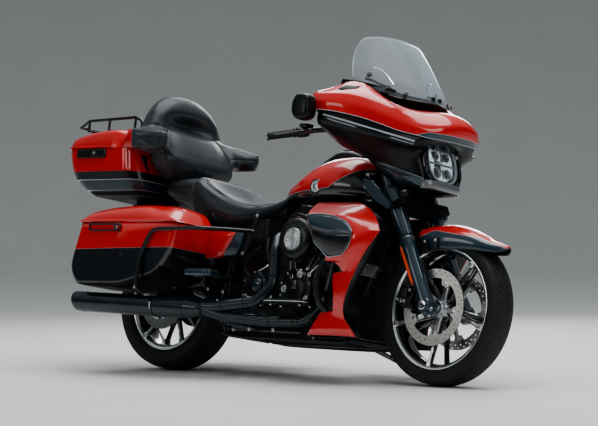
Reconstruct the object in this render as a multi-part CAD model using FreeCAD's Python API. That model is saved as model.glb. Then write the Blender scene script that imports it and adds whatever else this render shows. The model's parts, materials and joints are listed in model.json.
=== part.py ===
# Touring cruiser motorcycle, modelled as an assembly of separate pieces, in millimetres.
# +X is forward, +Y is the rider's left, +Z is up. Everything is laid out first on the upright machine
# (origin midway between the axles, on the ground) and is then leaned to its left, onto the side stand.
import FreeCAD, Part
import math
import os

V = FreeCAD.Vector
os.makedirs("parts", exist_ok=True)

# ---- driving dimensions --------------------------------------------------------------------------------
WHEELBASE = 1625.0
XF, XR = WHEELBASE / 2, -WHEELBASE / 2      # front and rear axle
RAKE = 26.0                                  # steering head angle from the vertical
TRAIL = 170.0
FORK_ANGLE = 28.5                            # the legs stand a little flatter than the head
FT_R, FT_W, FT_CROWN = 319.0, 130.0, 67.0    # front tyre: radius, width, crown radius
RT_R, RT_W, RT_CROWN = 327.5, 180.0, 95.0    # rear tyre
F_LIP, R_LIP = 255.3, 242.6                  # rim lip radii, 19 and 18 inch
F_LIP_Y, R_LIP_Y = 50.0, 68.0                # half width over the lips
DISC_R, DISC_Y, DISC_T = 160.0, 82.0, 5.0    # front discs
RDISC_R, RDISC_Y = 150.0, 101.0
LEG_Y = 122.0                                # fork leg centre line
LEG_R, TUBE_R = 33.0, 24.5
AXLE_R, AXLE_BORE = 12.5, 8.5
AXLE_END = 160.0
LEAN = 9.6                                   # degrees to the left, on the side stand
LEAN_Z = 81.0                                # the lean turns about a line this high
STEER_LOCK = 28.0
TRUNK_SEAM_Z = 995.0
BAG_SEAM_Z = 618.0
BAG_OUT, BAG_IN = 455.0, 228.0               # outer and inner face of a saddlebag
WALL = 9.0
PIN_FIT = 0.05                               # radial running clearance on axles and the steering stem

NODES = {}


# ---- helpers -------------------------------------------------------------------------------------------
def box(x0, x1, y0, y1, z0, z1):
    return Part.makeBox(abs(x1 - x0), abs(y1 - y0), abs(z1 - z0), V(min(x0, x1), min(y0, y1), min(z0, z1)))


def cyl(p, q, r):
    p, q = V(*p), V(*q)
    d = q - p
    return Part.makeCylinder(r, d.Length, p, d)


def cone(p, q, r0, r1):
    p, q = V(*p), V(*q)
    d = q - p
    return Part.makeCone(r0, r1, d.Length, p, d)


def prism(pts, axis, a, b):
    """Polygon in the plane across axis, run from a to b along it. Points are the other two coordinates in X, Y, Z order."""
    put = {"x": lambda u, v: V(a, u, v), "y": lambda u, v: V(u, a, v), "z": lambda u, v: V(u, v, a)}[axis]
    w = [put(u, v) for u, v in pts]
    f = Part.Face(Part.makePolygon(w + [w[0]]))
    d = {"x": V(b - a, 0, 0), "y": V(0, b - a, 0), "z": V(0, 0, b - a)}[axis]
    return f.extrude(d)


def rrect(axis, a, u0, u1, v0, v1, r):
    """Rounded rectangle wire across axis at a."""
    put = {"x": lambda u, v: V(a, u, v), "y": lambda u, v: V(u, a, v), "z": lambda u, v: V(u, v, a)}[axis]
    r = min(r, (u1 - u0) / 2 - 0.5, (v1 - v0) / 2 - 0.5)
    k = r * (1 - math.sqrt(0.5))
    e = [
        Part.LineSegment(put(u0 + r, v0), put(u1 - r, v0)),
        Part.Arc(put(u1 - r, v0), put(u1 - k, v0 + k), put(u1, v0 + r)),
        Part.LineSegment(put(u1, v0 + r), put(u1, v1 - r)),
        Part.Arc(put(u1, v1 - r), put(u1 - k, v1 - k), put(u1 - r, v1)),
        Part.LineSegment(put(u1 - r, v1), put(u0 + r, v1)),
        Part.Arc(put(u0 + r, v1), put(u0 + k, v1 - k), put(u0, v1 - r)),
        Part.LineSegment(put(u0, v1 - r), put(u0, v0 + r)),
        Part.Arc(put(u0, v0 + r), put(u0 + k, v0 + k), put(u0 + r, v0)),
    ]
    return Part.Wire([x.toShape() for x in e])


def loft(axis, table, ruled=True):
    """Solid through rounded rectangles. Table columns: position along axis, u low, u high, v low, v high, corner radius."""
    return Part.makeLoft([rrect(axis, *row) for row in table], True, ruled)


def path(pts, bend):
    """Straight runs joined by tangent arcs. bend is one radius, or a list for the inner points."""
    p = [V(*q) for q in pts]
    edges, at = [], p[0]
    for i in range(1, len(p) - 1):
        a, b = (p[i - 1] - p[i]), (p[i + 1] - p[i])
        la, lb = a.Length, b.Length
        a, b = a.normalize(), b.normalize()
        turn = math.pi - a.getAngle(b)
        if turn < 0.02:
            continue
        want = bend[i - 1] if isinstance(bend, (list, tuple)) else bend
        r = min(want, 0.45 * min(la, lb) / math.tan(turn / 2))
        t = r * math.tan(turn / 2)
        s, e = p[i] + a * t, p[i] + b * t
        mid_dir = (a + b).normalize()
        centre = p[i] + mid_dir * (r / math.cos(turn / 2))
        m = centre - mid_dir * r
        edges.append(Part.LineSegment(at, s).toShape())
        edges.append(Part.Arc(s, m, e).toShape())
        at = e
    edges.append(Part.LineSegment(at, p[-1]).toShape())
    return Part.Wire(edges)


def tube(pts, r, bend=60.0):
    w = path(pts, bend)
    d = (V(*pts[1]) - V(*pts[0])).normalize()
    c = Part.Wire([Part.makeCircle(r, V(*pts[0]), d)])
    return w.makePipeShell([c], True, False)


def revolve_y(pts, xc, zc, arcs=()):
    """Ring about the wheel's Y axis from (radius, y) points. arcs lists the indexes i where i, i+1, i+2 are one arc."""
    w = [V(xc, y, zc + r) for r, y in pts]
    e, i, n = [], 0, len(w)
    while i < n:
        if i in arcs:
            e.append(Part.Arc(w[i], w[(i + 1) % n], w[(i + 2) % n]).toShape())
            i += 2
        else:
            e.append(Part.LineSegment(w[i], w[(i + 1) % n]).toShape())
            i += 1
    return Part.Face(Part.Wire(e)).revolve(V(xc, 0, zc), V(0, 1, 0), 360)


def spin(shape, deg, xc, zc):
    s = shape.copy()
    s.rotate(V(xc, 0, zc), V(0, 1, 0), deg)
    return s


def mir(shape):
    return shape.mirror(V(0, 0, 0), V(0, 1, 0))


def both(shape):
    return Part.makeCompound([shape, mir(shape)])


def fuse(*s):
    out = s[0].fuse(list(s[1:])) if len(s) > 1 else s[0]
    return out.removeSplitter()


def rounded(shape, r, want=lambda e: True):
    """Fillet the straight edges that want picks; a fillet that fails leaves the shape as it is."""
    try:
        es = [e for e in shape.Edges if want(e)]
        f = shape.makeFillet(r, es)
        return f if f.isValid() and f.Volume > 0 else shape
    except Exception:
        return shape


def solids(shape, least=200.0):
    return [s for s in shape.Solids if s.Volume > least]


def carve(low, *high):
    """low without the space of each of high, small scraps dropped."""
    keep = []
    for s in low.Solids:
        for h in high:
            if s.BoundBox.intersect(h.BoundBox):
                s = s.cut(h)
        keep += solids(s)
    return keep[0] if len(keep) == 1 else Part.makeCompound(keep)


def biggest(shape):
    return max(shape.Solids, key=lambda q: q.Volume)


def along(edge, axis):
    """True for a straight edge along axis."""
    if edge.Curve.TypeId != "Part::GeomLine" and not isinstance(edge.Curve, Part.Line):
        return False
    d = edge.Curve.Direction
    return abs(getattr(d, axis)) > 0.999


SA = V(-math.sin(math.radians(RAKE)), 0, math.cos(math.radians(RAKE)))   # steering axis, upwards
SP = V(XF + TRAIL, 0, 0)                                                  # where it meets the ground
LD = V(-math.sin(math.radians(FORK_ANGLE)), 0, math.cos(math.radians(FORK_ANGLE)))


def on_axis(z):
    return SP + SA * (z / SA.z)


def on_leg(z, y=0.0):
    p = V(XF, 0, FT_R) + LD * ((z - FT_R) / LD.z)
    return V(p.x, y, p.z)


# ---- wheels --------------------------------------------------------------------------------------------
def tyre(xc, zc, R, W, crown, bead_r, bead_y):
    a = math.radians(68)
    ey, er = crown * math.sin(a) * (W / 2 / crown), R - crown * (1 - math.cos(a))
    pts = [(bead_r, -bead_y), ((bead_r + er) / 2 - 2, -W / 2 + 1.5), (er, -ey), (R, 0), (er, ey),
           ((bead_r + er) / 2 - 2, W / 2 - 1.5), (bead_r, bead_y)]
    return revolve_y(pts, xc, zc, arcs=(0, 2, 4))


NODES["front_tyre"] = tyre(XF, FT_R, FT_R, FT_W, FT_CROWN, 243.2, 45.0)
NODES["rear_tyre"] = tyre(XR, RT_R, RT_R, RT_W, RT_CROWN, 230.7, 62.0)


def cast_wheel(xc, zc, lip_r, lip_y, barrel_out, hub_r, hub_y, bore, spokes, turn, lug_y):
    """Barrel with lips, hub, and a ring of tapered spokes."""
    b = barrel_out - 0.3
    ring = revolve_y([(b - 9, -lip_y + 12), (b - 9, lip_y - 12), (b + 2.5, lip_y - 1.0), (lip_r, lip_y), (lip_r, lip_y - 4.5),
                      (b, lip_y - 5), (b, -lip_y + 5), (lip_r, -lip_y + 4.5), (lip_r, -lip_y), (b + 2.5, -lip_y + 1.0)], xc, zc)
    hub = revolve_y([(bore, -hub_y), (bore, hub_y), (hub_r - 8, hub_y), (hub_r, hub_y - 12), (hub_r, -hub_y + 12), (hub_r - 8, -hub_y)], xc, zc)
    sp = []
    for i in range(spokes):
        a = loft("z", [(zc + hub_r - 6, xc - 21, xc + 21, -lug_y, lug_y, 6), (zc + 110, xc - 17, xc + 17, -lug_y + 6, lug_y - 6, 6),
                       (zc + b - 6, xc - 27, xc + 27, -lip_y + 14, lip_y - 14, 6)])
        sp.append(spin(a, turn + i * 360.0 / spokes, xc, zc))
    return fuse(ring, hub, *sp)


# the tyres sit around the lips of their rims
for name, xc, zc, lip_r, lip_y, b in (("front_tyre", XF, FT_R, F_LIP, F_LIP_Y, 243.2), ("rear_tyre", XR, RT_R, R_LIP, R_LIP_Y, 230.7)):
    seat_ring = revolve_y([(b - 20, -lip_y - 0.4), (lip_r + 0.4, -lip_y - 0.4), (lip_r + 0.4, -lip_y + 5.6), (b - 0.2, -lip_y + 6.2), (b - 0.2, lip_y - 6.2),
                           (lip_r + 0.4, lip_y - 5.6), (lip_r + 0.4, lip_y + 0.4), (b - 20, lip_y + 0.4)], xc, zc)
    NODES[name] = biggest(NODES[name].cut(seat_ring))

SPOKE_TURN = 35.0
NODES["front_rim"] = cast_wheel(XF, FT_R, F_LIP, F_LIP_Y, 243.2, 42, 66, AXLE_R + PIN_FIT, 5, SPOKE_TURN, 34)
NODES["rear_rim"] = cast_wheel(XR, RT_R, R_LIP, R_LIP_Y, 230.7, 52, 84, AXLE_R + PIN_FIT, 5, SPOKE_TURN + 20, 40)


def disc(xc, zc, r_out, r_in, y, t, hub_y, turn, lugs=5):
    """Perforated-looking floating disc: a ring with inward lugs, and a stud from each lug to the wheel."""
    ring = cyl((xc, y - t / 2, zc), (xc, y + t / 2, zc), r_out).cut(cyl((xc, y - t, zc), (xc, y + t, zc), r_in))
    parts = [ring]
    s = 1 if y > 0 else -1
    for i in range(lugs):
        lug = prism([(xc - 15, zc + r_in - 22), (xc + 15, zc + r_in - 22), (xc + 22, zc + r_in + 3), (xc - 22, zc + r_in + 3)], "y", y - t / 2, y + t / 2)
        stud = cyl((xc, s * hub_y, zc + r_in - 12), (xc, y + s * 3.5, zc + r_in - 12), 9)
        parts += [spin(lug, turn + i * 72, xc, zc), spin(stud, turn + i * 72, xc, zc)]
    return fuse(*parts)


def on_spoke(shape, rim):
    return carve(shape, rim)


NODES["front_discs"] = Part.makeCompound([
    carve(disc(XF, FT_R, DISC_R, 122, s * DISC_Y, DISC_T, 26, SPOKE_TURN), NODES["front_rim"]) for s in (-1, 1)])
NODES["rear_disc"] = carve(disc(XR, RT_R, RDISC_R, 108, -RDISC_Y, 6, 30, SPOKE_TURN + 20), NODES["rear_rim"])
PULLEY_R, BELT_Y0, BELT_Y1 = 108.0, 98.0, 122.0
pulley = cyl((XR, BELT_Y0, RT_R), (XR, BELT_Y1, RT_R), PULLEY_R - 0.6).cut(cyl((XR, 90, RT_R), (XR, 130, RT_R), 84))
plate = cyl((XR, 84.5, RT_R), (XR, BELT_Y1 - 8, RT_R), 86).cut(cyl((XR, 80, RT_R), (XR, 130, RT_R), 20))
NODES["rear_pulley"] = fuse(pulley, plate)

# ---- steering body -------------------------------------------------------------------------------------
NECK_Z0, NECK_Z1, STEM_R = 778.0, 898.0, 20.0


def head_plate(z, t, half_y, back, front, r):
    """Plate across the steering axis, centred on it at height z."""
    p = on_axis(z)
    s = box(-back, front, -half_y, half_y, -t / 2, t / 2)
    s = rounded(s, r, lambda e: along(e, "z"))
    s.rotate(V(0, 0, 0), V(0, 1, 0), -RAKE)
    s.translate(p)
    return s


leg_r = []
top = on_leg(925.0, -LEG_Y)
ax = V(XF, -LEG_Y, FT_R)
lower = cyl(tuple(ax + LD * -42), tuple(on_leg(596.0, -LEG_Y)), LEG_R)
boss = cyl((XF, -AXLE_END + 4, FT_R), (XF, -DISC_Y - 9, FT_R), 34)
collar = cyl(tuple(on_leg(585, -LEG_Y)), tuple(on_leg(612, -LEG_Y)), LEG_R + 4)
upper = cyl(tuple(on_leg(590.0, -LEG_Y)), tuple(top), TUBE_R)
cover = cyl(tuple(on_leg(650.0, -LEG_Y)), tuple(on_leg(715.0, -LEG_Y)), 33)
axle_hole = cyl((XF, -200, FT_R), (XF, 200, FT_R), AXLE_R + PIN_FIT)
leg = fuse(lower, boss, collar, upper, cover).cut(axle_hole)
# the disc runs in a slot beside the leg, 5 mm clear
leg = leg.cut(cyl((XF, -DISC_Y - 8, FT_R), (XF, 0, FT_R), DISC_R + 8))
NODES["fork_legs"] = both(solids(leg)[0])

stem = Part.makeCylinder(STEM_R, on_axis(912).distanceToPoint(on_axis(744)), on_axis(744), SA)
yoke_low = head_plate(746, 34, 154, 58, 34, 16)
yoke_top = head_plate(918, 26, 154, 74, 30, 16)
riser = cyl((on_axis(925).x - 20, -42, 930), (on_axis(925).x - 34, -42, 992), 15)
yoke = fuse(stem, yoke_low, yoke_top)
yoke = carve(yoke, NODES["fork_legs"])
NODES["fork_yoke"] = yoke

NODES["front_axle"] = cyl((XF, -AXLE_END, FT_R), (XF, AXLE_END, FT_R), AXLE_R).cut(
    cyl((XF, -AXLE_END - 5, FT_R), (XF, AXLE_END + 5, FT_R), AXLE_BORE))


def caliper(xc, zc, rad, ang, y, wide, length, depth, slot_r, slot_t, stud_r):
    """Block that straddles a disc, centred at rad and ang from the wheel centre, with a slot for the disc and room for its studs."""
    s = box(-depth / 2, depth / 2, -wide / 2, wide / 2, -length / 2, length / 2)
    s = rounded(s, 14, lambda e: along(e, "y"))
    s.translate(V(xc + rad, y, zc))
    s = spin(s, -ang, xc, zc)
    inner_side = 1 if y < 0 else -1
    return s.cut(cyl((xc, y - slot_t / 2, zc), (xc, y + slot_t / 2, zc), slot_r)).cut(cyl((xc, y, zc), (xc, y + inner_side * 60, zc), stud_r))


cal = caliper(XF, FT_R, 140, 152, -DISC_Y, 62, 150, 74, DISC_R + 6, 17, 125)
arm = cyl((XF - 96, -LEG_Y + 10, FT_R + 90), (XF - 60, -LEG_Y + 6, FT_R + 112), 13)
cal_r = carve(fuse(cal, arm), NODES["fork_legs"])
cal_r = max(cal_r.Solids, key=lambda s: s.Volume)
NODES["front_calipers"] = both(cal_r)


def fender(xc, zc, rows, r_cut, half_w, t, a0, a1):
    """Arched channel over a wheel. rows are its (radius, y) outer section; a0 to a1 is its arc, in degrees up from the front."""
    outer = revolve_y([(r, y) for r, y in rows], xc, zc)
    inner = revolve_y([(r - t if r > r_cut + 1 else r - 1, y - t * (1 if y > 0 else -1)) for r, y in rows], xc, zc)
    ring = outer.cut(inner)
    R = 900
    w = [V(xc, -half_w - 60, zc)]
    n = 8
    for i in range(n + 1):
        a = math.radians(a0 + (a1 - a0) * i / n)
        w.append(V(xc + R * math.cos(a), -half_w - 60, zc + R * math.sin(a)))
    wedge = Part.Face(Part.makePolygon(w + [w[0]])).extrude(V(0, 2 * half_w + 120, 0))
    return ring.common(wedge)


ff = fender(XF, FT_R, [(268, -82), (330, -82), (343, -62), (349, 0), (343, 62), (330, 82), (268, 82)], 268, 82, 5, 44, 160)
tip = loft("x", [(XF + 236, -80, 80, 536, 569, 12), (XF + 272, -58, 58, 548, 574, 10), (XF + 292, -22, 22, 560, 574, 6)])
tip = tip.cut(cyl((XF, -200, FT_R), (XF, 200, FT_R), 331))
stay = box(XF - 128, XF - 84, -101, -82, 520, 584)
ff = fuse(ff, tip, stay, mir(stay))
NODES["front_fender"] = carve(ff, NODES["fork_legs"], NODES["front_calipers"])

# ---- fairing -------------------------------------------------------------------------------------------
# columns: x, half width, z low, z high, corner radius
WING = [(292, 404, 1090, 1192, 34), (372, 396, 1066, 1240, 84), (440, 380, 1052, 1252, 90), (560, 330, 1026, 1234, 84),
        (655, 262, 1012, 1184, 60), (760, 160, 1012, 1132, 44), (812, 84, 1022, 1102, 30)]
outer = loft("x", [(x, -h, h, a, b, r) for x, h, a, b, r in WING])
SKIN = 10.0
inner = loft("x", [(x - (0 if i else 30), -h + SKIN, h - SKIN, a + SKIN, b - SKIN, max(r - SKIN, 6))
                   for i, (x, h, a, b, r) in enumerate(WING[:-1])])
shell = outer.cut(inner)
# the shell is open underneath between the wings, where the cowl joins it
shell = shell.cut(box(288, 640, -250, 250, 990, 1075))
NODES["outer_fairing"] = max(shell.Solids, key=lambda s: s.Volume)

cowl = loft("z", [(812, 600, 752, -100, 100, 26), (850, 530, 754, -130, 130, 34), (880, 510, 750, -155, 155, 40), (960, 436, 742, -215, 215, 60), (1018, 350, 735, -244, 244, 60)])
cowl_in = loft("z", [(802, 620, 736, -88, 88, 20), (850, 546, 740, -118, 118, 28), (880, 524, 738, -143, 143, 34), (960, 450, 728, -203, 203, 50), (1030, 352, 720, -234, 234, 50)])
lamp_hole = loft("z", [(842, 640, 780, -84, 84, 30), (880, 640, 780, -99, 99, 34), (980, 640, 780, -99, 99, 34), (1012, 640, 780, -84, 84, 30)])
cowl = cowl.cut(cowl_in).cut(lamp_hole)
# room behind for the steering head and the legs
cowl = cowl.cut(box(300, 600, -172, 172, 800, 1040)).cut(box(300, 650, -112, 112, 800, 905))
cowl_solids = solids(cowl, 5000)
NODES["fairing_cowl"] = biggest(carve(Part.makeCompound(cowl_solids), NODES["outer_fairing"], NODES["fork_legs"], NODES["fork_yoke"]))

lamp = loft("z", [(850, 664, 737, -70, 70, 24), (885, 654, 730, -92, 92, 30), (975, 644, 706, -92, 92, 30), (1004, 644, 698, -74, 74, 24)])
NODES["headlamp"] = biggest(carve(lamp, NODES["fairing_cowl"], NODES["outer_fairing"]))

dash = loft("x", [(300, -372, 372, 1100, 1172, 20), (420, -360, 360, 1080, 1222, 40), (470, -330, 330, 1070, 1222, 40)])
NODES["inner_fairing"] = carve(dash, NODES["outer_fairing"])


def strip(xc, xe, h, zc, ze, t):
    """Wire of a bent strip in one plane: an arc through its two edges and its crown, and the same arc set back by t."""
    a = [V(xe, -h, ze), V(xc, 0, zc), V(xe, h, ze)]
    u = V(xc - xe, 0, zc - ze).normalize() * t
    b = [V(xe, -h + 1, ze) - u, V(xc, 0, zc) - u, V(xe, h - 1, ze) - u]
    return Part.Wire([Part.Arc(*a).toShape(), Part.LineSegment(a[2], b[2]).toShape(), Part.Arc(b[2], b[1], b[0]).toShape(), Part.LineSegment(b[0], a[0]).toShape()])


# columns: x centre, x edge, half width, z centre, z edge
GLASS = [(655, 372, 240, 1190, 1278), (600, 355, 232, 1280, 1330), (510, 345, 205, 1400, 1385), (432, 375, 155, 1468, 1437)]
GLASS_T = 5.0
glass = Part.makeLoft([strip(xc, xe, h, zc, ze, GLASS_T) for xc, xe, h, zc, ze in GLASS], True, True)
NODES["windshield"] = biggest(carve(glass, NODES["outer_fairing"]))

# ---- handlebar, controls, mirrors ----------------------------------------------------------------------
GRIP_R, BAR_R = 17.0, 12.7
bar_pts = [(496, 0, 1010), (494, -110, 1010), (400, -200, 1046), (262, -300, 1040), (205, -352, 1022), (118, -468, 984)]
bar = tube(bar_pts, BAR_R, 60)
g0, g1 = V(205, -352, 1022), V(118, -468, 984)
gd = (g1 - g0).normalize()
grip = cyl(tuple(g0 + gd * 32), tuple(g0 + gd * 152), GRIP_R)
switch = cyl(tuple(g0 + gd * -16), tuple(g0 + gd * 30), 24)
lever = tube([tuple(g0 + gd * 6 + V(20, -6, -4)), tuple(g0 + gd * 40 + V(58, -2, -16)), tuple(g0 + gd * 148 + V(50, -12, -14))], 6.5, 20)
master = box(222, 262, -366, -318, 1030, 1062)
half = fuse(bar, grip, switch, lever, master)
clamp = fuse(cyl((on_axis(925).x - 22, -40, 929), (495, -40, 1010), 15), box(478, 514, -56, 56, 994, 1026))
half_l = mir(half)
bars = fuse(half, half_l, clamp, mir(cyl((on_axis(925).x - 22, -40, 929), (495, -40, 1010), 15)))
NODES["handlebar"] = carve(bars, NODES["fork_yoke"])
NODES["inner_fairing"] = carve(NODES["inner_fairing"], NODES["handlebar"])
head = loft("x", [(246, -472, -416, 1072, 1156, 24), (266, -480, -410, 1064, 1166, 30), (314, -480, -410, 1064, 1168, 30), (345, -468, -418, 1078, 1154, 20)])
arm_m = cyl((314, -392, 1124), (314, -416, 1124), 13)
mirror = fuse(head, arm_m)
NODES["mirrors"] = both(carve(mirror, NODES["handlebar"], NODES["outer_fairing"], NODES["inner_fairing"]))

# ---- frame ---------------------------------------------------------------------------------------------
neck = Part.makeCylinder(35, on_axis(NECK_Z1).distanceToPoint(on_axis(NECK_Z0)), on_axis(NECK_Z0), SA)
backbone = prism([(590, 792), (556, 832), (430, 757), (-340, 757), (-380, 700), (-330, 716), (440, 716)], "y", -20, 20)
down = tube([(520, -22, 786), (478, -42, 600), (428, -118, 300), (392, -130, 165), (-330, -132, 165), (-392, -128, 300), (-352, -110, 650)], 15, 70)
rail = tube([(-352, -96, 640), (-430, -150, 628), (-760, -150, 700), (-1000, -120, 712)], 12, 80)
xbars = [cyl((392, -128, 165), (392, 128, 165), 12), cyl((-330, -132, 165), (-330, 132, 165), 12), cyl((-352, -108, 640), (-352, 108, 640), 14),
         cyl((-985, -118, 712), (-985, 118, 712), 10), cyl((-380, -126, 332), (-380, 126, 332), 20)]
gusset = prism([(560, 800), (450, 757), (450, 716), (500, 700)], "y", -14, 14)
frame = fuse(neck, backbone, down, mir(down), rail, mir(rail), gusset, *xbars)
stem_hole = Part.makeCylinder(STEM_R + PIN_FIT, 400, on_axis(700), SA)
frame = frame.cut(stem_hole)
STAND_PIVOT = V(246, 158, 168)
ear = box(222, 270, 116, 146, 150, 186)
frame = fuse(frame, ear)
NODES["frame"] = max(frame.Solids, key=lambda s: s.Volume)

# ---- engine --------------------------------------------------------------------------------------------
CRANK = (75.0, 370.0)
case = prism([(-335, 262), (-335, 452), (-230, 478), (-70, 470), (0, 500), (150, 500), (236, 440), (262, 330), (214, 190), (-190, 190), (-215, 262)], "y", -92, 92)
cam = cyl((CRANK[0], -92, CRANK[1]), (CRANK[0], -148, CRANK[1]), 96)
cam2 = cyl((-190, -92, 372), (-190, -140, 372), 78)
oilf = cyl((232, -70, 296), (300, -70, 280), 36)
prim = prism([(170, 320), (150, 252), (60, 232), (-260, 240), (-325, 300), (-320, 400), (-250, 446), (80, 462), (150, 430)], "y", 92, 176)
prim = rounded(prim, 18, lambda e: along(e, "y"))
case = fuse(case, cam, cam2, oilf, prim)
NODES["engine_case"] = carve(case, NODES["frame"])


def cylinder(tilt):
    a = math.radians(tilt)
    d = V(math.sin(a), 0, math.cos(a))
    c = V(CRANK[0], 0, CRANK[1])
    barrel = cyl(tuple(c + d * 100), tuple(c + d * 250), 70)
    fins = [cyl(tuple(c + d * (140 + 26 * i)), tuple(c + d * (150 + 26 * i)), 82) for i in range(4)]
    h = box(-86, 86, -84, 84, 0, 78)
    h = rounded(h, 24, lambda e: along(e, "z"))
    h.rotate(V(0, 0, 0), V(0, 1, 0), tilt)
    h.translate(c + d * 250)
    rocker = box(-62, 62, -58, 58, 78, 96)
    rocker.rotate(V(0, 0, 0), V(0, 1, 0), tilt)
    rocker.translate(c + d * 250)
    return [barrel, h, rocker] + fins


cyls = fuse(*(cylinder(22.5) + cylinder(-22.5)))
NODES["engine_cylinders"] = carve(cyls, NODES["engine_case"], NODES["frame"])

ac = fuse(cyl((114, -246, 584), (114, -168, 584), 96), cyl((114, -252, 584), (114, -244, 584), 62), cyl((114, -170, 584), (114, -60, 584), 40),
          box(60, 200, -178, -150, 560, 690))
NODES["air_cleaner"] = carve(ac, NODES["engine_cylinders"], NODES["frame"])

PIPE_R = 25.0
rear_head = tube([(-50, -84, 606), (-40, -170, 600), (-4, -214, 530), (26, -238, 372), (-34, -278, 292), (-200, -342, 262), (-300, -366, 256)], PIPE_R, 70)
front_head = tube([(262, -84, 560), (304, -150, 520), (296, -176, 330), (210, -204, 226), (20, -262, 214), (-170, -330, 222), (-268, -358, 244)], 22, 70)
cross = tube([(-150, -322, 220), (-262, -230, 206), (-330, 0, 204), (-350, 230, 206), (-420, 330, 232), (-470, 362, 248)], 19, 70)
MUF_R = 45.0
muf_a, muf_b = V(-262, -360, 248), V(-1084, -392, 262)
md = (muf_b - muf_a).normalize()
muf = fuse(cone(tuple(muf_a), tuple(muf_a + md * 90), 27, MUF_R), cyl(tuple(muf_a + md * 90), tuple(muf_b), MUF_R))
muf = muf.cut(cyl(tuple(muf_b - md * 70), tuple(muf_b + md * 10), MUF_R - 6))
muf = muf.cut(prism([(-1102, 190), (-1038, 190), (-1102, 320)], "y", -460, -320))
pipes = fuse(rear_head, front_head, cross)
NODES["exhaust_pipes"] = carve(pipes, muf, mir(muf), NODES["engine_cylinders"], NODES["engine_case"], NODES["frame"])
NODES["mufflers"] = both(muf)

# ---- tank, seat ----------------------------------------------------------------------------------------
# columns: x, half width, z low, z high, corner radius
TANK = [(-112, 74, 772, 828, 24), (0, 138, 760, 890, 60), (120, 172, 758, 946, 84), (235, 180, 758, 962, 90),
        (330, 168, 760, 940, 80), (392, 140, 764, 884, 60), (424, 104, 778, 836, 26)]
tank = loft("x", [(x, -h, h, a, b, r) for x, h, a, b, r in TANK])
console = loft("x", [(-60, -30, 30, 830, 874, 10), (40, -50, 50, 880, 938, 18), (146, -58, 58, 920, 1004, 22), (190, -58, 58, 930, 1000, 22), (300, -44, 44, 920, 974, 20)])
tank = fuse(tank, console)
NODES["fuel_tank"] = carve(tank, NODES["frame"], NODES["engine_cylinders"])
SEAT = [(-868, 140, 790, 850, 30), (-660, 168, 740, 872, 46), (-606, 186, 696, 872, 48), (-530, 200, 664, 800, 46), (-420, 200, 648, 736, 40),
        (-300, 182, 655, 722, 36), (-190, 120, 712, 752, 20), (-70, 62, 806, 866, 22)]
seat = loft("x", [(x, -h, h, a, b, r) for x, h, a, b, r in SEAT])
NODES["seat"] = biggest(carve(seat, NODES["fuel_tank"], NODES["frame"]))

# ---- rear end ------------------------------------------------------------------------------------------
pivot = cyl((-380, -150, 332), (-380, 150, 332), 30).cut(cyl((-380, -160, 332), (-380, 160, 332), 20.3))
arm = prism([(-366, 352), (-366, 308), (-700, 302), (-850, 302), (-862, 327), (-850, 352), (-700, 356)], "y", -158, -128)
sw = fuse(pivot, arm, mir(arm), cyl((-430, -132, 332), (-430, 132, 332), 24))
sw = sw.cut(cyl((XR, -200, RT_R), (XR, 200, RT_R), AXLE_R + PIN_FIT)).cut(cyl((-380, -160, 332), (-380, 160, 332), 20.3))
NODES["swingarm"] = carve(sw, NODES["frame"])
NODES["rear_axle"] = cyl((XR, -178, RT_R), (XR, 178, RT_R), AXLE_R).cut(cyl((XR, -190, RT_R), (XR, 190, RT_R), AXLE_BORE))
shock = fuse(cyl((-706, -180, 372), (-664, -180, 470), 20), cyl((-664, -180, 470), (-612, -180, 590), 28), box(-722, -690, -184, -158.2, 346, 384),
             box(-626, -596, -196, -166, 580, 636))
NODES["rear_shocks"] = both(carve(shock, NODES["frame"], NODES["swingarm"]))
rcal = caliper(XR, RT_R, 132, 128, -RDISC_Y, 58, 120, 62, RDISC_R + 6, 18, 111)
rarm = box(XR - 96, XR - 66, -127.8, -116, RT_R + 26, RT_R + 90)
NODES["rear_caliper"] = max(carve(fuse(rcal, rarm), NODES["swingarm"]).Solids, key=lambda s: s.Volume)

# belt: a loop with straight runs, in one plane
bx0, bz0, br0 = -236.0, 352.0, 44.0
bx1, bz1, br1 = XR, RT_R, PULLEY_R


def belt_outline(extra, y):
    dx, dz = bx1 - bx0, bz1 - bz0
    L = math.hypot(dx, dz)
    th = math.atan2(dz, dx)
    off = math.acos((br0 - br1) / L)
    r0, r1 = br0 + extra, br1 + extra

    def at(cx, cz, r, a):
        return V(cx + r * math.cos(a), y, cz + r * math.sin(a))
    a, b = th + off, th - off
    e = [Part.Arc(at(bx0, bz0, r0, a), at(bx0, bz0, r0, th + math.pi), at(bx0, bz0, r0, b)),
         Part.LineSegment(at(bx0, bz0, r0, b), at(bx1, bz1, r1, b)),
         Part.Arc(at(bx1, bz1, r1, b), at(bx1, bz1, r1, th), at(bx1, bz1, r1, a)),
         Part.LineSegment(at(bx1, bz1, r1, a), at(bx0, bz0, r0, a))]
    return Part.Face(Part.Wire([x.toShape() for x in e])).extrude(V(0, BELT_Y1 - BELT_Y0, 0))


belt = belt_outline(5, BELT_Y0).cut(belt_outline(0, BELT_Y0))
spr = cyl((bx0, 92.2, bz0), (bx0, BELT_Y1, bz0), br0 - 0.5)
NODES["drive_belt"] = carve(belt, NODES["engine_case"], NODES["frame"], NODES["swingarm"])

rf = fender(XR, RT_R, [(250, -112), (338, -112), (356, -90), (362, 0), (356, 90), (338, 112), (250, 112)], 250, 112, 5, 20, 168)
rf = rf.common(box(-1300, -505, -200, 200, 380, 760))
NODES["rear_fender"] = biggest(carve(rf, NODES["frame"], NODES["rear_shocks"], NODES["rear_caliper"], NODES["swingarm"], NODES["seat"], NODES["drive_belt"]))

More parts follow.
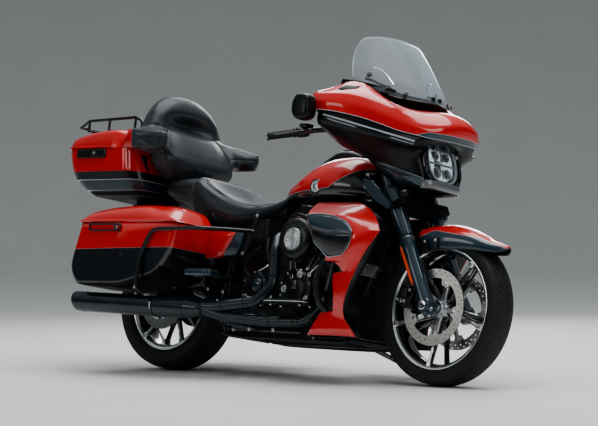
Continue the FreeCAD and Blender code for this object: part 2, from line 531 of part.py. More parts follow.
tail = fuse(box(-1212, -1150, -130, 130, 560, 606), box(-1190, -1080, -40, 40, 566, 600))
NODES["tail_lamps"] = carve(tail, NODES["rear_fender"])
plate = fuse(box(-1222, -1214, -92, 92, 432, 552), box(-1214, -1160, -30, 30, 470, 520))
NODES["plate_holder"] = carve(plate, NODES["rear_fender"], NODES["tail_lamps"])

scov = prism([(-476, 515), (-281, 497), (-250, 600), (-258, 690), (-410, 699)], "y", -222, -206)
strap = prism([(-150, 700), (-112, 690), (-196, 500), (-228, 506)], "y", -216, -200)
link = box(-262, -166, -214, -208, 590, 622)
scov2 = box(-400, -300, -207, -112, 598, 632)
NODES["side_covers"] = both(biggest(carve(fuse(scov, strap, link, scov2), NODES["seat"], NODES["frame"], NODES["engine_cylinders"], NODES["engine_case"], NODES["exhaust_pipes"])))

# ---- luggage -------------------------------------------------------------------------------------------
BAG_SIDE = [(-1046, 618), (-1078, 500), (-1092, 430), (-1064, 362), (-1020, 334), (-745, 326), (-510, 384), (-418, 500), (-400, 618)]


def shrink(pts, d):
    """Polygon moved inwards by d (convex outlines)."""
    n = len(pts)
    area = sum(pts[i][0] * pts[(i + 1) % n][1] - pts[(i + 1) % n][0] * pts[i][1] for i in range(n))
    s = 1 if area > 0 else -1
    lines = []
    for i in range(n):
        (x0, y0), (x1, y1) = pts[i], pts[(i + 1) % n]
        l = math.hypot(x1 - x0, y1 - y0)
        nx, ny = -(y1 - y0) / l * s, (x1 - x0) / l * s
        lines.append((x0 + nx * d, y0 + ny * d, x1 - x0, y1 - y0))
    out = []
    for i in range(n):
        x0, y0, ax_, ay_ = lines[i - 1]
        x1, y1, bx_, by_ = lines[i]
        det = ax_ * by_ - ay_ * bx_
        t = ((x1 - x0) * by_ - (y1 - y0) * bx_) / det
        out.append((x0 + ax_ * t, y0 + ay_ * t))
    return out


bag = prism(BAG_SIDE, "y", -BAG_OUT, -BAG_IN)
bag = rounded(bag, 26, lambda e: along(e, "y") and e.CenterOfMass.z < 600)
cav = prism([(x, z if z < 600 else z + 30) for x, z in shrink(BAG_SIDE, WALL)], "y", -BAG_OUT + WALL, -BAG_IN - WALL)
bag = bag.cut(cav)
# hinge on the outer side: a pin in one fixed knuckle, and two knuckles on the lid
BAG_HINGE = V(-660, -463, 615)
HY, HZ = BAG_HINGE.y, BAG_HINGE.z
bag = fuse(bag, cyl((-690, HY, HZ), (-640, HY, HZ), 6.5), cyl((-726, HY, HZ), (-604, HY, HZ), 3.5), box(-690, -640, HY, -450, 600, 616))
NODES["saddlebag_right"] = carve(bag, NODES["rear_shocks"], NODES["frame"])
NODES["saddlebag_left"] = mir(NODES["saddlebag_right"])
LID_SIDE = [(-1052, 619.5), (-1046, 646), (-1000, 682), (-880, 700), (-740, 709), (-600, 707), (-480, 680), (-416, 636), (-400, 619.5)]
lid = prism(LID_SIDE, "y", -BAG_OUT - 2, -BAG_IN)
# the lid's roof falls to the hinge side and a little to the outside
lid = lid.cut(prism([(-BAG_IN + 20, 640), (-BAG_IN - 110, 720), (-BAG_IN + 20, 720)], "x", -1100, -200))
lid = lid.cut(prism([(-BAG_OUT - 20, 640), (-BAG_OUT + 62, 720), (-BAG_OUT - 20, 720)], "x", -1100, -200))
lid_in = prism([(x, z if z > 630 else z - 20) for x, z in shrink(LID_SIDE, 7)], "y", -BAG_OUT + 7, -BAG_IN - 7)
lid_in = lid_in.cut(prism([(-BAG_IN + 20, 628), (-BAG_IN - 115, 712), (-BAG_IN + 20, 720)], "x", -1100, -200))
lid_in = lid_in.cut(prism([(-BAG_OUT - 20, 628), (-BAG_OUT + 74, 712), (-BAG_OUT - 20, 720)], "x", -1100, -200))
lid = lid.cut(lid_in)
for x in (-724, -638):
    knuckle = cyl((x, HY, HZ), (x + 32, HY, HZ), 6.5).cut(cyl((x - 1, HY, HZ), (x + 33, HY, HZ), 3.56))
    lid = fuse(lid, knuckle, box(x, x + 32, HY - 3, -452, HZ + 4.6, HZ + 11))
NODES["saddlebag_lid_right"] = max(lid.Solids, key=lambda s: s.Volume)
NODES["saddlebag_lid_left"] = mir(NODES["saddlebag_lid_right"])

guard = tube([(-138, -226, 612), (-184, -330, 604), (-238, -474, 590), (-528, -474, 584), (-592, -474, 470), (-600, -474, 322), (-592, -430, 304)], 9, 60)
NODES["saddlebag_guards"] = both(carve(guard, NODES["saddlebag_right"], NODES["mufflers"], NODES["frame"], NODES["side_covers"]))

# trunk: columns z, x low, x high, half width, corner radius
TUB = [(784, -1285, -885, 232, 60), (846, -1338, -888, 272, 70), (850, -1352, -888, 284, 74), (TRUNK_SEAM_Z - 1, -1408, -915, 306, 86)]
tub = loft("z", [(z, a, b, -h, h, r) for z, a, b, h, r in TUB])
tub_in = loft("z", [(794, -1273, -897, -220, 220, 50), (846, -1326, -900, -260, 260, 60), (TRUNK_SEAM_Z + 20, -1398, -927, -296, 296, 76)])
tub = tub.cut(tub_in)
# crown over the tub: columns x, half width, z high, corner radius; its front end is a fixed hood, the rest is the lid
CROWN = [(-1414, 250, 1008, 20), (-1398, 286, 1030, 34), (-1340, 304, 1058, 46), (-1230, 308, 1082, 52), (-1110, 308, 1092, 52),
         (-1010, 302, 1092, 48), (-905, 292, 1088, 44)]
LID_FRONT = -995.0
plan = loft("z", [(880, -1412, -915, -308, 308, 86), (1200, -1412, -915, -308, 308, 86)])
plan_in = loft("z", [(880, -1403, -926, -299, 299, 77), (1200, -1403, -926, -299, 299, 77)])
crown = loft("x", [(x, -h, h, 900, z, r) for x, h, z, r in CROWN]).common(plan)
crown_in = loft("x", [(x + (10 if i == 0 else -10 if i == len(CROWN) - 1 else 0), -h + 9, h - 9, 890, z - 8, max(r - 8, 8))
                      for i, (x, h, z, r) in enumerate(CROWN)]).common(plan_in)
hood = crown.common(prism([(LID_FRONT + 5, 994), (-917, 994), (-962, 1070), (-974, 1082), (LID_FRONT + 5, 1100)], "y", -400, 400))
TRUNK_HINGE = V(-1215, 316, 1000)
TY, TZ = TRUNK_HINGE.y, TRUNK_HINGE.z
knuckle = fuse(cyl((-1240, TY, TZ), (-1190, TY, TZ), 6.5), cyl((-1276, TY, TZ), (-1154, TY, TZ), 3.5), box(-1240, -1190, 298, TY, 984, 993.5), box(-1240, -1190, 308.5, TY, 984, 1000))
NODES["trunk_tub"] = biggest(fuse(tub, hood, knuckle))
tl = crown.cut(crown_in).cut(box(-1500, -900, -400, 400, 880, 996.5)).common(box(-1500, LID_FRONT, -400, 400, 880, 1200))
front_wall = crown.common(box(LID_FRONT - 9, LID_FRONT, -400, 400, 996.5, 1200))
tl = fuse(biggest(tl), front_wall)
for x in (-1274, -1188):
    knuckle = cyl((x, TY, TZ), (x + 32, TY, TZ), 6.5).cut(cyl((x - 1, TY, TZ), (x + 33, TY, TZ), 3.56))
    tl = fuse(tl, knuckle, box(x, x + 32, 300, TY + 2, TZ + 4.4, TZ + 12))
NODES["trunk_lid"] = biggest(tl)

RACK_R = 7.0
RB_X, RB_Z = -1483.0, 1134.0                  # rear bar of the rack
side = tube([(-1012, -176, 1084), (-1016, -178, 1150), (-1062, -180, 1166), (-1400, -174, 1160), (RB_X, -150, RB_Z)], RACK_R, 34)
# columns: x and half width of a cross bar, height of the rail above it
CROSS = [(-1062, 180, 1165), (-1250, 177, 1163), (-1400, 174, 1159)]
crossr = [cyl((x, -h, 1112), (x, h, 1112), RACK_R - 1) for x, h, z in CROSS] + [cyl((RB_X, -150, RB_Z), (RB_X, 150, RB_Z), RACK_R)]
slats = [cyl((-1062, y, 1112), (-1400, y, 1112), RACK_R - 1.5) for y in (-110, -40, 40, 110)]
posts = [cyl((x, s * h, 1112), (x, s * h, z), 6) for x, h, z in CROSS for s in (-1, 1)]
posts += [cyl((x, s * 110, 1114), (x, s * 110, 1070), 8) for x in (-1090, -1230) for s in (-1, 1)]
ends = [Part.makeSphere(RACK_R + 1.5, V(RB_X, s * 150, RB_Z)) for s in (-1, 1)] + [Part.makeSphere(7.5, V(x, s * h, 1112)) for x, h, z in CROSS for s in (-1, 1)]
rack = side.fuse(mir(side))
for bit in crossr + slats + posts + ends:
    rack = rack.fuse(bit)
NODES["luggage_rack"] = max(carve(rack, NODES["trunk_lid"]).Solids, key=lambda s: s.Volume)

mount = fuse(box(-1110, -960, -70, 70, 742, 783), box(-1100, -990, -100, -70, 718, 760), box(-1100, -990, 70, 100, 718, 760))
NODES["trunk_mount"] = carve(mount, NODES["frame"], NODES["rear_fender"])

# wraparound backrest, in front of the lid. Columns: z, x low, x high, half width, corner radius
BACKREST = [(868, -880, -750, 190, 50), (940, -896, -738, 262, 60), (1010, -922, -772, 300, 60), (1060, -955, -804, 296, 60), (1110, -980, -848, 254, 50),
            (1150, -986, -866, 232, 50), (1190, -988, -884, 214, 50), (1240, -988, -900, 172, 42), (1280, -988, -918, 112, 34), (1298, -986, -938, 60, 20)]
pad = loft("z", [(z, a, b, -h, h, r) for z, a, b, h, r in BACKREST])
arm_b = loft("x", [(-925, -338, -250, 1000, 1086, 30), (-830, -338, -250, 1000, 1080, 30), (-730, -334, -262, 1006, 1066, 26), (-694, -318, -280, 1016, 1054, 14)])
bk = fuse(pad, arm_b, mir(arm_b))
NODES["backrest"] = biggest(carve(bk, NODES["trunk_tub"], NODES["seat"]))

# ---- lower fairings, radiator, guards ------------------------------------------------------------------
LOW = [(286, 662), (248, 740), (400, 745), (640, 690), (716, 590), (690, 574), (640, 520), (560, 400), (520, 318), (524, 290), (560, 170),
       (236, 164), (250, 200), (330, 256), (440, 270), (474, 300), (430, 400), (470, 440), (468, 470), (400, 480), (420, 520), (476, 560), (462, 590), (380, 640)]
lowf = prism(LOW, "y", -342, -170)
keep = fuse(box(200, 800, -342, -236, 480, 760), box(200, 800, -296, -236, 255, 482), box(200, 800, -258, -176, 150, 262))
lowf = lowf.common(keep)
# the roof falls to the outside
lowf = lowf.cut(prism([(-360, 642), (-360, 820), (-150, 820), (-150, 774)], "x", 180, 780))
lowf = max(lowf.Solids, key=lambda s: s.Volume)
lowf = carve(lowf, NODES["exhaust_pipes"], NODES["frame"])
# the left one leaves room for the side stand
NODES["lower_fairings"] = Part.makeCompound([lowf, mir(lowf).cut(box(215, 336, 120, 264, 140, 190))])

GUARD = [(500, -90, 548), (430, -210, 520), (372, -300, 480), (352, -318, 400), (362, -300, 300), (404, -200, 214), (416, -136, 196)]
eg = tube(GUARD, 14, 60)
NODES["engine_guard"] = both(biggest(carve(eg, NODES["lower_fairings"], NODES["frame"], NODES["exhaust_pipes"], NODES["engine_case"])))
rad = fuse(box(352, 408, -176, 176, 240, 560), box(330, 354, -120, 120, 280, 540))
NODES["radiator"] = carve(rad, NODES["frame"], NODES["engine_guard"], NODES["exhaust_pipes"], NODES["engine_case"], NODES["engine_cylinders"], NODES["lower_fairings"])

# deflector blades beside the fork, on arms from the frame, outside the swing of the fork
blade = prism([(439, 848), (486, 838), (540, 796), (613, 733), (599, 714), (520, 752), (466, 794)], "y", -190, -176)
arm_d = tube([(452, -12, 744), (460, -120, 752), (500, -182, 776)], 8, 30)
NODES["wind_deflectors"] = both(biggest(carve(fuse(blade, arm_d), NODES["frame"], NODES["fuel_tank"])))

# ---- feet ----------------------------------------------------------------------------------------------
BOARD_T = 16.0
HINGE_Y, HINGE_Z = 226.0, 292.0
board = loft("z", [(HINGE_Z - 8, 70, 322, -352, -236, 34), (HINGE_Z + 8, 70, 322, -352, -236, 34)])
lugs = [cyl((x, -HINGE_Y, HINGE_Z), (x + 22, -HINGE_Y, HINGE_Z), 8).cut(cyl((x - 1, -HINGE_Y, HINGE_Z), (x + 23, -HINGE_Y, HINGE_Z), 4.05)) for x in (100, 212)]
webs = [box(x, x + 22, -238, -232, HINGE_Z - 7, HINGE_Z + 7) for x in (100, 212)]
board = fuse(board, *lugs, *webs)
NODES["rider_board_right"] = board
NODES["rider_board_left"] = mir(board)
pin = cyl((96, -HINGE_Y, HINGE_Z), (238, -HINGE_Y, HINGE_Z), 4)
brk = fuse(pin, box(123, 211, -HINGE_Y - 5, -HINGE_Y + 14, HINGE_Z - 8, HINGE_Z + 8), box(130, 200, -HINGE_Y + 12, -134, HINGE_Z - 26, HINGE_Z - 8), box(130, 200, -HINGE_Y + 6, -HINGE_Y + 14, HINGE_Z - 26, HINGE_Z),
           box(130, 200, -146, -134, 158, HINGE_Z - 8))
PH_Y, PH_Z = 306.0, 408.0
pboard = loft("z", [(PH_Z - 7, -380, -217, -404, -316, 26), (PH_Z + 7, -380, -217, -404, -316, 26)])
plug = [cyl((x, -PH_Y, PH_Z), (x + 20, -PH_Y, PH_Z), 7).cut(cyl((x - 1, -PH_Y, PH_Z), (x + 21, -PH_Y, PH_Z), 4.05)) for x in (-348, -266)]
pweb = [box(x, x + 20, -318, -311.5, PH_Z - 6, PH_Z + 6) for x in (-348, -266)]
NODES["passenger_board_right"] = fuse(pboard, *plug, *pweb)
NODES["passenger_board_left"] = mir(NODES["passenger_board_right"])
ppin = fuse(cyl((-354, -PH_Y, PH_Z), (-240, -PH_Y, PH_Z), 4), box(-327, -267, -PH_Y - 5, -PH_Y + 16, PH_Z - 8, PH_Z + 8),
            tube([(-376, -131, 408), (-362, -205, 408), (-297, -PH_Y + 10, 408)], 11, 30))
# brake pedal on the right, shift lever on the left
pedal = fuse(tube([(240, -150, 210), (318, -186, 276), (362, -262, 334)], 7, 20), box(334, 390, -292, -236, 330, 344))
shifter = fuse(tube([(262, 150, 262), (330, 190, 300), (352, 262, 348)], 7, 20), box(330, 374, 240, 292, 340, 354))
foot = [mir(brk), mir(ppin), brk, ppin, pedal, shifter]
hard = [NODES[n] for n in ("frame", "engine_case", "exhaust_pipes", "mufflers", "side_covers", "lower_fairings", "engine_guard", "swingarm")]
foot = [carve(s, *hard) for s in foot]
foot = [max(s.Solids, key=lambda q: q.Volume) for s in foot]
NODES["foot_controls"] = Part.makeCompound(foot)

# ---- the lean onto the side stand ----------------------------------------------------------------------
SHIFT = V(178.0, -112.0, 0.2)


def lean(shape):
    s = shape.copy()
    s.rotate(V(0, 0, LEAN_Z), V(1, 0, 0), -LEAN)
    s.translate(SHIFT)
    return s


def unlean(shape):
    s = shape.copy()
    s.translate(SHIFT * -1)
    s.rotate(V(0, 0, LEAN_Z), V(1, 0, 0), LEAN)
    return s


# side stand: hub beside the frame ear, a leg forward and out to the left, and a foot flat on the ground
FOOT = V(490 + SHIFT.x, 300 + SHIFT.y, 0)
foot_pad = Part.makeCylinder(30, 9, FOOT)
foot_up = unlean(foot_pad)
fc = foot_up.CenterOfMass
STAND_AXIS = V(0.25, 0.03, 0.968).normalize()
hub = Part.makeCylinder(19, 26, STAND_PIVOT - STAND_AXIS * 13, STAND_AXIS)
leg = cyl(tuple(STAND_PIVOT), tuple(fc), 10.5)
keep_up = unlean(box(-2000, 2000, -2000, 2000, 0, 2000))
NODES["side_stand"] = fuse(hub, leg, foot_up).common(keep_up)
NODES["frame"] = NODES["frame"].cut(Part.makeCylinder(21, 34, STAND_PIVOT - STAND_AXIS * 17, STAND_AXIS))

# ---- write ---------------------------------------------------------------------------------------------
for name, shape in NODES.items():
    lean(shape).exportStep("parts/%s.step" % name)
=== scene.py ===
import bpy, bmesh, math, json
import numpy as np
from mathutils import Vector, Matrix

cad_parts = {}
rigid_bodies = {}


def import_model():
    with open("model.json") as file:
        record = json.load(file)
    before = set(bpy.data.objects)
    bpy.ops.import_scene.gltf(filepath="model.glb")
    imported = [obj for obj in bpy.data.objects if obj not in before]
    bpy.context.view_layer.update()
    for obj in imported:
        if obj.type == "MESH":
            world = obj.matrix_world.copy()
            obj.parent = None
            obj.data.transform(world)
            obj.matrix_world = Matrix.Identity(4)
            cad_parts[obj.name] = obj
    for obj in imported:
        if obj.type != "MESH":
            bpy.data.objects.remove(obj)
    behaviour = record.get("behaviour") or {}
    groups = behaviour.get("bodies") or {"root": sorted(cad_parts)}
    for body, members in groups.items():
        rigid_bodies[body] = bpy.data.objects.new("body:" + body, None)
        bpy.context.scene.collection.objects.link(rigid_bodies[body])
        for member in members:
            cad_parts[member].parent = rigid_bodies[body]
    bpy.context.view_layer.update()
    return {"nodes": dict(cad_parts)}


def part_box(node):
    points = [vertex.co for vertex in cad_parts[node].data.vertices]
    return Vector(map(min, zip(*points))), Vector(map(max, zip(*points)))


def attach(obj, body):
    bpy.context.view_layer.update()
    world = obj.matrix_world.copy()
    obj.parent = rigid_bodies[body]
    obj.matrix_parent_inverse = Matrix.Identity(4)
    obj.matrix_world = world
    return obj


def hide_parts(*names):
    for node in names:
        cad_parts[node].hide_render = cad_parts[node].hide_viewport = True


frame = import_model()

# Everything is laid out in mm on the upright machine, then leaned onto its side stand:
# +X forward, +Y to the left, +Z up, origin on the ground between the axles.
LEAN, LEAN_Z = math.radians(9.6), 0.081
SHIFT = Vector((0.178, -0.112, 0.0002))
M = (Matrix.Translation(SHIFT) @ Matrix.Translation((0, 0, LEAN_Z)) @ Matrix.Rotation(-LEAN, 4, "X")
     @ Matrix.Translation((0, 0, -LEAN_Z)) @ Matrix.Scale(0.001, 4))
BACK = M.inverted()
XF, XR, ZF, ZR = 812.5, -812.5, 319.0, 327.5
NODES = frame["nodes"]


# ------------------------------------------------------------------ materials
def new_mat(name):
    m = bpy.data.materials.new(name)
    m.use_nodes = True
    nt = m.node_tree
    return m, nt, nt.nodes["Principled BSDF"]


def node(nt, kind, **kw):
    n = nt.nodes.new(kind)
    for k, v in kw.items():
        if k.startswith("i_"):
            key = k[2:]
            n.inputs[int(key) if key.isdigit() else key].default_value = v
        else:
            setattr(n, k, v)
    return n


def coords(nt):
    return node(nt, "ShaderNodeTexCoord").outputs["Object"]


def upright(nt):
    """Upright machine coordinates in metres, as separate x, y, z sockets."""
    mp = node(nt, "ShaderNodeMapping")
    inv = BACK @ Matrix.Scale(1.0, 4)
    # p_up(m) = R p + t
    R = Matrix.Rotation(LEAN, 4, "X")
    t = (Matrix.Translation((0, 0, LEAN_Z)) @ R @ Matrix.Translation((0, 0, -LEAN_Z)) @ Matrix.Translation(-SHIFT)).to_translation()
    mp.inputs["Location"].default_value = t
    mp.inputs["Rotation"].default_value = (LEAN, 0, 0)
    nt.links.new(coords(nt), mp.inputs["Vector"])
    sep = node(nt, "ShaderNodeSeparateXYZ")
    nt.links.new(mp.outputs[0], sep.inputs[0])
    return sep.outputs


def noise(nt, scale, detail=4.0, rough=0.5, vec=None):
    n = node(nt, "ShaderNodeTexNoise")
    n.inputs["Scale"].default_value = scale
    n.inputs["Detail"].default_value = detail
    n.inputs["Roughness"].default_value = rough
    nt.links.new(vec if vec is not None else coords(nt), n.inputs["Vector"])
    return n.outputs["Fac"]


def ramp(nt, fac, stops):
    r = node(nt, "ShaderNodeValToRGB")
    while len(r.color_ramp.elements) < len(stops):
        r.color_ramp.elements.new(0.5)
    for e, (p, c) in zip(r.color_ramp.elements, stops):
        e.position = p
        e.color = (*c, 1) if len(c) == 3 else c
    nt.links.new(fac, r.inputs[0])
    return r.outputs[0]


def grey(v):
    return (v, v, v)


def math_n(nt, op, a, b=None, c=None, clamp=False):
    n = node(nt, "ShaderNodeMath", operation=op)
    n.use_clamp = clamp
    for i, v in enumerate((a, b, c)):
        if v is None:
            continue
        if isinstance(v, (int, float)):
            n.inputs[i].default_value = v
        else:
            nt.links.new(v, n.inputs[i])
    return n.outputs[0]


def mixc(nt, fac, a, b):
    n = node(nt, "ShaderNodeMix", data_type="RGBA")
    for sock, v in ((n.inputs[0], fac), (n.inputs[6], a), (n.inputs[7], b)):
        if isinstance(v, (int, float)):
            sock.default_value = v
        elif isinstance(v, tuple):
            sock.default_value = (*v, 1) if len(v) == 3 else v
        else:
            nt.links.new(v, sock)
    return n.outputs[2]


def bump(nt, bsdf, height, strength, dist=0.001):
    b = node(nt, "ShaderNodeBump")
    b.inputs["Strength"].default_value = strength
    b.inputs["Distance"].default_value = dist
    nt.links.new(height, b.inputs["Height"])
    nt.links.new(b.outputs[0], bsdf.inputs["Normal"])
    return b


RED = (0.62, 0.010, 0.006)
BLACK = (0.0025, 0.0045, 0.0070)
TEAL = (0.006, 0.026, 0.042)
STRIPE = (0.30, 0.33, 0.35)


def coat(bsdf, w=1.0, r=0.04):
    bsdf.inputs["Coat Weight"].default_value = w
    bsdf.inputs["Coat Roughness"].default_value = r


def paint(name, base, rough=0.32, metal=0.0, flake=0.0, coat_w=1.0, coat_r=0.05):
    """Clear-coated paint with a faint orange peel and, for metallic ones, fine flake."""
    m, nt, b = new_mat(name)
    n = noise(nt, 9.0, 3)
    c = mixc(nt, n, tuple(v * 0.93 for v in base), tuple(min(1, v * 1.07) for v in base))
    if flake:
        v = node(nt, "ShaderNodeTexVoronoi")
        v.inputs["Scale"].default_value = 900
        nt.links.new(coords(nt), v.inputs["Vector"])
        sp = math_n(nt, "MULTIPLY", v.outputs["Distance"], flake, clamp=True)
        c = mixc(nt, sp, c, tuple(min(1, v2 * 1.8 + 0.02) for v2 in base))
    nt.links.new(c, b.inputs["Base Color"])
    b.inputs["Roughness"].default_value = rough
    b.inputs["Metallic"].default_value = metal
    coat(b, coat_w, coat_r)
    bump(nt, b, noise(nt, 260.0, 2), 0.03, 0.0004)
    return m


def plane_mask(nt, co, planes, soft=0.0006):
    """1 where every plane (a, b, c, d): a x + b y + c z + d > 0 holds (upright metres)."""
    out = None
    for a, b_, c_, d in planes:
        s = math_n(nt, "MULTIPLY", co[0], a)
        s = math_n(nt, "MULTIPLY_ADD", co[1], b_, s)
        s = math_n(nt, "MULTIPLY_ADD", co[2], c_, s)
        s = math_n(nt, "ADD", s, d)
        s = math_n(nt, "MULTIPLY_ADD", s, 0.5 / soft, 0.5, clamp=True)
        out = s if out is None else math_n(nt, "MINIMUM", out, s)
    return out


def two_tone(name, planes_sets, top=RED, low=BLACK, stripe_w=0.0022, rough=0.3):
    """Paint split by lines: low where any set of planes holds, top elsewhere, and a thin stripe along the edge."""
    m, nt, b = new_mat(name)
    co = upright(nt)
    mask = wide = None
    for planes in planes_sets:
        a = plane_mask(nt, co, planes)
        w = plane_mask(nt, co, [(p[0], p[1], p[2], p[3] + stripe_w * math.sqrt(p[0] ** 2 + p[1] ** 2 + p[2] ** 2)) for p in planes])
        mask = a if mask is None else math_n(nt, "MAXIMUM", mask, a)
        wide = w if wide is None else math_n(nt, "MAXIMUM", wide, w)
    n = noise(nt, 9.0, 3)
    ct = mixc(nt, n, tuple(v * 0.93 for v in top), tuple(min(1, v * 1.07) for v in top))
    cl = mixc(nt, n, low, tuple(v * 1.3 for v in low))
    c = mixc(nt, wide, ct, STRIPE)
    c = mixc(nt, mask, c, cl)
    nt.links.new(c, b.inputs["Base Color"])
    b.inputs["Roughness"].default_value = rough
    coat(b, 1.0, 0.05)
    bump(nt, b, noise(nt, 260.0, 2), 0.03, 0.0004)
    return m


def metal(name, base, rough, rough_var=0.08, brushed=None, bump_s=0.05, scale=60.0):
    m, nt, b = new_mat(name)
    b.inputs["Metallic"].default_value = 1.0
    vec = None
    if brushed:
        mp = node(nt, "ShaderNodeMapping")
        mp.inputs["Scale"].default_value = brushed
        nt.links.new(coords(nt), mp.inputs[0])
        vec = mp.outputs[0]
    n = noise(nt, scale, 5, 0.6, vec)
    nt.links.new(mixc(nt, n, tuple(v * 0.88 for v in base), tuple(min(1, v * 1.08) for v in base)), b.inputs["Base Color"])
    nt.links.new(math_n(nt, "MULTIPLY_ADD", n, rough_var, rough - rough_var / 2), b.inputs["Roughness"])
    bump(nt, b, n, bump_s, 0.0004)
    return m


def coated(name, base, rough=0.42, grain=420.0, strength=0.12, metal_v=0.0, spec=0.5):
    """Satin coat or moulded plastic: fine grain, a little dust and uneven gloss."""
    m, nt, b = new_mat(name)
    n1 = noise(nt, 14.0, 4)
    nt.links.new(mixc(nt, n1, tuple(v * 0.8 for v in base), tuple(v * 1.25 for v in base)), b.inputs["Base Color"])
    nt.links.new(math_n(nt, "MULTIPLY_ADD", n1, 0.16, rough - 0.08), b.inputs["Roughness"])
    b.inputs["Metallic"].default_value = metal_v
    b.inputs["Specular IOR Level"].default_value = spec
    bump(nt, b, noise(nt, grain, 3), strength, 0.0004)
    return m


def leather(name, base=(0.0095, 0.0150, 0.0195)):
    m, nt, b = new_mat(name)
    v = node(nt, "ShaderNodeTexVoronoi")
    v.inputs["Scale"].default_value = 330
    v.feature = "DISTANCE_TO_EDGE"
    nt.links.new(coords(nt), v.inputs["Vector"])
    pore = math_n(nt, "MULTIPLY", v.outputs["Distance"], 2.2, clamp=True)
    n1 = noise(nt, 6.0, 5)
    n2 = noise(nt, 46.0, 4)
    c = mixc(nt, n1, tuple(x * 0.75 for x in base), tuple(x * 1.35 for x in base))
    c = mixc(nt, math_n(nt, "MULTIPLY", n2, 0.35), c, tuple(x * 1.9 for x in base))
    nt.links.new(c, b.inputs["Base Color"])
    nt.links.new(math_n(nt, "MULTIPLY_ADD", n2, 0.16, 0.34), b.inputs["Roughness"])
    h = math_n(nt, "MULTIPLY_ADD", pore, 0.5, math_n(nt, "MULTIPLY", n2, 0.6))
    bump(nt, b, h, 0.28, 0.0006)
    b.inputs["Sheen Weight"].default_value = 0.15
    b.inputs["Sheen Roughness"].default_value = 0.4
    return m


def tyre_mat(name, count, half_w):
    """Rubber with curved tread grooves, drawn from the lathe's UVs: u round the wheel, v across it."""
    m, nt, b = new_mat(name)
    uv = node(nt, "ShaderNodeUVMap").outputs[0]
    sep = node(nt, "ShaderNodeSeparateXYZ")
    nt.links.new(uv, sep.inputs[0])
    u, v = sep.outputs[0], sep.outputs[1]
    av = math_n(nt, "ABSOLUTE", math_n(nt, "SUBTRACT", v, 0.5))            # 0 centre, 0.5 bead
    side = math_n(nt, "GREATER_THAN", v, 0.5)

    def groove(shift, slant, curve, lo, hi, w):
        ph = math_n(nt, "MULTIPLY_ADD", u, count, shift)
        ph = math_n(nt, "MULTIPLY_ADD", av, slant, ph)
        ph = math_n(nt, "MULTIPLY_ADD", math_n(nt, "MULTIPLY", av, av), curve, ph)
        ph = math_n(nt, "MULTIPLY_ADD", side, 0.5, ph)
        f = math_n(nt, "ABSOLUTE", math_n(nt, "SUBTRACT", math_n(nt, "FRACT", ph), 0.5))
        g = math_n(nt, "SUBTRACT", 1.0, math_n(nt, "MULTIPLY", f, 1.0 / w), clamp=True)
        a = math_n(nt, "MULTIPLY", math_n(nt, "SUBTRACT", av, lo), 60.0, clamp=True)
        c = math_n(nt, "MULTIPLY", math_n(nt, "SUBTRACT", hi, av), 60.0, clamp=True)
        return math_n(nt, "MULTIPLY", g, math_n(nt, "MULTIPLY", a, c))
    g = math_n(nt, "MAXIMUM", groove(0.0, 4.2, -3.0, 0.035, 0.20, 0.09), groove(0.45, -2.4, 1.0, 0.10, 0.235, 0.07))
    g = math_n(nt, "MAXIMUM", g, groove(0.25, 7.0, -12.0, 0.015, 0.10, 0.05))
    # faint rings on the sidewall
    ring = math_n(nt, "SINE", math_n(nt, "MULTIPLY", av, 420.0))
    ring = math_n(nt, "MULTIPLY", math_n(nt, "MULTIPLY", ring, 0.05), math_n(nt, "GREATER_THAN", av, 0.30))
    n = noise(nt, 50.0, 5, 0.6)
    c = mixc(nt, n, (0.004, 0.005, 0.0055), (0.009, 0.010, 0.011))
    # painted shade: the grooves, which are only bump, are coloured darker than the tread
    c = mixc(nt, g, c, (0.003, 0.003, 0.003))
    dust = math_n(nt, "MULTIPLY", math_n(nt, "LESS_THAN", av, 0.12), math_n(nt, "MULTIPLY", noise(nt, 22.0, 4), 0.35))
    c = mixc(nt, dust, c, (0.012, 0.0115, 0.011))
    nt.links.new(c, b.inputs["Base Color"])
    nt.links.new(math_n(nt, "MULTIPLY_ADD", n, 0.2, 0.55), b.inputs["Roughness"])
    h = math_n(nt, "ADD", math_n(nt, "MULTIPLY", g, -1.0), math_n(nt, "ADD", ring, math_n(nt, "MULTIPLY", n, 0.08)))
    bump(nt, b, h, 0.9, 0.003)
    return m


def glass_mat(name, tint=(0.93, 0.97, 1.0), rough=0.0, alpha=0.0):
    """Clear thin sheet: mostly see-through, with bright reflections that grow towards the edges."""
    m, nt, b = new_mat(name)
    b.inputs["Base Color"].default_value = (*tint, 1)
    b.inputs["Roughness"].default_value = rough
    b.inputs["IOR"].default_value = 1.45
    b.inputs["Specular IOR Level"].default_value = 0.7
    fr = node(nt, "ShaderNodeFresnel")
    fr.inputs[0].default_value = 1.6
    n = noise(nt, 5.0, 3)
    a = math_n(nt, "MULTIPLY_ADD", fr.outputs[0], 1.1, math_n(nt, "MULTIPLY_ADD", n, 0.05, alpha), clamp=True)
    nt.links.new(a, b.inputs["Alpha"])
    return m


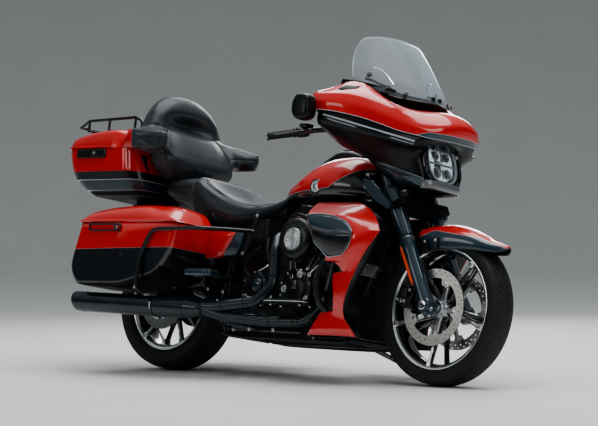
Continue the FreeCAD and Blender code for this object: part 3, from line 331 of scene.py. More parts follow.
MATS = {
    "red": paint("red_paint", RED, 0.30),
    "black": paint("black_paint", BLACK, 0.25),
    "teal": paint("blue_black_paint", TEAL, 0.35, 0.35, 0.5),
    "satin": coated("satin_black", (0.004, 0.007, 0.009), 0.30, 500, 0.05),
    "exhaust": coated("exhaust_black", (0.005, 0.014, 0.020), 0.24, 300, 0.03, 0.0, 0.6),
    "engine": coated("engine_black", (0.004, 0.006, 0.008), 0.36, 650, 0.20),
    "plastic": coated("moulded_plastic", (0.005, 0.006, 0.007), 0.50, 700, 0.25),
    "rubber": coated("soft_rubber", (0.005, 0.005, 0.006), 0.62, 500, 0.25),
    "chrome": metal("polished", (0.80, 0.80, 0.80), 0.10, 0.05, None, 0.02, 20),
    "silver": metal("silver_cast", (0.62, 0.63, 0.64), 0.32, 0.12, None, 0.15, 180),
    "machined": metal("machined", (0.86, 0.87, 0.88), 0.24, 0.10, (1, 1, 1), 0.05, 240),
    "steel": metal("disc_steel", (0.62, 0.61, 0.58), 0.30, 0.14, None, 0.06, 160),
    "leather": leather("black_leather"),
    # near-black matt: painted shade in the windshield slot, seams, keyholes, lamp gap and luggage undersides, and the
    # plain colour of a few black parts
    "dark": coated("deep_black", (0.0012, 0.0014, 0.0018), 0.7, 300, 0.1, 0.0, 0.25),
}


# ------------------------------------------------------------------ geometry helpers
def make(name, verts, faces, mat, body, smooth=True, up=True, sub=0, bevel=0.0, sharp=None, solid=0.0, bevel_seg=2, angle=35):
    """Mesh from upright mm vertices, placed, finished and riding on body."""
    me = bpy.data.meshes.new(name)
    me.from_pydata([tuple(v) for v in verts], [], [tuple(f) for f in faces])
    me.update()
    bm = bmesh.new()
    bm.from_mesh(me)
    bmesh.ops.recalc_face_normals(bm, faces=bm.faces)
    bm.to_mesh(me)
    bm.free()
    me.transform(M)
    me.update()
    o = bpy.data.objects.new(name, me)
    bpy.context.scene.collection.objects.link(o)
    if isinstance(mat, str):
        mat = MATS[mat]
    me.materials.append(mat)
    for p in me.polygons:
        p.use_smooth = smooth
    if solid:
        s = o.modifiers.new("thick", "SOLIDIFY")
        s.thickness = solid / 1000.0
        s.offset = -1
    if bevel:
        b = o.modifiers.new("bevel", "BEVEL")
        b.width = bevel / 1000.0
        b.segments = bevel_seg
        b.limit_method = "ANGLE"
        b.angle_limit = math.radians(angle)
        b.harden_normals = False
    if sub:
        s = o.modifiers.new("smooth", "SUBSURF")
        s.levels = s.render_levels = sub
    if smooth and not sub:
        try:
            o.data.set_sharp_from_angle(angle=math.radians(40))
        except Exception:
            pass
    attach(o, body)
    return o


def flip(verts):
    return [(x, -y, z) for x, y, z in verts]


def join_sides(verts, faces):
    n = len(verts)
    return list(verts) + flip(verts), list(faces) + [tuple(i + n for i in reversed(f)) for f in faces]


def grid(P, closed_u=False, closed_v=False, cap=False):
    """Verts and quads of a point grid P[u][v]."""
    nu, nv = len(P), len(P[0])
    verts = [tuple(p) for row in P for p in row]
    faces = []
    for i in range(nu if closed_u else nu - 1):
        for j in range(nv if closed_v else nv - 1):
            a, b = i * nv + j, i * nv + (j + 1) % nv
            c, d = ((i + 1) % nu) * nv + (j + 1) % nv, ((i + 1) % nu) * nv + j
            faces.append((a, b, c, d))
    if cap:
        faces.append(tuple(range(nv))[::-1])
        faces.append(tuple((nu - 1) * nv + j for j in range(nv)))
    return verts, faces


def lathe(profile, xc, zc, seg=96, closed=True, a0=0.0, a1=360.0):
    """Ring about a wheel's axle from (radius, y) points."""
    full = abs(a1 - a0 - 360) < 1e-6
    P = []
    n = seg if full else seg + 1
    for i in range(n):
        a = math.radians(a0 + (a1 - a0) * i / seg)
        P.append([(xc + r * math.cos(a), y, zc + r * math.sin(a)) for r, y in profile])
    return grid(P, closed_u=full, closed_v=closed, cap=(not full and closed))


def crom(pts, per=6, closed=False):
    """Catmull-Rom through points."""
    p = [np.array(q, float) for q in pts]
    n = len(p)
    out = []
    rng = range(n) if closed else range(n - 1)
    for i in rng:
        p0 = p[(i - 1) % n] if closed or i > 0 else 2 * p[0] - p[1]
        p1, p2 = p[i], p[(i + 1) % n]
        p3 = p[(i + 2) % n] if closed or i + 2 < n else 2 * p[-1] - p[-2]
        for k in range(per):
            t = k / per
            out.append(0.5 * ((2 * p1) + (p2 - p0) * t + (2 * p0 - 5 * p1 + 4 * p2 - p3) * t * t + (3 * p1 - p0 - 3 * p2 + p3) * t ** 3))
    if not closed:
        out.append(p[-1])
    return out


def tube_mesh(pts, r, seg=14, per=6, smooth=True, radii=None):
    path = crom(pts, per) if smooth and len(pts) > 2 else [np.array(q, float) for q in pts]
    n = len(path)
    rad = [r] * n if radii is None else list(np.interp(np.linspace(0, 1, n), np.linspace(0, 1, len(radii)), radii))
    tan = []
    for i in range(n):
        a, b = path[max(i - 1, 0)], path[min(i + 1, n - 1)]
        t = b - a
        tan.append(t / (np.linalg.norm(t) + 1e-9))
    ref = np.array([0, 0, 1.0]) if abs(tan[0][2]) < 0.9 else np.array([1.0, 0, 0])
    u = np.cross(tan[0], ref)
    u /= np.linalg.norm(u)
    P = []
    for i in range(n):
        u = u - tan[i] * np.dot(u, tan[i])
        u /= np.linalg.norm(u)
        v = np.cross(tan[i], u)
        P.append([path[i] + rad[i] * (math.cos(2 * math.pi * k / seg) * u + math.sin(2 * math.pi * k / seg) * v) for k in range(seg)])
    return grid(P, closed_v=True, cap=True)


def cyl_mesh(a, b, r, seg=24, r2=None, chamfer=0.0):
    a, b = np.array(a, float), np.array(b, float)
    d = (b - a) / np.linalg.norm(b - a)
    ref = np.array([0, 0, 1.0]) if abs(d[2]) < 0.9 else np.array([1.0, 0, 0])
    u = np.cross(d, ref)
    u /= np.linalg.norm(u)
    v = np.cross(d, u)
    r2 = r if r2 is None else r2
    rows = [(a, r), (b, r2)]
    if chamfer:
        rows = [(a, r - chamfer), (a + d * chamfer, r), (b - d * chamfer, r2), (b, r2 - chamfer)]
    P = [[c + q * (math.cos(2 * math.pi * k / seg) * u + math.sin(2 * math.pi * k / seg) * v) for k in range(seg)] for c, q in rows]
    return grid(P, closed_v=True, cap=True)


def box_mesh(x0, x1, y0, y1, z0, z1):
    v = [(x, y, z) for x in (x0, x1) for y in (y0, y1) for z in (z0, z1)]
    f = [(0, 1, 3, 2), (4, 6, 7, 5), (0, 4, 5, 1), (2, 3, 7, 6), (0, 2, 6, 4), (1, 5, 7, 3)]
    return v, f


def merge(*parts):
    V, F = [], []
    for v, f in parts:
        n = len(V)
        V += [tuple(p) for p in v]
        F += [tuple(i + n for i in q) for q in f]
    return V, F


def sym(part):
    return merge(part, (flip(part[0]), [tuple(reversed(f)) for f in part[1]]))


def turn(part, deg, xc, zc):
    a = math.radians(deg)
    c, s = math.cos(a), math.sin(a)
    return [(xc + (x - xc) * c - (z - zc) * s, y, zc + (x - xc) * s + (z - zc) * c) for x, y, z in part[0]], part[1]


def prism_mesh(pts, axis, a, b):
    put = {"x": lambda t, u, v: (t, u, v), "y": lambda t, u, v: (u, t, v), "z": lambda t, u, v: (u, v, t)}[axis]
    n = len(pts)
    V = [put(a, u, v) for u, v in pts] + [put(b, u, v) for u, v in pts]
    F = [tuple(range(n))[::-1], tuple(range(n, 2 * n))] + [(i, (i + 1) % n, n + (i + 1) % n, n + i) for i in range(n)]
    return V, F


def plate(name, outline, holes, plane, at, thick, mat, body, bev=0.0):
    """Flat plate with holes: filled 2-D curve, made solid and turned into a mesh. plane is not used; the plate always
    lies across y, in x and z.
    """
    cu = bpy.data.curves.new(name, "CURVE")
    cu.dimensions = "2D"
    cu.fill_mode = "BOTH"
    cu.extrude = thick / 2
    if bev:
        cu.bevel_depth = bev
        cu.bevel_resolution = 1
        cu.extrude = thick / 2 - bev
        cu.offset = -bev
    for ring in [outline] + holes:
        sp = cu.splines.new("POLY")
        sp.points.add(len(ring) - 1)
        for p, q in zip(sp.points, ring):
            p.co = (q[0], q[1], 0, 1)
        sp.use_cyclic_u = True
    tmp = bpy.data.objects.new(name + "_c", cu)
    bpy.context.scene.collection.objects.link(tmp)
    bpy.context.view_layer.update()
    dg = bpy.context.evaluated_depsgraph_get()
    me = bpy.data.meshes.new_from_object(tmp.evaluated_get(dg))
    V = [(v.co.x, at + v.co.z, v.co.y) for v in me.vertices]
    F = [tuple(p.vertices) for p in me.polygons]
    bpy.data.objects.remove(tmp)
    bpy.data.curves.remove(cu)
    bpy.data.meshes.remove(me)
    return make(name, V, F, mat, body, smooth=False)


def circle(cx, cz, r, n=24, a0=0.0):
    return [(cx + r * math.cos(a0 + 2 * math.pi * i / n), cz + r * math.sin(a0 + 2 * math.pi * i / n)) for i in range(n)]


def bolt_mesh(p, axis, r=5.0, h=5.0, hexd=True):
    """Round-head bolt with a round recess, its head facing along axis."""
    p, axis = np.array(p, float), np.array(axis, float)
    axis = axis / np.linalg.norm(axis)
    ref = np.array([0, 0, 1.0]) if abs(axis[2]) < 0.9 else np.array([1.0, 0, 0])
    u = np.cross(axis, ref)
    u /= np.linalg.norm(u)
    v = np.cross(axis, u)
    rows = [(-1.0, r * 1.35), (0.8, r * 1.35), (0.8, r), (h * 0.8, r), (h, r * 0.86), (h, r * 0.5), (h * 0.4, r * 0.45)]
    seg = 12
    P = [[p + axis * t + q * (math.cos(2 * math.pi * k / seg) * u + math.sin(2 * math.pi * k / seg) * v) for k in range(seg)] for t, q in rows]
    return grid(P, closed_v=True, cap=True)


def bolts(name, items, mat, body):
    """items: (point, axis, radius)."""
    return make(name, *merge(*[bolt_mesh(p, a, r, r * 0.9) for p, a, r in items]), mat, body)


def sect_loft(name, xs, sections, mat, body, per=5, sub=1, axis="x", cap=True, closed=True):
    """Body lofted smoothly through section rings, each a list of (u, v) with the same count."""
    rings = []
    for x, s in zip(xs, sections):
        put = {"x": lambda u, v: (x, u, v), "y": lambda u, v: (u, x, v), "z": lambda u, v: (u, v, x)}[axis]
        rings.append([put(u, v) for u, v in s])
    cols = [crom([r[j] for r in rings], per) for j in range(len(rings[0]))]
    P = [[cols[j][i] for j in range(len(cols))] for i in range(len(cols[0]))]
    v, f = grid(P, closed_v=closed, cap=cap)
    return make(name, v, f, mat, body, sub=sub)


def half_ring(half, per=4):
    """Closed ring from right-half points listed from bottom middle round the right (-y) side to top middle, mirrored."""
    pts = [(u, v) for u, v in half]
    other = [(-u, v) for u, v in reversed(half[1:-1])]
    ring = pts + other
    return [tuple(p) for p in crom([(u, v, 0) for u, v in ring], per, closed=True)]


def ring2(half, per=4):
    return [(p[0], p[1]) for p in half_ring(half, per)]


def subst(obj, *names):
    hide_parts(*[n for n in names if n in NODES])
    return obj


def skin(name, rows, mat, body, per_u=4, per_v=4, bands=(), thick=4.0, closed_u=False, closed_v=False, sub=0, cap=False, bevel=0.0):
    """Smooth sheet through stations, each a list of points. bands are (first column, last column, material)."""
    cols = [crom([r[j] for r in rows], per_u, closed=closed_u) if per_u > 1 else [np.array(r[j], float) for r in rows] for j in range(len(rows[0]))]
    P = [crom([c[i] for c in cols], per_v, closed=closed_v) if per_v > 1 else [c[i] for c in cols] for i in range(len(cols[0]))]
    v, f = grid(P, closed_u=closed_u, closed_v=closed_v, cap=cap)
    o = make(name, v, f, mat, body, solid=thick, sub=sub, bevel=bevel)
    nj = len(P[0]) if closed_v else len(P[0]) - 1
    for lo, hi, m in bands:
        o.data.materials.append(MATS[m] if isinstance(m, str) else m)
        k = len(o.data.materials) - 1
        for n, p in enumerate(o.data.polygons):
            if lo <= ((n % nj) + 0.5) / max(per_v, 1) < hi:
                p.material_index = k
    return o, P


def mirror_rows(rows):
    """Stations from the right tip to the middle, carried on to the left tip."""
    return rows + [flip(r) for r in reversed(rows[:-1])]


def stripe(name, lines, mat, body, r=1.3, per=3, seg=6):
    return make(name, *merge(*[tube_mesh(p, r, seg, per) for p in lines]), mat, body)


def frame_loop(pts, y, r, seg=8):
    """Closed tube round a loop of (x, z) points at one y."""
    path = [(x, y, z) for x, z in pts]
    return tube_mesh(path + [path[0]], r, seg, 1, smooth=False)


MATS["front_tyre"] = tyre_mat("front_tread", 30, 65)
MATS["rear_tyre"] = tyre_mat("rear_tread", 26, 90)
MATS["bar_red"] = paint("amber_reflector", (0.75, 0.07, 0.01), 0.2, 0.0, 0.6)
MATS["lamp_red"] = paint("red_lens", (0.35, 0.004, 0.006), 0.12, 0.0, 0.5)
MATS["white"] = coated("lamp_strip", (0.34, 0.38, 0.41), 0.24, 200, 0.05)
MATS["stripe"] = coated("pinstripe", (0.40, 0.43, 0.46), 0.30, 300, 0.03)


# ------------------------------------------------------------------ wheels
def tyre_piece(name, xc, zc, half, mat, body, cad):
    prof = [(r, -y) for r, y in half] + [(r, y) for r, y in reversed(half[:-1])]
    prof = [tuple(p[:2]) for p in crom([(r, y, 0) for r, y in prof], 4)]
    seg, nv = 160, len(prof)
    v, f = lathe(prof, xc, zc, seg, closed=False)
    o = make(name, v, f, mat, body)
    L = np.cumsum([0] + [math.dist(prof[i], prof[i + 1]) for i in range(nv - 1)])
    L /= L[-1]
    uv = o.data.uv_layers.new(name="uv")
    for p in o.data.polygons:
        rows = [o.data.loops[l].vertex_index // nv for l in p.loop_indices]
        wrap = max(rows) == seg - 1 and min(rows) == 0
        for l in p.loop_indices:
            i, j = divmod(o.data.loops[l].vertex_index, nv)
            uv.data[l].uv = ((seg if (wrap and i == 0) else i) / seg, L[j])
    return subst(o, cad)


def spoke_arm(xc, zc, ang, skew, rows, side):
    """Arm from hub to rim. Row columns: radius, half width along the rim, y of the outer face, thickness, twist in degrees."""
    arm, face = [], []
    for r, w, y, t, tw in rows:
        a = math.radians(ang + skew * tw)
        er, et = np.array([math.cos(a), 0, math.sin(a)]), np.array([-math.sin(a), 0, math.cos(a)])
        c = np.array([xc, 0, zc]) + er * r
        sec = [(-w, y - t), (-w, y - 0.35 * t), (-0.55 * w, y), (0.55 * w, y), (w, y - 0.35 * t), (w, y - t), (0.5 * w, y - t - 3), (-0.5 * w, y - t - 3)]
        arm.append([c + et * u + np.array([0, side * q, 0]) for u, q in sec])
        face.append([c + et * u + np.array([0, side * q, 0]) for u, q in [(-0.5 * w, y - 1), (-0.5 * w, y + 0.5), (0.5 * w, y + 0.5), (0.5 * w, y - 1)]])
    return grid(arm, closed_v=True, cap=True), grid(face, closed_v=True, cap=True)


def wheel(tag, xc, zc, lip_r, lip_y, barrel, hub_r, hub_y, spokes, body):
    b = barrel
    lip = [(b + 1, -lip_y + 7), (lip_r - 3, -lip_y + 4), (lip_r, -lip_y + 2), (lip_r + 0.3, -lip_y - 0.6), (lip_r - 2.5, -lip_y - 1.4), (b + 3, -lip_y - 0.6), (b - 3, -lip_y + 3), (b - 4, -lip_y + 9)]
    v = lathe(lip, xc, zc, 128)
    o = make(tag + "_rim_lip", *sym(v), "machined", body)
    subst(o, tag + "_rim")
    bar = [(b - 3, -lip_y + 8), (b - 8, -lip_y + 22), (b - 12, -10), (b - 12, 10), (b - 8, lip_y - 22), (b - 3, lip_y - 8),
           (b - 9, lip_y - 10), (b - 15, lip_y - 24), (b - 18, 10), (b - 18, -10), (b - 15, -lip_y + 24), (b - 9, -lip_y + 10)]
    make(tag + "_rim_barrel", *lathe(bar, xc, zc, 96), "black", body)
    hub = [(13, -hub_y), (hub_r - 12, -hub_y), (hub_r - 9, -hub_y + 3), (hub_r - 7, -hub_y + 12), (hub_r, -hub_y + 20), (hub_r - 2, -8), (hub_r - 4, 8), (hub_r, hub_y - 20),
           (hub_r - 7, hub_y - 12), (hub_r - 9, hub_y - 3), (hub_r - 12, hub_y), (13, hub_y)]
    make(tag + "_hub", *lathe(hub, xc, zc, 48), "silver", body)
    arms, faces, tabs = [], [], []
    top = lip_y
    for a in spokes:
        for side in (-1, 1):
            sk = -1
            rows = [(hub_r - 8, 24, 0.46 * top, 22, 0), (hub_r + 18, 19, 0.66 * top, 20, 0.3), (0.5 * b, 13, 0.82 * top, 17, 1.0), (0.74 * b, 11, 0.90 * top, 15, 2.2), (0.92 * b, 13, 0.95 * top, 14, 3.4), (b - 2, 19, 0.99 * top, 12, 3.8)]
            am, fa = spoke_arm(xc, zc, a, sk * side * -1.0, rows, side)
            arms.append(am)
            faces.append(spoke_arm(xc, zc, a, sk * side * -1.0, rows[2:5], side)[1])
            # bright tab where the spoke meets the lip
            t = spoke_arm(xc, zc, a, sk * side * -1.0, [(b - 20, 12, top - 1, 5, 3.8), (b - 6, 12.5, top + 0.6, 5, 3.8), (lip_r - 1, 12.5, top + 0.8, 5, 3.8)], side)[0]
            tabs.append(t)
    o = make(tag + "_spokes", *merge(*arms), "black", body, smooth=True, bevel=1.6)
    make(tag + "_spoke_faces", *merge(*faces), "machined", body, smooth=False)
    make(tag + "_rim_tabs", *merge(*tabs), "machined", body, smooth=False, bevel=0.8)


SPOKES_F = [55, -14, -93, -159, 128]
wheel("front", XF, ZF, 255.3, 50.0, 247.0, 42, 66, [-a for a in SPOKES_F] if False else SPOKES_F, "front_wheel")
wheel("rear", XR, ZR, 242.6, 68.0, 234.0, 52, 84, [a + 36 for a in SPOKES_F], "rear_wheel")
tyre_piece("front_tyre_tread", XF, ZF, [(247, 44), (255.8, 49.0), (262, 55), (275, 61.8), (289, 65.0), (301, 62.8), (309.5, 54), (315.5, 38), (318.4, 20), (319, 0)], "front_tyre", "front_wheel", "front_tyre")
tyre_piece("rear_tyre_tread", XR, ZR, [(235, 62), (243.0, 67.2), (250, 74), (263, 83), (280, 89.0), (296, 90), (309, 85), (318.5, 70), (324.5, 46), (327, 22), (327.5, 0)], "rear_tyre", "rear_wheel", "rear_tyre")
# valve
make("front_valve", *merge(cyl_mesh((XF + 222, -12, ZF - 60), (XF + 205, -16, ZF - 56), 4, 10), cyl_mesh((XF + 206, -16, ZF - 56), (XF + 196, -18, ZF - 54), 2.6, 8)), "rubber", "front_wheel")


def brake_disc(name, xc, zc, r_out, r_in, y, thick, lug_r, turn_deg, rows, body, cad, lugs=5):
    inner = []
    n = 200
    for i in range(n):
        a = 2 * math.pi * i / n
        k = (math.degrees(a) - turn_deg) % (360 / lugs)
        k = min(k, 360 / lugs - k)
        t = max(0.0, min(1.0, (13.5 - k) / 6.0))
        r = r_in + 2.0 * math.cos(math.radians((math.degrees(a) - turn_deg) * lugs)) * 0 - (r_in - lug_r) * (t * t * (3 - 2 * t))
        inner.append((xc + r * math.cos(a), zc + r * math.sin(a)))
    holes = [inner]
    for rad, num, off in rows:
        for i in range(num):
            a = 2 * math.pi * (i + off) / num
            holes.append(circle(xc + rad * math.cos(a), zc + rad * math.sin(a), 3.6, 8))
    o = plate(name, circle(xc, zc, r_out, 120), holes, "xz", y, thick, "steel", body)
    s = 1 if y > 0 else -1
    st = []
    for i in range(lugs):
        a = math.radians(turn_deg + i * 360 / lugs)
        cx, cz = xc + (lug_r + 11) * math.cos(a), zc + (lug_r + 11) * math.sin(a)
        st.append(cyl_mesh((cx, y - s * 16, cz), (cx, y + s * 5.5, cz), 9.5, 20, chamfer=1.5))
        st.append(cyl_mesh((cx, y + s * 5.0, cz), (cx, y + s * 7.0, cz), 5.0, 12, chamfer=0.8))
    make(name + "_studs", *merge(*st), "chrome", body)
    # spider arms to the hub
    arms = []
    for i in range(lugs):
        a = math.radians(turn_deg + i * 360 / lugs)
        e, t = np.array([math.cos(a), 0, math.sin(a)]), np.array([-math.sin(a), 0, math.cos(a)])
        c = np.array([xc, 0, zc])
        rows_ = []
        for r, w, yy, th in ((32, 17, y - s * 44, 14), (60, 13, y - s * 30, 14), (lug_r + 4, 12, y - s * 15, 13), (lug_r + 20, 11, y - s * 12, 12)):
            q = c + e * r + np.array([0, yy, 0])
            rows_.append([q - t * w, q - t * w * 0.7 + np.array([0, s * th / 2, 0]), q + t * w * 0.7 + np.array([0, s * th / 2, 0]), q + t * w, q + t * w * 0.7 - np.array([0, s * th / 2, 0]), q - t * w * 0.7 - np.array([0, s * th / 2, 0])])
        arms.append(grid(rows_, closed_v=True, cap=True))
    make(name + "_spider", *merge(*arms), "silver", body, bevel=1.0)
    return subst(o, cad)


DISC_TURN = 62.0
HOLES = [(151, 30, 0.0), (139, 30, 0.5), (129.5, 30, 0.25)]
brake_disc("front_disc_right", XF, ZF, 160, 122, -82, 5, 98, DISC_TURN, HOLES[:2], "front_wheel", "front_discs")
brake_disc("front_disc_left", XF, ZF, 160, 122, 82, 5, 98, DISC_TURN, HOLES[:2], "front_wheel", "front_discs")
brake_disc("rear_disc_plate", XR, ZR, 150, 108, -101, 6, 86, DISC_TURN, [(140, 28, 0.0), (127, 28, 0.5)], "rear_wheel", "rear_disc")

# ------------------------------------------------------------------ fork
RK = math.radians(28.5)
LD = np.array([-math.sin(RK), 0, math.cos(RK)])


def leg(z, y=0.0, off=0.0):
    p = np.array([XF, 0, ZF]) + LD * ((z - ZF) / LD[2])
    n = np.array([math.cos(RK), 0, math.sin(RK)])
    p = p + n * off
    return np.array([p[0], y, p[2]])


def revolve(p0, d, prof, seg=32):
    """Solid of revolution: prof is (distance along d, radius)."""
    p0, d = np.array(p0, float), np.array(d, float)
    d = d / np.linalg.norm(d)
    ref = np.array([0, 1.0, 0]) if abs(d[1]) < 0.9 else np.array([1.0, 0, 0])
    u = np.cross(d, ref)
    u /= np.linalg.norm(u)
    v = np.cross(d, u)
    P = [[p0 + d * t + r * (math.cos(2 * math.pi * k / seg) * u + math.sin(2 * math.pi * k / seg) * v) for k in range(seg)] for t, r in prof]
    return grid(P, closed_v=True, cap=True)


ax_r = np.array([XF, -122, ZF])
low_leg = revolve(ax_r, LD, [(-46, 18), (-43, 25), (-30, 30), (30, 33), (60, 30.5), (120, 30), (230, 31), (290, 33), (300, 36.5), (316, 36.5), (320, 34), (322, 27)])
shroud = revolve(ax_r, LD, [(318, 26), (322, 31), (332, 32), (452, 33), (530, 33.5), (560, 33), (566, 28)])
tube_up = revolve(ax_r, LD, [(310, 24.5), (700, 24.5)])
hub_b = cyl_mesh((XF, -152, ZF), (XF, -92, ZF), 33, 36, chamfer=4)
o = make("fork_sliders", *sym(merge(low_leg, hub_b)), "teal", "steering")
subst(o, "fork_legs")
make("fork_tubes", *sym(merge(tube_up, shroud)), "teal", "steering")
# pale tube down the front edge of each leg: a painted highlight
edge_highlight_tubes = []
for z0, z1, rr_ in ((420, 590, 31.5), (606, 800, 33.2)):
    edge_highlight_tubes.append(tube_mesh([leg(z, -122 - 14, rr_ * 0.87) for z in np.linspace(z0, z1, 6)], 1.5, 6, 2))
make("fork_beads", *sym(merge(*edge_highlight_tubes)), "stripe", "steering")
make("fork_seals", *sym(revolve(ax_r, LD, [(321, 30), (323, 33), (331, 33), (333, 29)])), "rubber", "steering")
make("axle_nuts", *sym(merge(revolve((XF, -150, ZF), (0, -1, 0), [(0, 19), (6, 20), (9, 19.5), (10, 17), (10, 9.5), (2, 9)]))), "chrome", "steering")
make("axle_pinch_bolts", *sym(merge(bolt_mesh((XF + 24, -134, ZF - 40), (0.5, -0.2, -0.8), 5, 5), bolt_mesh((XF + 34, -134, ZF - 12), (0.5, -0.2, -0.8), 5, 5))), "chrome", "steering")
# amber reflector strip behind each slider
refl = []
for z in (412, 440, 480, 520, 556, 572):
    w = 8.0 if 412 < z < 572 else 3.0
    c = leg(z, -148, -22)
    refl.append([c + np.array([-w, 6, 0]), c + np.array([-w * 0.7, -4, 0]), c + np.array([w, -6, 0]), c + np.array([w, 5, 0])])
make("fork_reflectors", *sym(grid(refl, closed_v=True, cap=True)), "bar_red", "steering", bevel=1.5)


# ------------------------------------------------------------------ front fender
FEND = [(690, 653, 78, 606), (735, 666, 88, 574), (800, 673, 92, 564), (865, 671, 92, 561), (930, 656, 90, 561), (985, 634, 82, 560), (1035, 611, 66, 557), (1078, 597, 44, 556), (1106, 588, 20, 566), (1117, 583, 5, 577)]
rows = []
for x, zt, h, zl in FEND:
    H = zt - zl
    half = [(x, -0.955 * h, zl), (x, -h, zt - 0.80 * H), (x, -h, zt - 0.55 * H), (x, -0.93 * h, zt - 0.34 * H), (x, -0.74 * h, zt - 0.15 * H), (x, -0.40 * h, zt - 0.035 * H), (x, 0, zt)]
    rows.append(half + flip(list(reversed(half[:-1]))))
MATS["fender"] = two_tone("fender_paint", [[(0.35, 0, -1, 0.3654), (-0.13, 0, -1, 0.7387), (-0.33, 0, -1, 0.9409)]], RED, TEAL, 0.0022)
fender, _ = skin("front_fender_shell", rows, "fender", "steering", 4, 3, thick=4.5, bevel=0.8)
subst(fender, "front_fender")
edge = [r[0] for r in rows]
make("front_fender_hem", *sym(tube_mesh(edge, 2.6, 8, 5)), "satin", "steering")
# struts from the fender down to the sliders
st = []
for z0, x0 in ((585, 742), (592, 800)):
    st.append(prism_mesh([(x0 - 14, z0 + 14), (x0 + 14, z0 + 14), (x0 + 12, z0 - 40), (x0 - 10, z0 - 44)], "y", -100, -91))
make("fender_brackets", *sym(merge(*st)), "satin", "steering", smooth=False, bevel=2.0)
bolts("fender_bolts", [((x, s * 101, z), (0, s, 0), 5) for x, z in ((744, 590), (802, 596)) for s in (-1, 1)], "chrome", "steering")

# ------------------------------------------------------------------ upper fairing shell
SH = [
    [(306, -393, 1112), (300, -402, 1108), (292, -404, 1144), (298, -392, 1180), (310, -376, 1192), (330, -345, 1206), (340, -325, 1198)],
    [(386, -382, 1106), (383, -392, 1102), (392, -394, 1140), (400, -381, 1178), (395, -362, 1194), (380, -318, 1228), (372, -300, 1222)],
    [(458, -362, 1094), (460, -372, 1090), (468, -373, 1132), (470, -360, 1176), (455, -335, 1200), (411, -288, 1246), (402, -272, 1240)],
    [(532, -331, 1079), (535, -341, 1075), (544, -341, 1118), (545, -329, 1163), (522, -305, 1192), (464, -262, 1238), (452, -250, 1233)],
    [(600, -288, 1058), (605, -298, 1054), (613, -297, 1098), (612, -282, 1141), (580, -262, 1170), (517, -238, 1206), (504, -228, 1199)],
    [(655, -243, 1038), (662, -253, 1034), (669, -252, 1076), (664, -243, 1118), (625, -226, 1148), (553, -200, 1176), (541, -192, 1168)],
    [(710, -194, 1026), (718, -204, 1022), (726, -202, 1058), (718, -192, 1090), (672, -182, 1133), (572, -160, 1158), (560, -154, 1146)],
    [(754, -146, 1018), (764, -154, 1014), (776, -150, 1046), (768, -144, 1080), (712, -136, 1128), (592, -126, 1154), (580, -122, 1140)],
    [(784, -96, 1016), (795, -100, 1012), (808, -98, 1048), (803, -94, 1086), (742, -88, 1134), (622, -86, 1153), (610, -83, 1140)],
    [(797, -48, 1016), (808, -50, 1012), (822, -48, 1052), (818, -46, 1093), (758, -42, 1138), (656, -44, 1153), (644, -42, 1140)],
    [(800, 0, 1016), (811, 0, 1012), (827, 0, 1054), (823, 0, 1096), (764, 0, 1139), (669, 0, 1153), (657, 0, 1140)],
]
MATS["shell"] = two_tone("shell_paint", [[(0, 0, -1, 1.036), (0, 0.42, -1, 1.1050), (0, -0.42, -1, 1.1050), (1, 0, 0, -0.70)]], RED, TEAL, 0.0020, 0.26)


def crease(rows, per_u, per_v, name, mat, body, sharp_cols=(), thick=4.0):
    """Skin whose columns in sharp_cols stay crisp: sections are splined piece by piece between them."""
    cols = [crom([r[j] for r in rows], per_u) for j in range(len(rows[0]))]

    def split(line, cuts):
        out = []
        for a, b in zip(cuts[:-1], cuts[1:]):
            seg = crom(line[a:b + 1], per_v) if b - a > 1 else [line[a] + (line[b] - line[a]) * k / per_v for k in range(per_v)] + [line[b]]
            out += seg if not out else seg[1:]
        return out
    last = len(cols) - 1
    hard = sorted(set([0] + [c for c, _ in sharp_cols] + [last]))
    soft = sorted(set([0] + [c for c, fade in sharp_cols if not fade] + [last]))
    P = []
    for i in range(len(cols[0])):
        line = [c[i] for c in cols]
        # creases marked to fade go round towards the middle of the nose
        t = min(1.0, max(0.0, (abs(line[3][1]) - 120) / 90))
        t = t * t * (3 - 2 * t)
        P.append([np.array(a) * t + np.array(b) * (1 - t) for a, b in zip(split(line, hard), split(line, soft))])
    v, f = grid(P)
    return make(name, v, f, mat, body, solid=thick), P


shell, _ = crease(mirror_rows(SH), 5, 5, "fairing_shell", "shell", "steering", ((1, False), (3, True), (5, False)))
subst(shell, "outer_fairing")
low_line = [r[1] for r in mirror_rows(SH)]
stripe("shell_edge", [[(x, y, z + 1) for x, y, z in low_line]], "stripe", "steering", 1.5, 5)
# near-black matt lining in the slot under the windshield: painted shade of the hollow
TRK = [(360, -296, 1196), (428, -262, 1190), (488, -232, 1178), (530, -200, 1170), (552, -166, 1160), (578, -126, 1150), (606, -84, 1146), (634, -42, 1144), (646, 0, 1144)]
TR = [[(x - 4, y * 0.98, z - 14), (x - 26, y * 0.93, z - 16), (x - 34, y * 0.91, z + 14), (x - 22, y * 0.93, z + 52), (x - 14, y * 0.94, z + 66)] for x, y, z in TRK]
skin("screen_tray", TR + [flip(r) for r in reversed(TR[:-1])], "dark", "steering", 4, 3, thick=2)

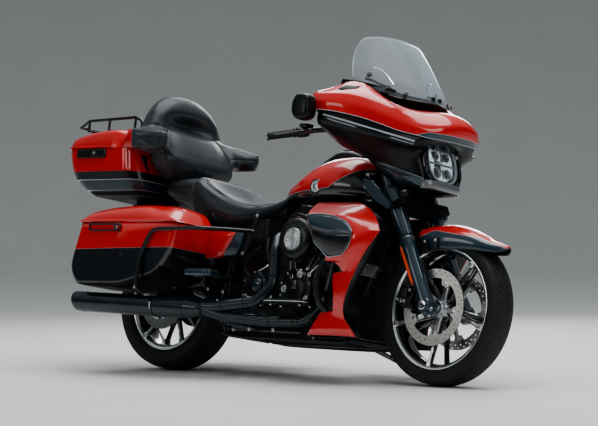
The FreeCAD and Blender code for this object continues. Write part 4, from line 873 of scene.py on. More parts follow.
# ------------------------------------------------------------------ cowl under the shell
KW = [
    [(330, -385, 1104), (455, -352, 1104), (548, -320, 1076), (640, -254, 1046), (703, -190, 1038), (750, -138, 1036), (768, -70, 1034), (776, 0, 1034)],
    [(330, -386, 1060), (455, -354, 1050), (548, -322, 1022), (640, -257, 1000), (702, -192, 988), (738, -130, 1004), (740, -70, 1011), (744, 0, 1012)],
    [(326, -340, 1036), (440, -318, 1016), (535, -290, 996), (620, -236, 980), (680, -180, 968), (699, -124, 978), (672, -80, 984), (669, 0, 986)],
    [(340, -235, 985), (430, -240, 965), (515, -236, 952), (590, -212, 944), (653, -172, 938), (697, -122, 944), (680, -80, 946), (679, 0, 946)],
    [(454, -204, 937), (486, -198, 926), (525, -190, 912), (595, -178, 905), (653, -152, 900), (705, -118, 900), (693, -80, 902), (692, 0, 902)],
    [(496, -156, 889), (516, -157, 879), (550, -155, 868), (605, -148, 864), (658, -134, 860), (711, -112, 858), (703, -76, 858), (703, 0, 858)],
    [(522, -122, 848), (546, -128, 843), (578, -130, 838), (625, -126, 836), (666, -118, 835), (714, -104, 834), (709, -72, 834), (710, 0, 834)],
    [(552, -88, 814), (580, -100, 813), (612, -104, 812), (640, -104, 812), (675, -100, 812), (716, -90, 812), (736, -66, 812), (740, 0, 812)],
]
KWF = [r + flip(list(reversed(r[:-1]))) for r in KW]
MATS["cowl"] = paint("cowl_black", (0.0016, 0.0036, 0.0056), 0.36, 0.0, 0.0, 0.18, 0.12)
for n_ in MATS["cowl"].node_tree.nodes:
    if n_.type == "BSDF_PRINCIPLED":
        n_.inputs["Specular IOR Level"].default_value = 0.28
o, _ = skin("cowl_shell", KWF, "cowl", "steering", 4, 4, thick=4)
subst(o, "fairing_cowl")
# underside closing the cowl
under = [KWF[-1], [(x, y * 0.55, 822) for x, y, z in KWF[-1]]]
skin("cowl_floor", under, "plastic", "steering", 1, 2, thick=3)
rear = [[(r[0][0], r[0][1], r[0][2]), (r[0][0] + 8, r[0][1] * 0.965, r[0][2] + 2), (r[0][0] + 22, r[0][1] * 0.93, r[0][2] + 4)] for r in KW]
cv = grid([crom(r, 3) for r in rear])
make("cowl_return", *sym(cv), "plastic", "steering", solid=3)


def along(cols, t):
    """Point lists blended between two rows of a skin."""
    a, b = cols
    return [tuple(np.array(p) * (1 - t) + np.array(q) * t) for p, q in zip(a, b)]


# light strips under the shell's lower edge
LS = [(356, -384, 1083), (445, -366, 1061), (531, -332, 1039), (605, -286, 1020), (675, -236, 1002), (716, -196, 991)]
make("running_strip", *sym(tube_mesh([(x + 2, y - 2, z + 4) for x, y, z in LS], 4.4, 10, 6)), "white", "steering")
make("running_strip_low", *sym(tube_mesh([(x - 2, y + 1, z - 8) for x, y, z in LS[:-1]] + [(708, -192, 985)], 2.6, 8, 6)), "white", "steering")

# cheek panels with a fine outline
CH = [(474, -190, 931), (508, -190, 920), (552, -181, 905), (600, -168, 891), (660, -144, 872), (706, -118, 856), (714, -111, 848), (700, -106, 824), (690, -106, 820), (640, -116, 825), (589, -126, 832), (560, -140, 852), (531, -158, 878), (500, -178, 908)]


def panel(name, ring, push, thick, mat, body, edge_mat="silver", edge_r=1.4, both=True):
    """Thin raised panel filling a ring of points, with a fine bead round it."""
    ring = [np.array(p, float) for p in crom(ring, 3, closed=True)]
    c = sum(ring) / len(ring)
    v = [tuple(p + push) for p in ring] + [tuple(c + (p - c) * 0.5 + push * 1.25) for p in ring] + [tuple(c + push * 1.4)]
    n = len(ring)
    f = [(i, (i + 1) % n, n + (i + 1) % n, n + i) for i in range(n)] + [(n + i, n + (i + 1) % n, 2 * n) for i in range(n)]
    part = (v, f)
    part = sym(part) if both else part
    o = make(name, *part, mat, body, solid=thick)
    e = tube_mesh([p + push * 1.05 for p in ring] + [ring[0] + push * 1.05], edge_r, 6, 1, smooth=False)
    make(name + "_bead", *(sym(e) if both else e), edge_mat, body)
    return o


panel("cheek_panel", CH, np.array([3.0, -7.0, 0]), 4, "teal", "steering", "stripe", 1.3)
# grey chin under the lamp
chin = []
for z, dx in ((850, 2), (840, 5), (826, 5), (814, 1)):
    chin.append([(696 + dx, -116, z), (728 + dx, -104, z), (744 + dx, -72, z), (748 + dx, 0, z)])
chin = [r + flip(list(reversed(r[:-1]))) for r in chin]
MATS["chin"] = paint("grey_chin", (0.16, 0.17, 0.18), 0.35, 0.3, 0.4)
skin("lamp_chin", chin, "chin", "steering", 2, 5, thick=3)

# ------------------------------------------------------------------ headlamp
LENS = [(0, 1007), (40, 1007), (66, 1004), (82, 994), (91, 976), (94, 952), (93, 922), (88, 896), (76, 874), (58, 859), (34, 850), (0, 847)]


def lamp_ring(scale, dx, grow=0.0, cz=928):
    ring = [(-y * scale - (grow if y else 0), cz + (z - cz) * scale + (grow if z > cz else -grow) * (1 if y < 70 else 0.5)) for y, z in LENS]
    ring = ring + [(-y, z) for y, z in reversed(ring[1:-1])]
    ring = [tuple(p[:2]) for p in crom([(a, b, 0) for a, b in ring], 4, closed=True)]
    return [(696 + (1007 - z) * 0.275 + dx, y, z) for y, z in ring]


bez = [lamp_ring(1.0, -22, 26), lamp_ring(1.0, -4, 25), lamp_ring(1.0, 4, 18), lamp_ring(1.0, 5, 8), lamp_ring(1.0, -2, 1), lamp_ring(0.99, -16)]
o = make("lamp_bezel", *grid(bez, closed_v=True), "black", "steering", solid=2)
subst(o, "headlamp")
MATS["halo"] = coated("halo_ring", (0.66, 0.76, 0.80), 0.22, 200, 0.04)
m, nt, b = new_mat("lamp_inside")
v = node(nt, "ShaderNodeTexVoronoi")
v.inputs["Scale"].default_value = 120
nt.links.new(coords(nt), v.inputs["Vector"])
nt.links.new(mixc(nt, noise(nt, 26.0, 4), (0.62, 0.70, 0.72), (0.86, 0.90, 0.90)), b.inputs["Base Color"])
b.inputs["Metallic"].default_value = 0.35
b.inputs["Emission Color"].default_value = (0.75, 0.9, 1.0, 1)
b.inputs["Emission Strength"].default_value = 0.45
nt.links.new(math_n(nt, "MULTIPLY_ADD", v.outputs["Distance"], 0.3, 0.16), b.inputs["Roughness"])
bump(nt, b, v.outputs["Distance"], 0.6, 0.002)
MATS["lamp_inside"] = m
make("lamp_halo", *grid([lamp_ring(0.985, -8), lamp_ring(0.97, -3), lamp_ring(0.90, -3), lamp_ring(0.87, -10)], closed_v=True), "halo", "steering", solid=1.5)
make("lamp_shadow_gap", *grid([lamp_ring(0.88, -9), lamp_ring(0.84, -8), lamp_ring(0.82, -16)], closed_v=True), "dark", "steering", solid=1)
back = [lamp_ring(0.85, -14), lamp_ring(0.6, -26), lamp_ring(0.25, -30), lamp_ring(0.02, -30)]
make("lamp_reflector", *grid(back, closed_v=True, cap=False), "lamp_inside", "steering", solid=1.5)


def lx(z, d):
    return 696 + (1007 - z) * 0.275 + d


cells, eyes, fins = [], [], []
for yy, zz, rr in ((-34, 970, 23), (34, 970, 23), (-33, 893, 23), (33, 893, 23)):
    n = np.array([0.964, 0, 0.265])
    c = np.array([lx(zz, -12), yy, zz])
    cells.append(revolve(c - n * 12, n, [(0, rr + 1), (10, rr + 3), (12, rr + 3), (12, rr - 1), (6, rr - 4), (2, rr - 6)], 32))
    eyes.append(revolve(c - n * 12, n, [(1, rr - 6), (6, rr - 7), (9, rr - 11), (11, rr - 17), (11.5, 0.8)], 28))
make("lamp_cells", *merge(*cells), "chrome", "steering")
make("lamp_eyes", *merge(*eyes), "black", "steering")
bar = []
for zz, w, t in ((931, 74, 5), (925, 74, 1.6)):
    bar.append(grid([[(lx(zz, -12) + 0, y, zz - t), (lx(zz, -4), y, zz - t * 0.4), (lx(zz, -4), y, zz + t * 0.4), (lx(zz, -12), y, zz + t)] for y in np.linspace(-w, w, 9)], closed_v=True, cap=True))
bar.append(grid([[(lx(z, -14), -3, z), (lx(z, -6), -1.4, z), (lx(z, -6), 1.4, z), (lx(z, -14), 3, z)] for z in np.linspace(868, 990, 9)], closed_v=True, cap=True))
make("lamp_dividers", *merge(*bar), "chrome", "steering", smooth=False)
MATS["lens_glass"] = glass_mat("lamp_glass", alpha=-0.02)
gl = [lamp_ring(0.995, -1), lamp_ring(0.93, 2.2), lamp_ring(0.7, 4.5), lamp_ring(0.4, 6), lamp_ring(0.02, 6.4)]
make("lamp_lens", *grid(gl, closed_v=True), "lens_glass", "steering")

# ------------------------------------------------------------------ windshield
WB = [(655, 0, 1184), (645, -45, 1184), (620, -90, 1186), (588, -136, 1188), (552, -175, 1192), (505, -205, 1212), (450, -225, 1238), (372, -240, 1277)]
SS = [abs(p[1]) / 240.0 for p in WB]


def glass_row(xc, xe, h, zc, ze, e=0.6):
    return [(xe + (xc - xe) * max(0.0, 1 - s * s) ** e, -h * s, zc + (ze - zc) * s ** 3) for s in SS]


GR = [WB, glass_row(628, 362, 238, 1236, 1302), glass_row(598, 354, 234, 1282, 1331), glass_row(555, 347, 225, 1342, 1360), glass_row(510, 343, 215, 1400, 1394), glass_row(474, 346, 205, 1440, 1422), glass_row(452, 352, 196, 1462, 1440), glass_row(437, 362, 182, 1472, 1458), glass_row(431, 376, 160, 1476, 1466)]
GR = [list(reversed(r)) + flip(r[1:]) for r in GR]
MATS["glass"] = glass_mat("windshield_glass", (0.66, 0.80, 0.87), alpha=0.07)
o, GP = skin("windshield_sheet", GR, "glass", "steering", 4, 3, thick=0)
subst(o, "windshield")
# pale opaque tube round the rim of the glass: a painted highlight along the glass edge
MATS["glass_edge"] = coated("glass_edge", (0.50, 0.58, 0.60), 0.2, 200, 0.05)
rim = [p[0] for p in GP] + list(GP[-1][1:-1]) + [p[-1] for p in reversed(GP)]
make("windshield_edge", *tube_mesh(rim, 2.4, 8, 1, smooth=False), "glass_edge", "steering")
rim2 = [tuple(p[0] * 0.90 + p[len(p) // 2] * 0.10) for p in GP]
scr = []
for x, y, z in ((640, -20, 1214), (594, -146, 1210), (531, -193, 1233), (447, -226, 1287)):
    n = np.array([0.6, -0.7 * abs(y) / 200, 0.45])
    scr += [bolt_mesh((x + 3, y - 1, z), n, 8.5, 5), bolt_mesh((x - 4, y + 3, z - 2), -n, 7, 4)]
make("windshield_screws", *sym(merge(*scr)), "satin", "steering")
# upper lip of the slot under the glass
lip = [[(x + 3, y * 1.0, z - 2), (x + 7, y * 1.01, z + 3), (x + 2, y, z + 9)] for x, y, z in [crom(WB, 3)[i] for i in range(0, 16)]]
lip = list(reversed(lip)) + [flip(r) for r in lip[1:]]
skin("windshield_seat", lip, "satin", "steering", 1, 2, thick=2)


# ------------------------------------------------------------------ handlebar
HB = [(496, 0, 1010), (494, -110, 1010), (400, -200, 1046), (262, -300, 1040), (205, -352, 1022), (118, -468, 984)]
o = make("handlebar_tube", *sym(tube_mesh([(496, 0, 1010), (494, -110, 1010), (462, -150, 1020), (400, -200, 1046), (330, -250, 1050), (262, -300, 1040), (205, -352, 1022), (118, -468, 984)], 12.7, 20, 4)), "satin", "steering")
subst(o, "handlebar")
ga, gb = np.array([205, -352, 1022.0]), np.array([118, -468, 984.0])
gd = (gb - ga) / np.linalg.norm(gb - ga)
prof = [(22, 13), (24, 21), (30, 21), (32, 17)]
for i in range(13):
    prof += [(34 + i * 8, 16.2), (35.5 + i * 8, 17.2), (39.5 + i * 8, 17.2), (41 + i * 8, 16.2)]
prof += [(140, 16.5), (141, 18.5), (148, 18.5), (150, 15)]
make("handlebar_grips", *sym(revolve(ga, gd, prof, 28)), "rubber", "steering")
make("grip_end_caps", *sym(revolve(ga + gd * 146, gd, [(0, 15), (5, 14), (7, 9)], 24)), "chrome", "steering")
# switch pods, master cylinders and levers
pod = revolve(ga - gd * 36, gd, [(0, 15), (3, 21), (12, 24), (40, 24), (52, 22), (56, 16)], 24)
make("switch_pods", *sym(pod), "plastic", "steering")
sw = []
for t, u in ((12, 0.2), (24, -0.5), (34, 0.3)):
    c = ga - gd * 36 + gd * t + np.array([-22, 10 * u, 6])
    sw.append(box_mesh(c[0] - 4, c[0] + 4, c[1] - 5, c[1] + 5, c[2] - 4, c[2] + 4))
make("switch_buttons", *sym(merge(*sw)), "rubber", "steering", smooth=False, bevel=1.2)
mc = ga - gd * 8 + np.array([30, -12, 6])
make("master_cylinders", *sym(merge(tube_mesh([mc - gd * 26, mc, mc + gd * 30], 12, 16, 3), box_mesh(mc[0] - 22, mc[0] + 20, mc[1] - 22, mc[1] + 24, mc[2] + 8, mc[2] + 26))), "black", "steering", bevel=3)
lev = [mc + np.array([10, -6, -4]), mc + np.array([22, -40, -16]), mc + np.array([2, -80, -28]), mc + np.array([-30, -124, -44]), mc + np.array([-46, -140, -50])]
make("hand_levers", *sym(tube_mesh(lev, 6, 12, 5, radii=[8, 7, 6, 5.5, 7])), "satin", "steering")
riser = merge(cyl_mesh((496, -52, 958), (496, -52, 1014), 17, 24, chamfer=3), cyl_mesh((496, -70, 1010), (496, -34, 1010), 21, 28, chamfer=3))
make("bar_risers", *sym(riser), "satin", "steering")
make("bar_clamp", *box_mesh(478, 514, -72, 72, 1020, 1034), "satin", "steering", smooth=False, bevel=5)
bolts("bar_clamp_bolts", [((x, s * 52, 1034), (0, 0, 1), 5) for x in (484, 508) for s in (-1, 1)], "chrome", "steering")

# ------------------------------------------------------------------ mirrors
MR = [(-411, 0.55), (-413, 0.80), (-420, 0.94), (-436, 1.0), (-460, 0.99), (-472, 0.92), (-478, 0.76), (-479.8, 0.5)]
base = [(256, 1090), (260, 1068), (278, 1055), (308, 1052), (337, 1060), (347, 1084), (347, 1122), (338, 1154), (308, 1165), (276, 1164), (259, 1148), (256, 1122)]
rows = []
for y, k in MR:
    rows.append([(302 + (x - 302) * k, y, 1110 + (z - 1110) * k) for x, z in base])
o, _ = skin("mirror_housings_r", rows, "cowl", "steering", 3, 4, thick=0, closed_v=True, cap=True)
o2, _ = skin("mirror_housings_l", [flip(r) for r in rows], "cowl", "steering", 3, 4, thick=0, closed_v=True, cap=True)
subst(o, "mirrors")
subst(o2, "mirrors")
MATS["mirror"] = metal("mirror_face", (0.75, 0.80, 0.84), 0.03, 0.02, None, 0.0, 10)
rg = [(255.6, -422, 1082), (254.6, -420, 1106), (255, -422, 1134), (256.2, -436, 1144), (256, -456, 1143), (255, -469, 1132), (254.8, -471, 1106), (255, -468, 1084), (256.4, -456, 1074), (256.4, -436, 1074)]
rg = crom(rg, 4, closed=True)
cc = sum(rg) / len(rg)
n = len(rg)
v = [tuple(p) for p in rg] + [tuple(cc)]
make("mirror_glasses", *sym((v, [(i, (i + 1) % n, n) for i in range(n)])), "mirror", "steering", smooth=False)
make("mirror_rims", *sym(tube_mesh(list(rg) + [rg[0]], 2.0, 8, 1, smooth=False)), "rubber", "steering")
make("mirror_stems", *sym(tube_mesh([(314, -380, 1128), (314, -398, 1126), (312, -420, 1124)], 13, 16, 4, radii=[16, 12, 13])), "satin", "steering")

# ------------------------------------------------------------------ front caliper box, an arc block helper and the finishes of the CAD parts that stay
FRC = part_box("front_calipers")
cal = []


def arc_block(xc, zc, r0, r1, a0, a1, y0, y1, n=9, ends=0.0):
    P = []
    for i in range(n):
        t = i / (n - 1)
        a = math.radians(a0 + (a1 - a0) * t)
        e = ends * (abs(2 * t - 1) ** 4)
        P.append([(xc + (r0 + e) * math.cos(a), y, zc + (r0 + e) * math.sin(a)) for y in (y0, y1)] + [(xc + (r1 - e) * math.cos(a), y, zc + (r1 - e) * math.sin(a)) for y in (y1, y0)])
    return grid(P, closed_v=True, cap=True)


NODE_MAT = {
    "front_calipers": "black", "fork_yoke": "dark", "front_axle": "silver", "inner_fairing": "plastic",
    "rear_pulley": "satin", "rear_rim": "machined", "front_rim": "machined",
    "frame": "satin", "engine_case": "engine", "engine_cylinders": "engine", "air_cleaner": "engine", "exhaust_pipes": "exhaust", "mufflers": "exhaust",
    "trunk_mount": "satin", "rear_fender": "plastic", "tail_lamps": "plastic", "plate_holder": "plastic", "side_covers": "red", "swingarm": "satin", "rear_axle": "silver",
    "rear_shocks": "satin", "rear_caliper": "black", "drive_belt": "rubber", "lower_fairings": "red", "radiator": "plastic", "engine_guard": "satin",
    "wind_deflectors": "teal", "saddlebag_guards": "satin", "foot_controls": "satin", "luggage_rack": "satin", "side_stand": "satin",
    "rider_board_right": "satin", "rider_board_left": "satin", "passenger_board_right": "teal", "passenger_board_left": "teal",
    "trunk_tub": "black", "trunk_lid": "red", "saddlebag_right": "black", "saddlebag_left": "black", "saddlebag_lid_right": "red", "saddlebag_lid_left": "red",
    "fuel_tank": "red",
}


# ------------------------------------------------------------------ tank and console
TK = [(-112, 74, 772, 828), (-66, 106, 764, 858), (0, 138, 758, 892), (60, 160, 756, 924), (120, 172, 755, 950), (180, 179, 755, 966), (235, 181, 756, 971), (290, 178, 758, 968), (330, 170, 760, 956), (366, 158, 762, 934), (396, 140, 766, 902), (424, 106, 778, 852)]
rows = []
for x, h, zl, zt in TK:
    H = zt - zl
    half = [(0, zl), (-0.55 * h, zl + 1), (-0.88 * h, zl + 0.07 * H), (-h, zl + 0.24 * H), (-0.985 * h, zl + 0.46 * H), (-0.90 * h, zl + 0.66 * H), (-0.72 * h, zl + 0.83 * H), (-0.45 * h, zl + 0.945 * H), (-0.2 * h, zl + 0.99 * H), (0, zt)]
    rows.append([(x, u, v) for u, v in half] + [(x, -u, v) for u, v in reversed(half[1:-1])])
MATS["tank"] = two_tone("tank_paint", [
    [(0.06, 0, -1, 0.7954)], [(0.62, 0, -1, 0.6638), (0, 0, -1, 0.905), (1, 0, 0, -0.20)]], RED, BLACK, 0.0022, 0.26)
o, _ = skin("fuel_tank_shell", rows, "tank", "chassis", 4, 3, thick=0, closed_v=True, cap=True)
subst(o, "fuel_tank")
CN = [(-78, 18, 836, 866), (-58, 40, 846, 886), (-10, 48, 872, 910), (40, 54, 896, 938), (100, 58, 918, 972), (150, 60, 930, 996), (200, 60, 938, 1000), (250, 55, 940, 992), (292, 46, 934, 978), (312, 22, 926, 960)]
rows = []
for x, h, zl, zt in CN:
    H = zt - zl
    half = [(0, zl), (-0.7 * h, zl), (-h, zl + 0.12 * H), (-h, zl + 0.6 * H), (-0.86 * h, zl + 0.86 * H), (-0.5 * h, zt - 0.02 * H), (0, zt)]
    rows.append([(x, u, v) for u, v in half] + [(x, -u, v) for u, v in reversed(half[1:-1])])
skin("tank_console", rows, "cowl", "chassis", 4, 3, thick=0, closed_v=True, cap=True)
lines = []
for s in (-1,):
    lines.append([(x, s * (h + 3.5), zl + 0.14 * (zt - zl) + 1) for x, h, zl, zt in CN[1:-1]])
make("console_trim", *sym(tube_mesh(lines[0], 3.0, 8, 4)), "chrome", "chassis")
# filler cap and a small lock on the console
cap = revolve((182, 0, 996), (0.03, 0, 1), [(0, 36), (6, 36), (8, 34), (9, 30), (9, 27), (11, 26), (12, 20), (12, 0.6)], 40)
make("fuel_cap", *cap, "satin", "chassis")
kn = []
for i in range(18):
    a = 2 * math.pi * i / 18
    kn.append(cyl_mesh((182 + 35 * math.cos(a), 35 * math.sin(a), 998), (182 + 35 * math.cos(a), 35 * math.sin(a), 1003), 2.6, 8))
make("fuel_cap_knurl", *merge(*kn), "satin", "chassis")
make("console_lock", *revolve((-30, 0, 903), (-0.35, 0, 1), [(-4, 15), (4, 15), (6, 13), (6, 5), (4, 4)], 24), "chrome", "chassis")
make("ignition_knob", *revolve((84, 0, 962), (-0.2, 0, 1), [(-4, 20), (6, 19), (9, 16), (10, 10), (16, 9), (18, 6)], 24), "satin", "chassis")
# bare round badge each side, on the tank's flank
bd = revolve((158, -174, 818), (0.02, -1.0, 0.02), [(-10, 33), (3, 33), (5, 31.5), (5.4, 28.5), (3.8, 27.5), (4.0, 20)], 44)
make("tank_badge_rims", *sym(bd), "black", "chassis")
bd = revolve((158, -177.2, 818), (0.02, -1.0, 0.02), [(-6, 26.5), (0.8, 26.5), (1.6, 24), (1.2, 22.5), (1.6, 14), (2.4, 12), (2.6, 0.5)], 44)
make("tank_badges", *sym(bd), "silver", "chassis")


# ------------------------------------------------------------------ padded pieces
def puff(name, part, body, nodes=(), voxel=0.006, pressure=4.0, cap=0.010, shrink=0.004, mat="leather", relax=6, sew=()):
    """Stuffed leather piece: a closed form, remeshed and blown up as cloth, then its sewn lines are pressed in.
    sew rows are (points in upright mm, depth in mm, width in mm)."""
    me = bpy.data.meshes.new(name + "_in")
    me.from_pydata([tuple(v) for v in part[0]], [], [tuple(f) for f in part[1]])
    bm = bmesh.new()
    bm.from_mesh(me)
    bmesh.ops.recalc_face_normals(bm, faces=bm.faces)
    bm.to_mesh(me)
    bm.free()
    me.transform(M)
    o = bpy.data.objects.new(name, me)
    bpy.context.scene.collection.objects.link(o)

    def apply():
        dg = bpy.context.evaluated_depsgraph_get()
        new = bpy.data.meshes.new_from_object(o.evaluated_get(dg))
        o.modifiers.clear()
        o.data = new

    r = o.modifiers.new("remesh", "REMESH")
    r.mode = "VOXEL"
    r.voxel_size = voxel
    s = o.modifiers.new("relax", "SMOOTH")
    s.factor = 0.5
    s.iterations = relax
    apply()
    if pressure:
        d = o.modifiers.new("shrink", "DISPLACE")
        d.strength = -shrink
        d.mid_level = 0.0
        apply()
        rest = np.empty(len(o.data.vertices) * 3)
        o.data.vertices.foreach_get("co", rest)
        c = o.modifiers.new("cloth", "CLOTH")
        c.settings.quality = 4
        c.settings.mass = 0.4
        c.settings.tension_stiffness = 12
        c.settings.compression_stiffness = 12
        c.settings.shear_stiffness = 6
        c.settings.bending_stiffness = 1.2
        c.settings.use_pressure = True
        c.settings.uniform_pressure_force = pressure
        c.settings.effector_weights.gravity = 0.0
        c.collision_settings.use_collision = False
        c.collision_settings.use_self_collision = False
        sc = bpy.context.scene
        for f in range(1, 21):
            sc.frame_set(f)
        apply()
        sc.frame_set(1)
        now = np.empty(len(o.data.vertices) * 3)
        o.data.vertices.foreach_get("co", now)
        mv = (now - rest).reshape(-1, 3)
        ln = np.linalg.norm(mv, axis=1, keepdims=True)
        mv = mv * np.minimum(1.0, cap / np.maximum(ln, 1e-9))
        o.data.vertices.foreach_set("co", (rest.reshape(-1, 3) + mv).reshape(-1))
        o.data.update()
    s = o.modifiers.new("finer", "SUBSURF")
    s.levels = s.render_levels = 1
    apply()
    if sew:
        n = len(o.data.vertices)
        co = np.empty(n * 3)
        nr = np.empty(n * 3)
        o.data.vertices.foreach_get("co", co)
        o.data.vertices.foreach_get("normal", nr)
        co, nr = co.reshape(-1, 3), nr.reshape(-1, 3)
        push = np.zeros(n)
        for pts, depth, width in sew:
            line = np.array([tuple(M @ Vector(tuple(p))) for p in crom(pts, 10)])
            d2 = np.full(n, 9.0)
            for q in line:
                d2 = np.minimum(d2, ((co - q) ** 2).sum(1))
            push = np.maximum(push, depth / 1000 * np.exp(-d2 / (2 * (width / 1000) ** 2)))
        co = co - nr * push[:, None]
        o.data.vertices.foreach_set("co", co.reshape(-1))
        o.data.update()
    o.data.materials.clear()
    o.data.materials.append(MATS[mat])
    for p in o.data.polygons:
        p.use_smooth = True
    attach(o, body)
    if nodes:
        subst(o, *nodes)
    return o


def on_surface(o, pts, per=8, lift=0.6):
    """Points along a line, dropped onto the piece's nearest surface; upright mm."""
    out = []
    for p in crom(pts, per):
        hit, loc, nrm, _ = o.closest_point_on_mesh(M @ Vector(tuple(p)))
        q = loc + nrm * (lift / 1000.0)
        out.append(tuple(BACK @ q))
    return out


# raised tube along each sewn line, near-black by default: painted shade in the seam grooves
def stitch(name, o, lines, body, r=1.1, mat="dark", lift=0.2):
    return make(name, *merge(*[tube_mesh(on_surface(o, l, 8, lift), r, 6, 1, smooth=False) for l in lines]), mat, body)


# seat: passenger place, raised rider back, scooped place and nose. Columns: x, half width, low z, side z, top z at the edge, top z in the middle
ST = [(-866, 118, 800, 836, 846, 850), (-846, 140, 792, 840, 862, 868), (-790, 154, 776, 842, 872, 878), (-700, 166, 750, 842, 874, 879), (-640, 178, 722, 842, 873, 877),
      (-612, 188, 700, 846, 876, 880), (-580, 196, 684, 846, 872, 870), (-548, 199, 668, 836, 858, 838), (-510, 200, 658, 812, 838, 802), (-460, 200, 650, 786, 812, 768),
      (-400, 199, 648, 762, 783, 746), (-340, 190, 650, 742, 760, 735), (-280, 172, 660, 730, 748, 732), (-220, 142, 692, 730, 750, 741), (-160, 108, 722, 752, 771, 768), (-110, 84, 756, 788, 803, 803), (-72, 62, 800, 826, 838, 840)]
rows = []
for x, h, zl, zs, ze, zm in ST:
    half = [(0, zl), (-0.6 * h, zl + 1), (-0.88 * h, zl + 10), (-h, zl + 0.42 * (zs - zl)), (-h, zs - 8), (-0.94 * h, zs + 0.62 * (ze - zs)), (-0.80 * h, ze), (-0.62 * h, ze * 0.55 + zm * 0.45), (-0.32 * h, zm + 0.12 * (ze - zm)), (0, zm)]
    ring = [(x, u, v) for u, v in half] + [(x, -u, v) for u, v in reversed(half[1:-1])]
    rows.append(ring)
cols = [crom([r[j] for r in rows], 3) for j in range(len(rows[0]))]
P = [crom([c[i] for c in cols], 3, closed=True) for i in range(len(cols[0]))]
seam_cross = [(-560, -186, 700), (-570, -193, 735), (-580, -196, 780), (-598, -194, 830), (-612, -176, 868), (-618, -120, 880), (-620, -50, 882)]
seam_cross = seam_cross + flip(list(reversed(seam_cross[:-1])))
inset = [(-566, -132, 866), (-560, -150, 862), (-536, -164, 846), (-500, -168, 826), (-450, -168, 800), (-390, -162, 774), (-320, -150, 755), (-250, -130, 748), (-190, -92, 762)]
inset_loop = inset + [(-160, -50, 772), (-155, 0, 772), (-160, 50, 772)] + flip(list(reversed(inset)))
inset_top = [(-566, -132, 866), (-584, -100, 872), (-592, -50, 874), (-594, 0, 874)]
inset_top = inset_top + flip(list(reversed(inset_top[:-1])))
welt = [(-842, -144, 835), (-700, -168, 836), (-622, -184, 836)]
side_r = [(-590, -199, 800), (-540, -202, 770), (-470, -203, 732), (-400, -202, 705), (-320, -190, 690), (-240, -158, 700), (-160, -112, 735), (-105, -84, 775)]
sew_seat = [(seam_cross, 5.0, 4.0), (inset_loop, 2.6, 3.2), (inset_top, 2.6, 3.2), (side_r, 1.6, 2.6), (flip(side_r), 1.6, 2.6), (welt, 1.6, 2.6), (flip(welt), 1.6, 2.6)]
seat = puff("saddle", grid(P, closed_v=True, cap=True), "chassis", ("seat",), voxel=0.006, cap=0.008, shrink=0.005, sew=sew_seat)
stitch("saddle_seams", seat, [seam_cross, inset_loop, inset_top, side_r, flip(side_r), welt, flip(welt)], "chassis", 0.9)
MATS["thread"] = coated("sewing_thread", (0.035, 0.038, 0.042), 0.6, 900, 0.2)


def threads(name, o, lines, body, gap=4.0, off=3.0):
    """Row of short raised stitches beside a seam."""
    parts = []
    for l in lines:
        p = [np.array(q) for q in on_surface(o, l, 12, 0.5)]
        d = [0.0]
        for a, b in zip(p[:-1], p[1:]):
            d.append(d[-1] + np.linalg.norm(b - a))
        pos = np.arange(0, d[-1], gap + 3.2)
        xs = [np.interp(pos, d, [q[k] for q in p]) for k in range(3)]
        xe = [np.interp(pos + 3.2, d, [q[k] for q in p]) for k in range(3)]
        for i in range(len(pos) - 1):
            a = np.array([xs[k][i] for k in range(3)])
            b = np.array([xe[k][i] for k in range(3)])
            if np.linalg.norm(b - a) > 0.5:
                parts.append(cyl_mesh(a, b, 0.75, 5))
    return make(name, *merge(*parts), "thread", body)


def inward(line, c, k=0.965):
    c = np.array(c)
    return [tuple(c + (np.array(p) - c) * np.array([k, k, 1.0])) for p in line]


threads("saddle_stitches", seat, [inward(inset_loop, (-370, 0, 0), 0.955), [(x + 9, y, z) for x, y, z in seam_cross]], "chassis")

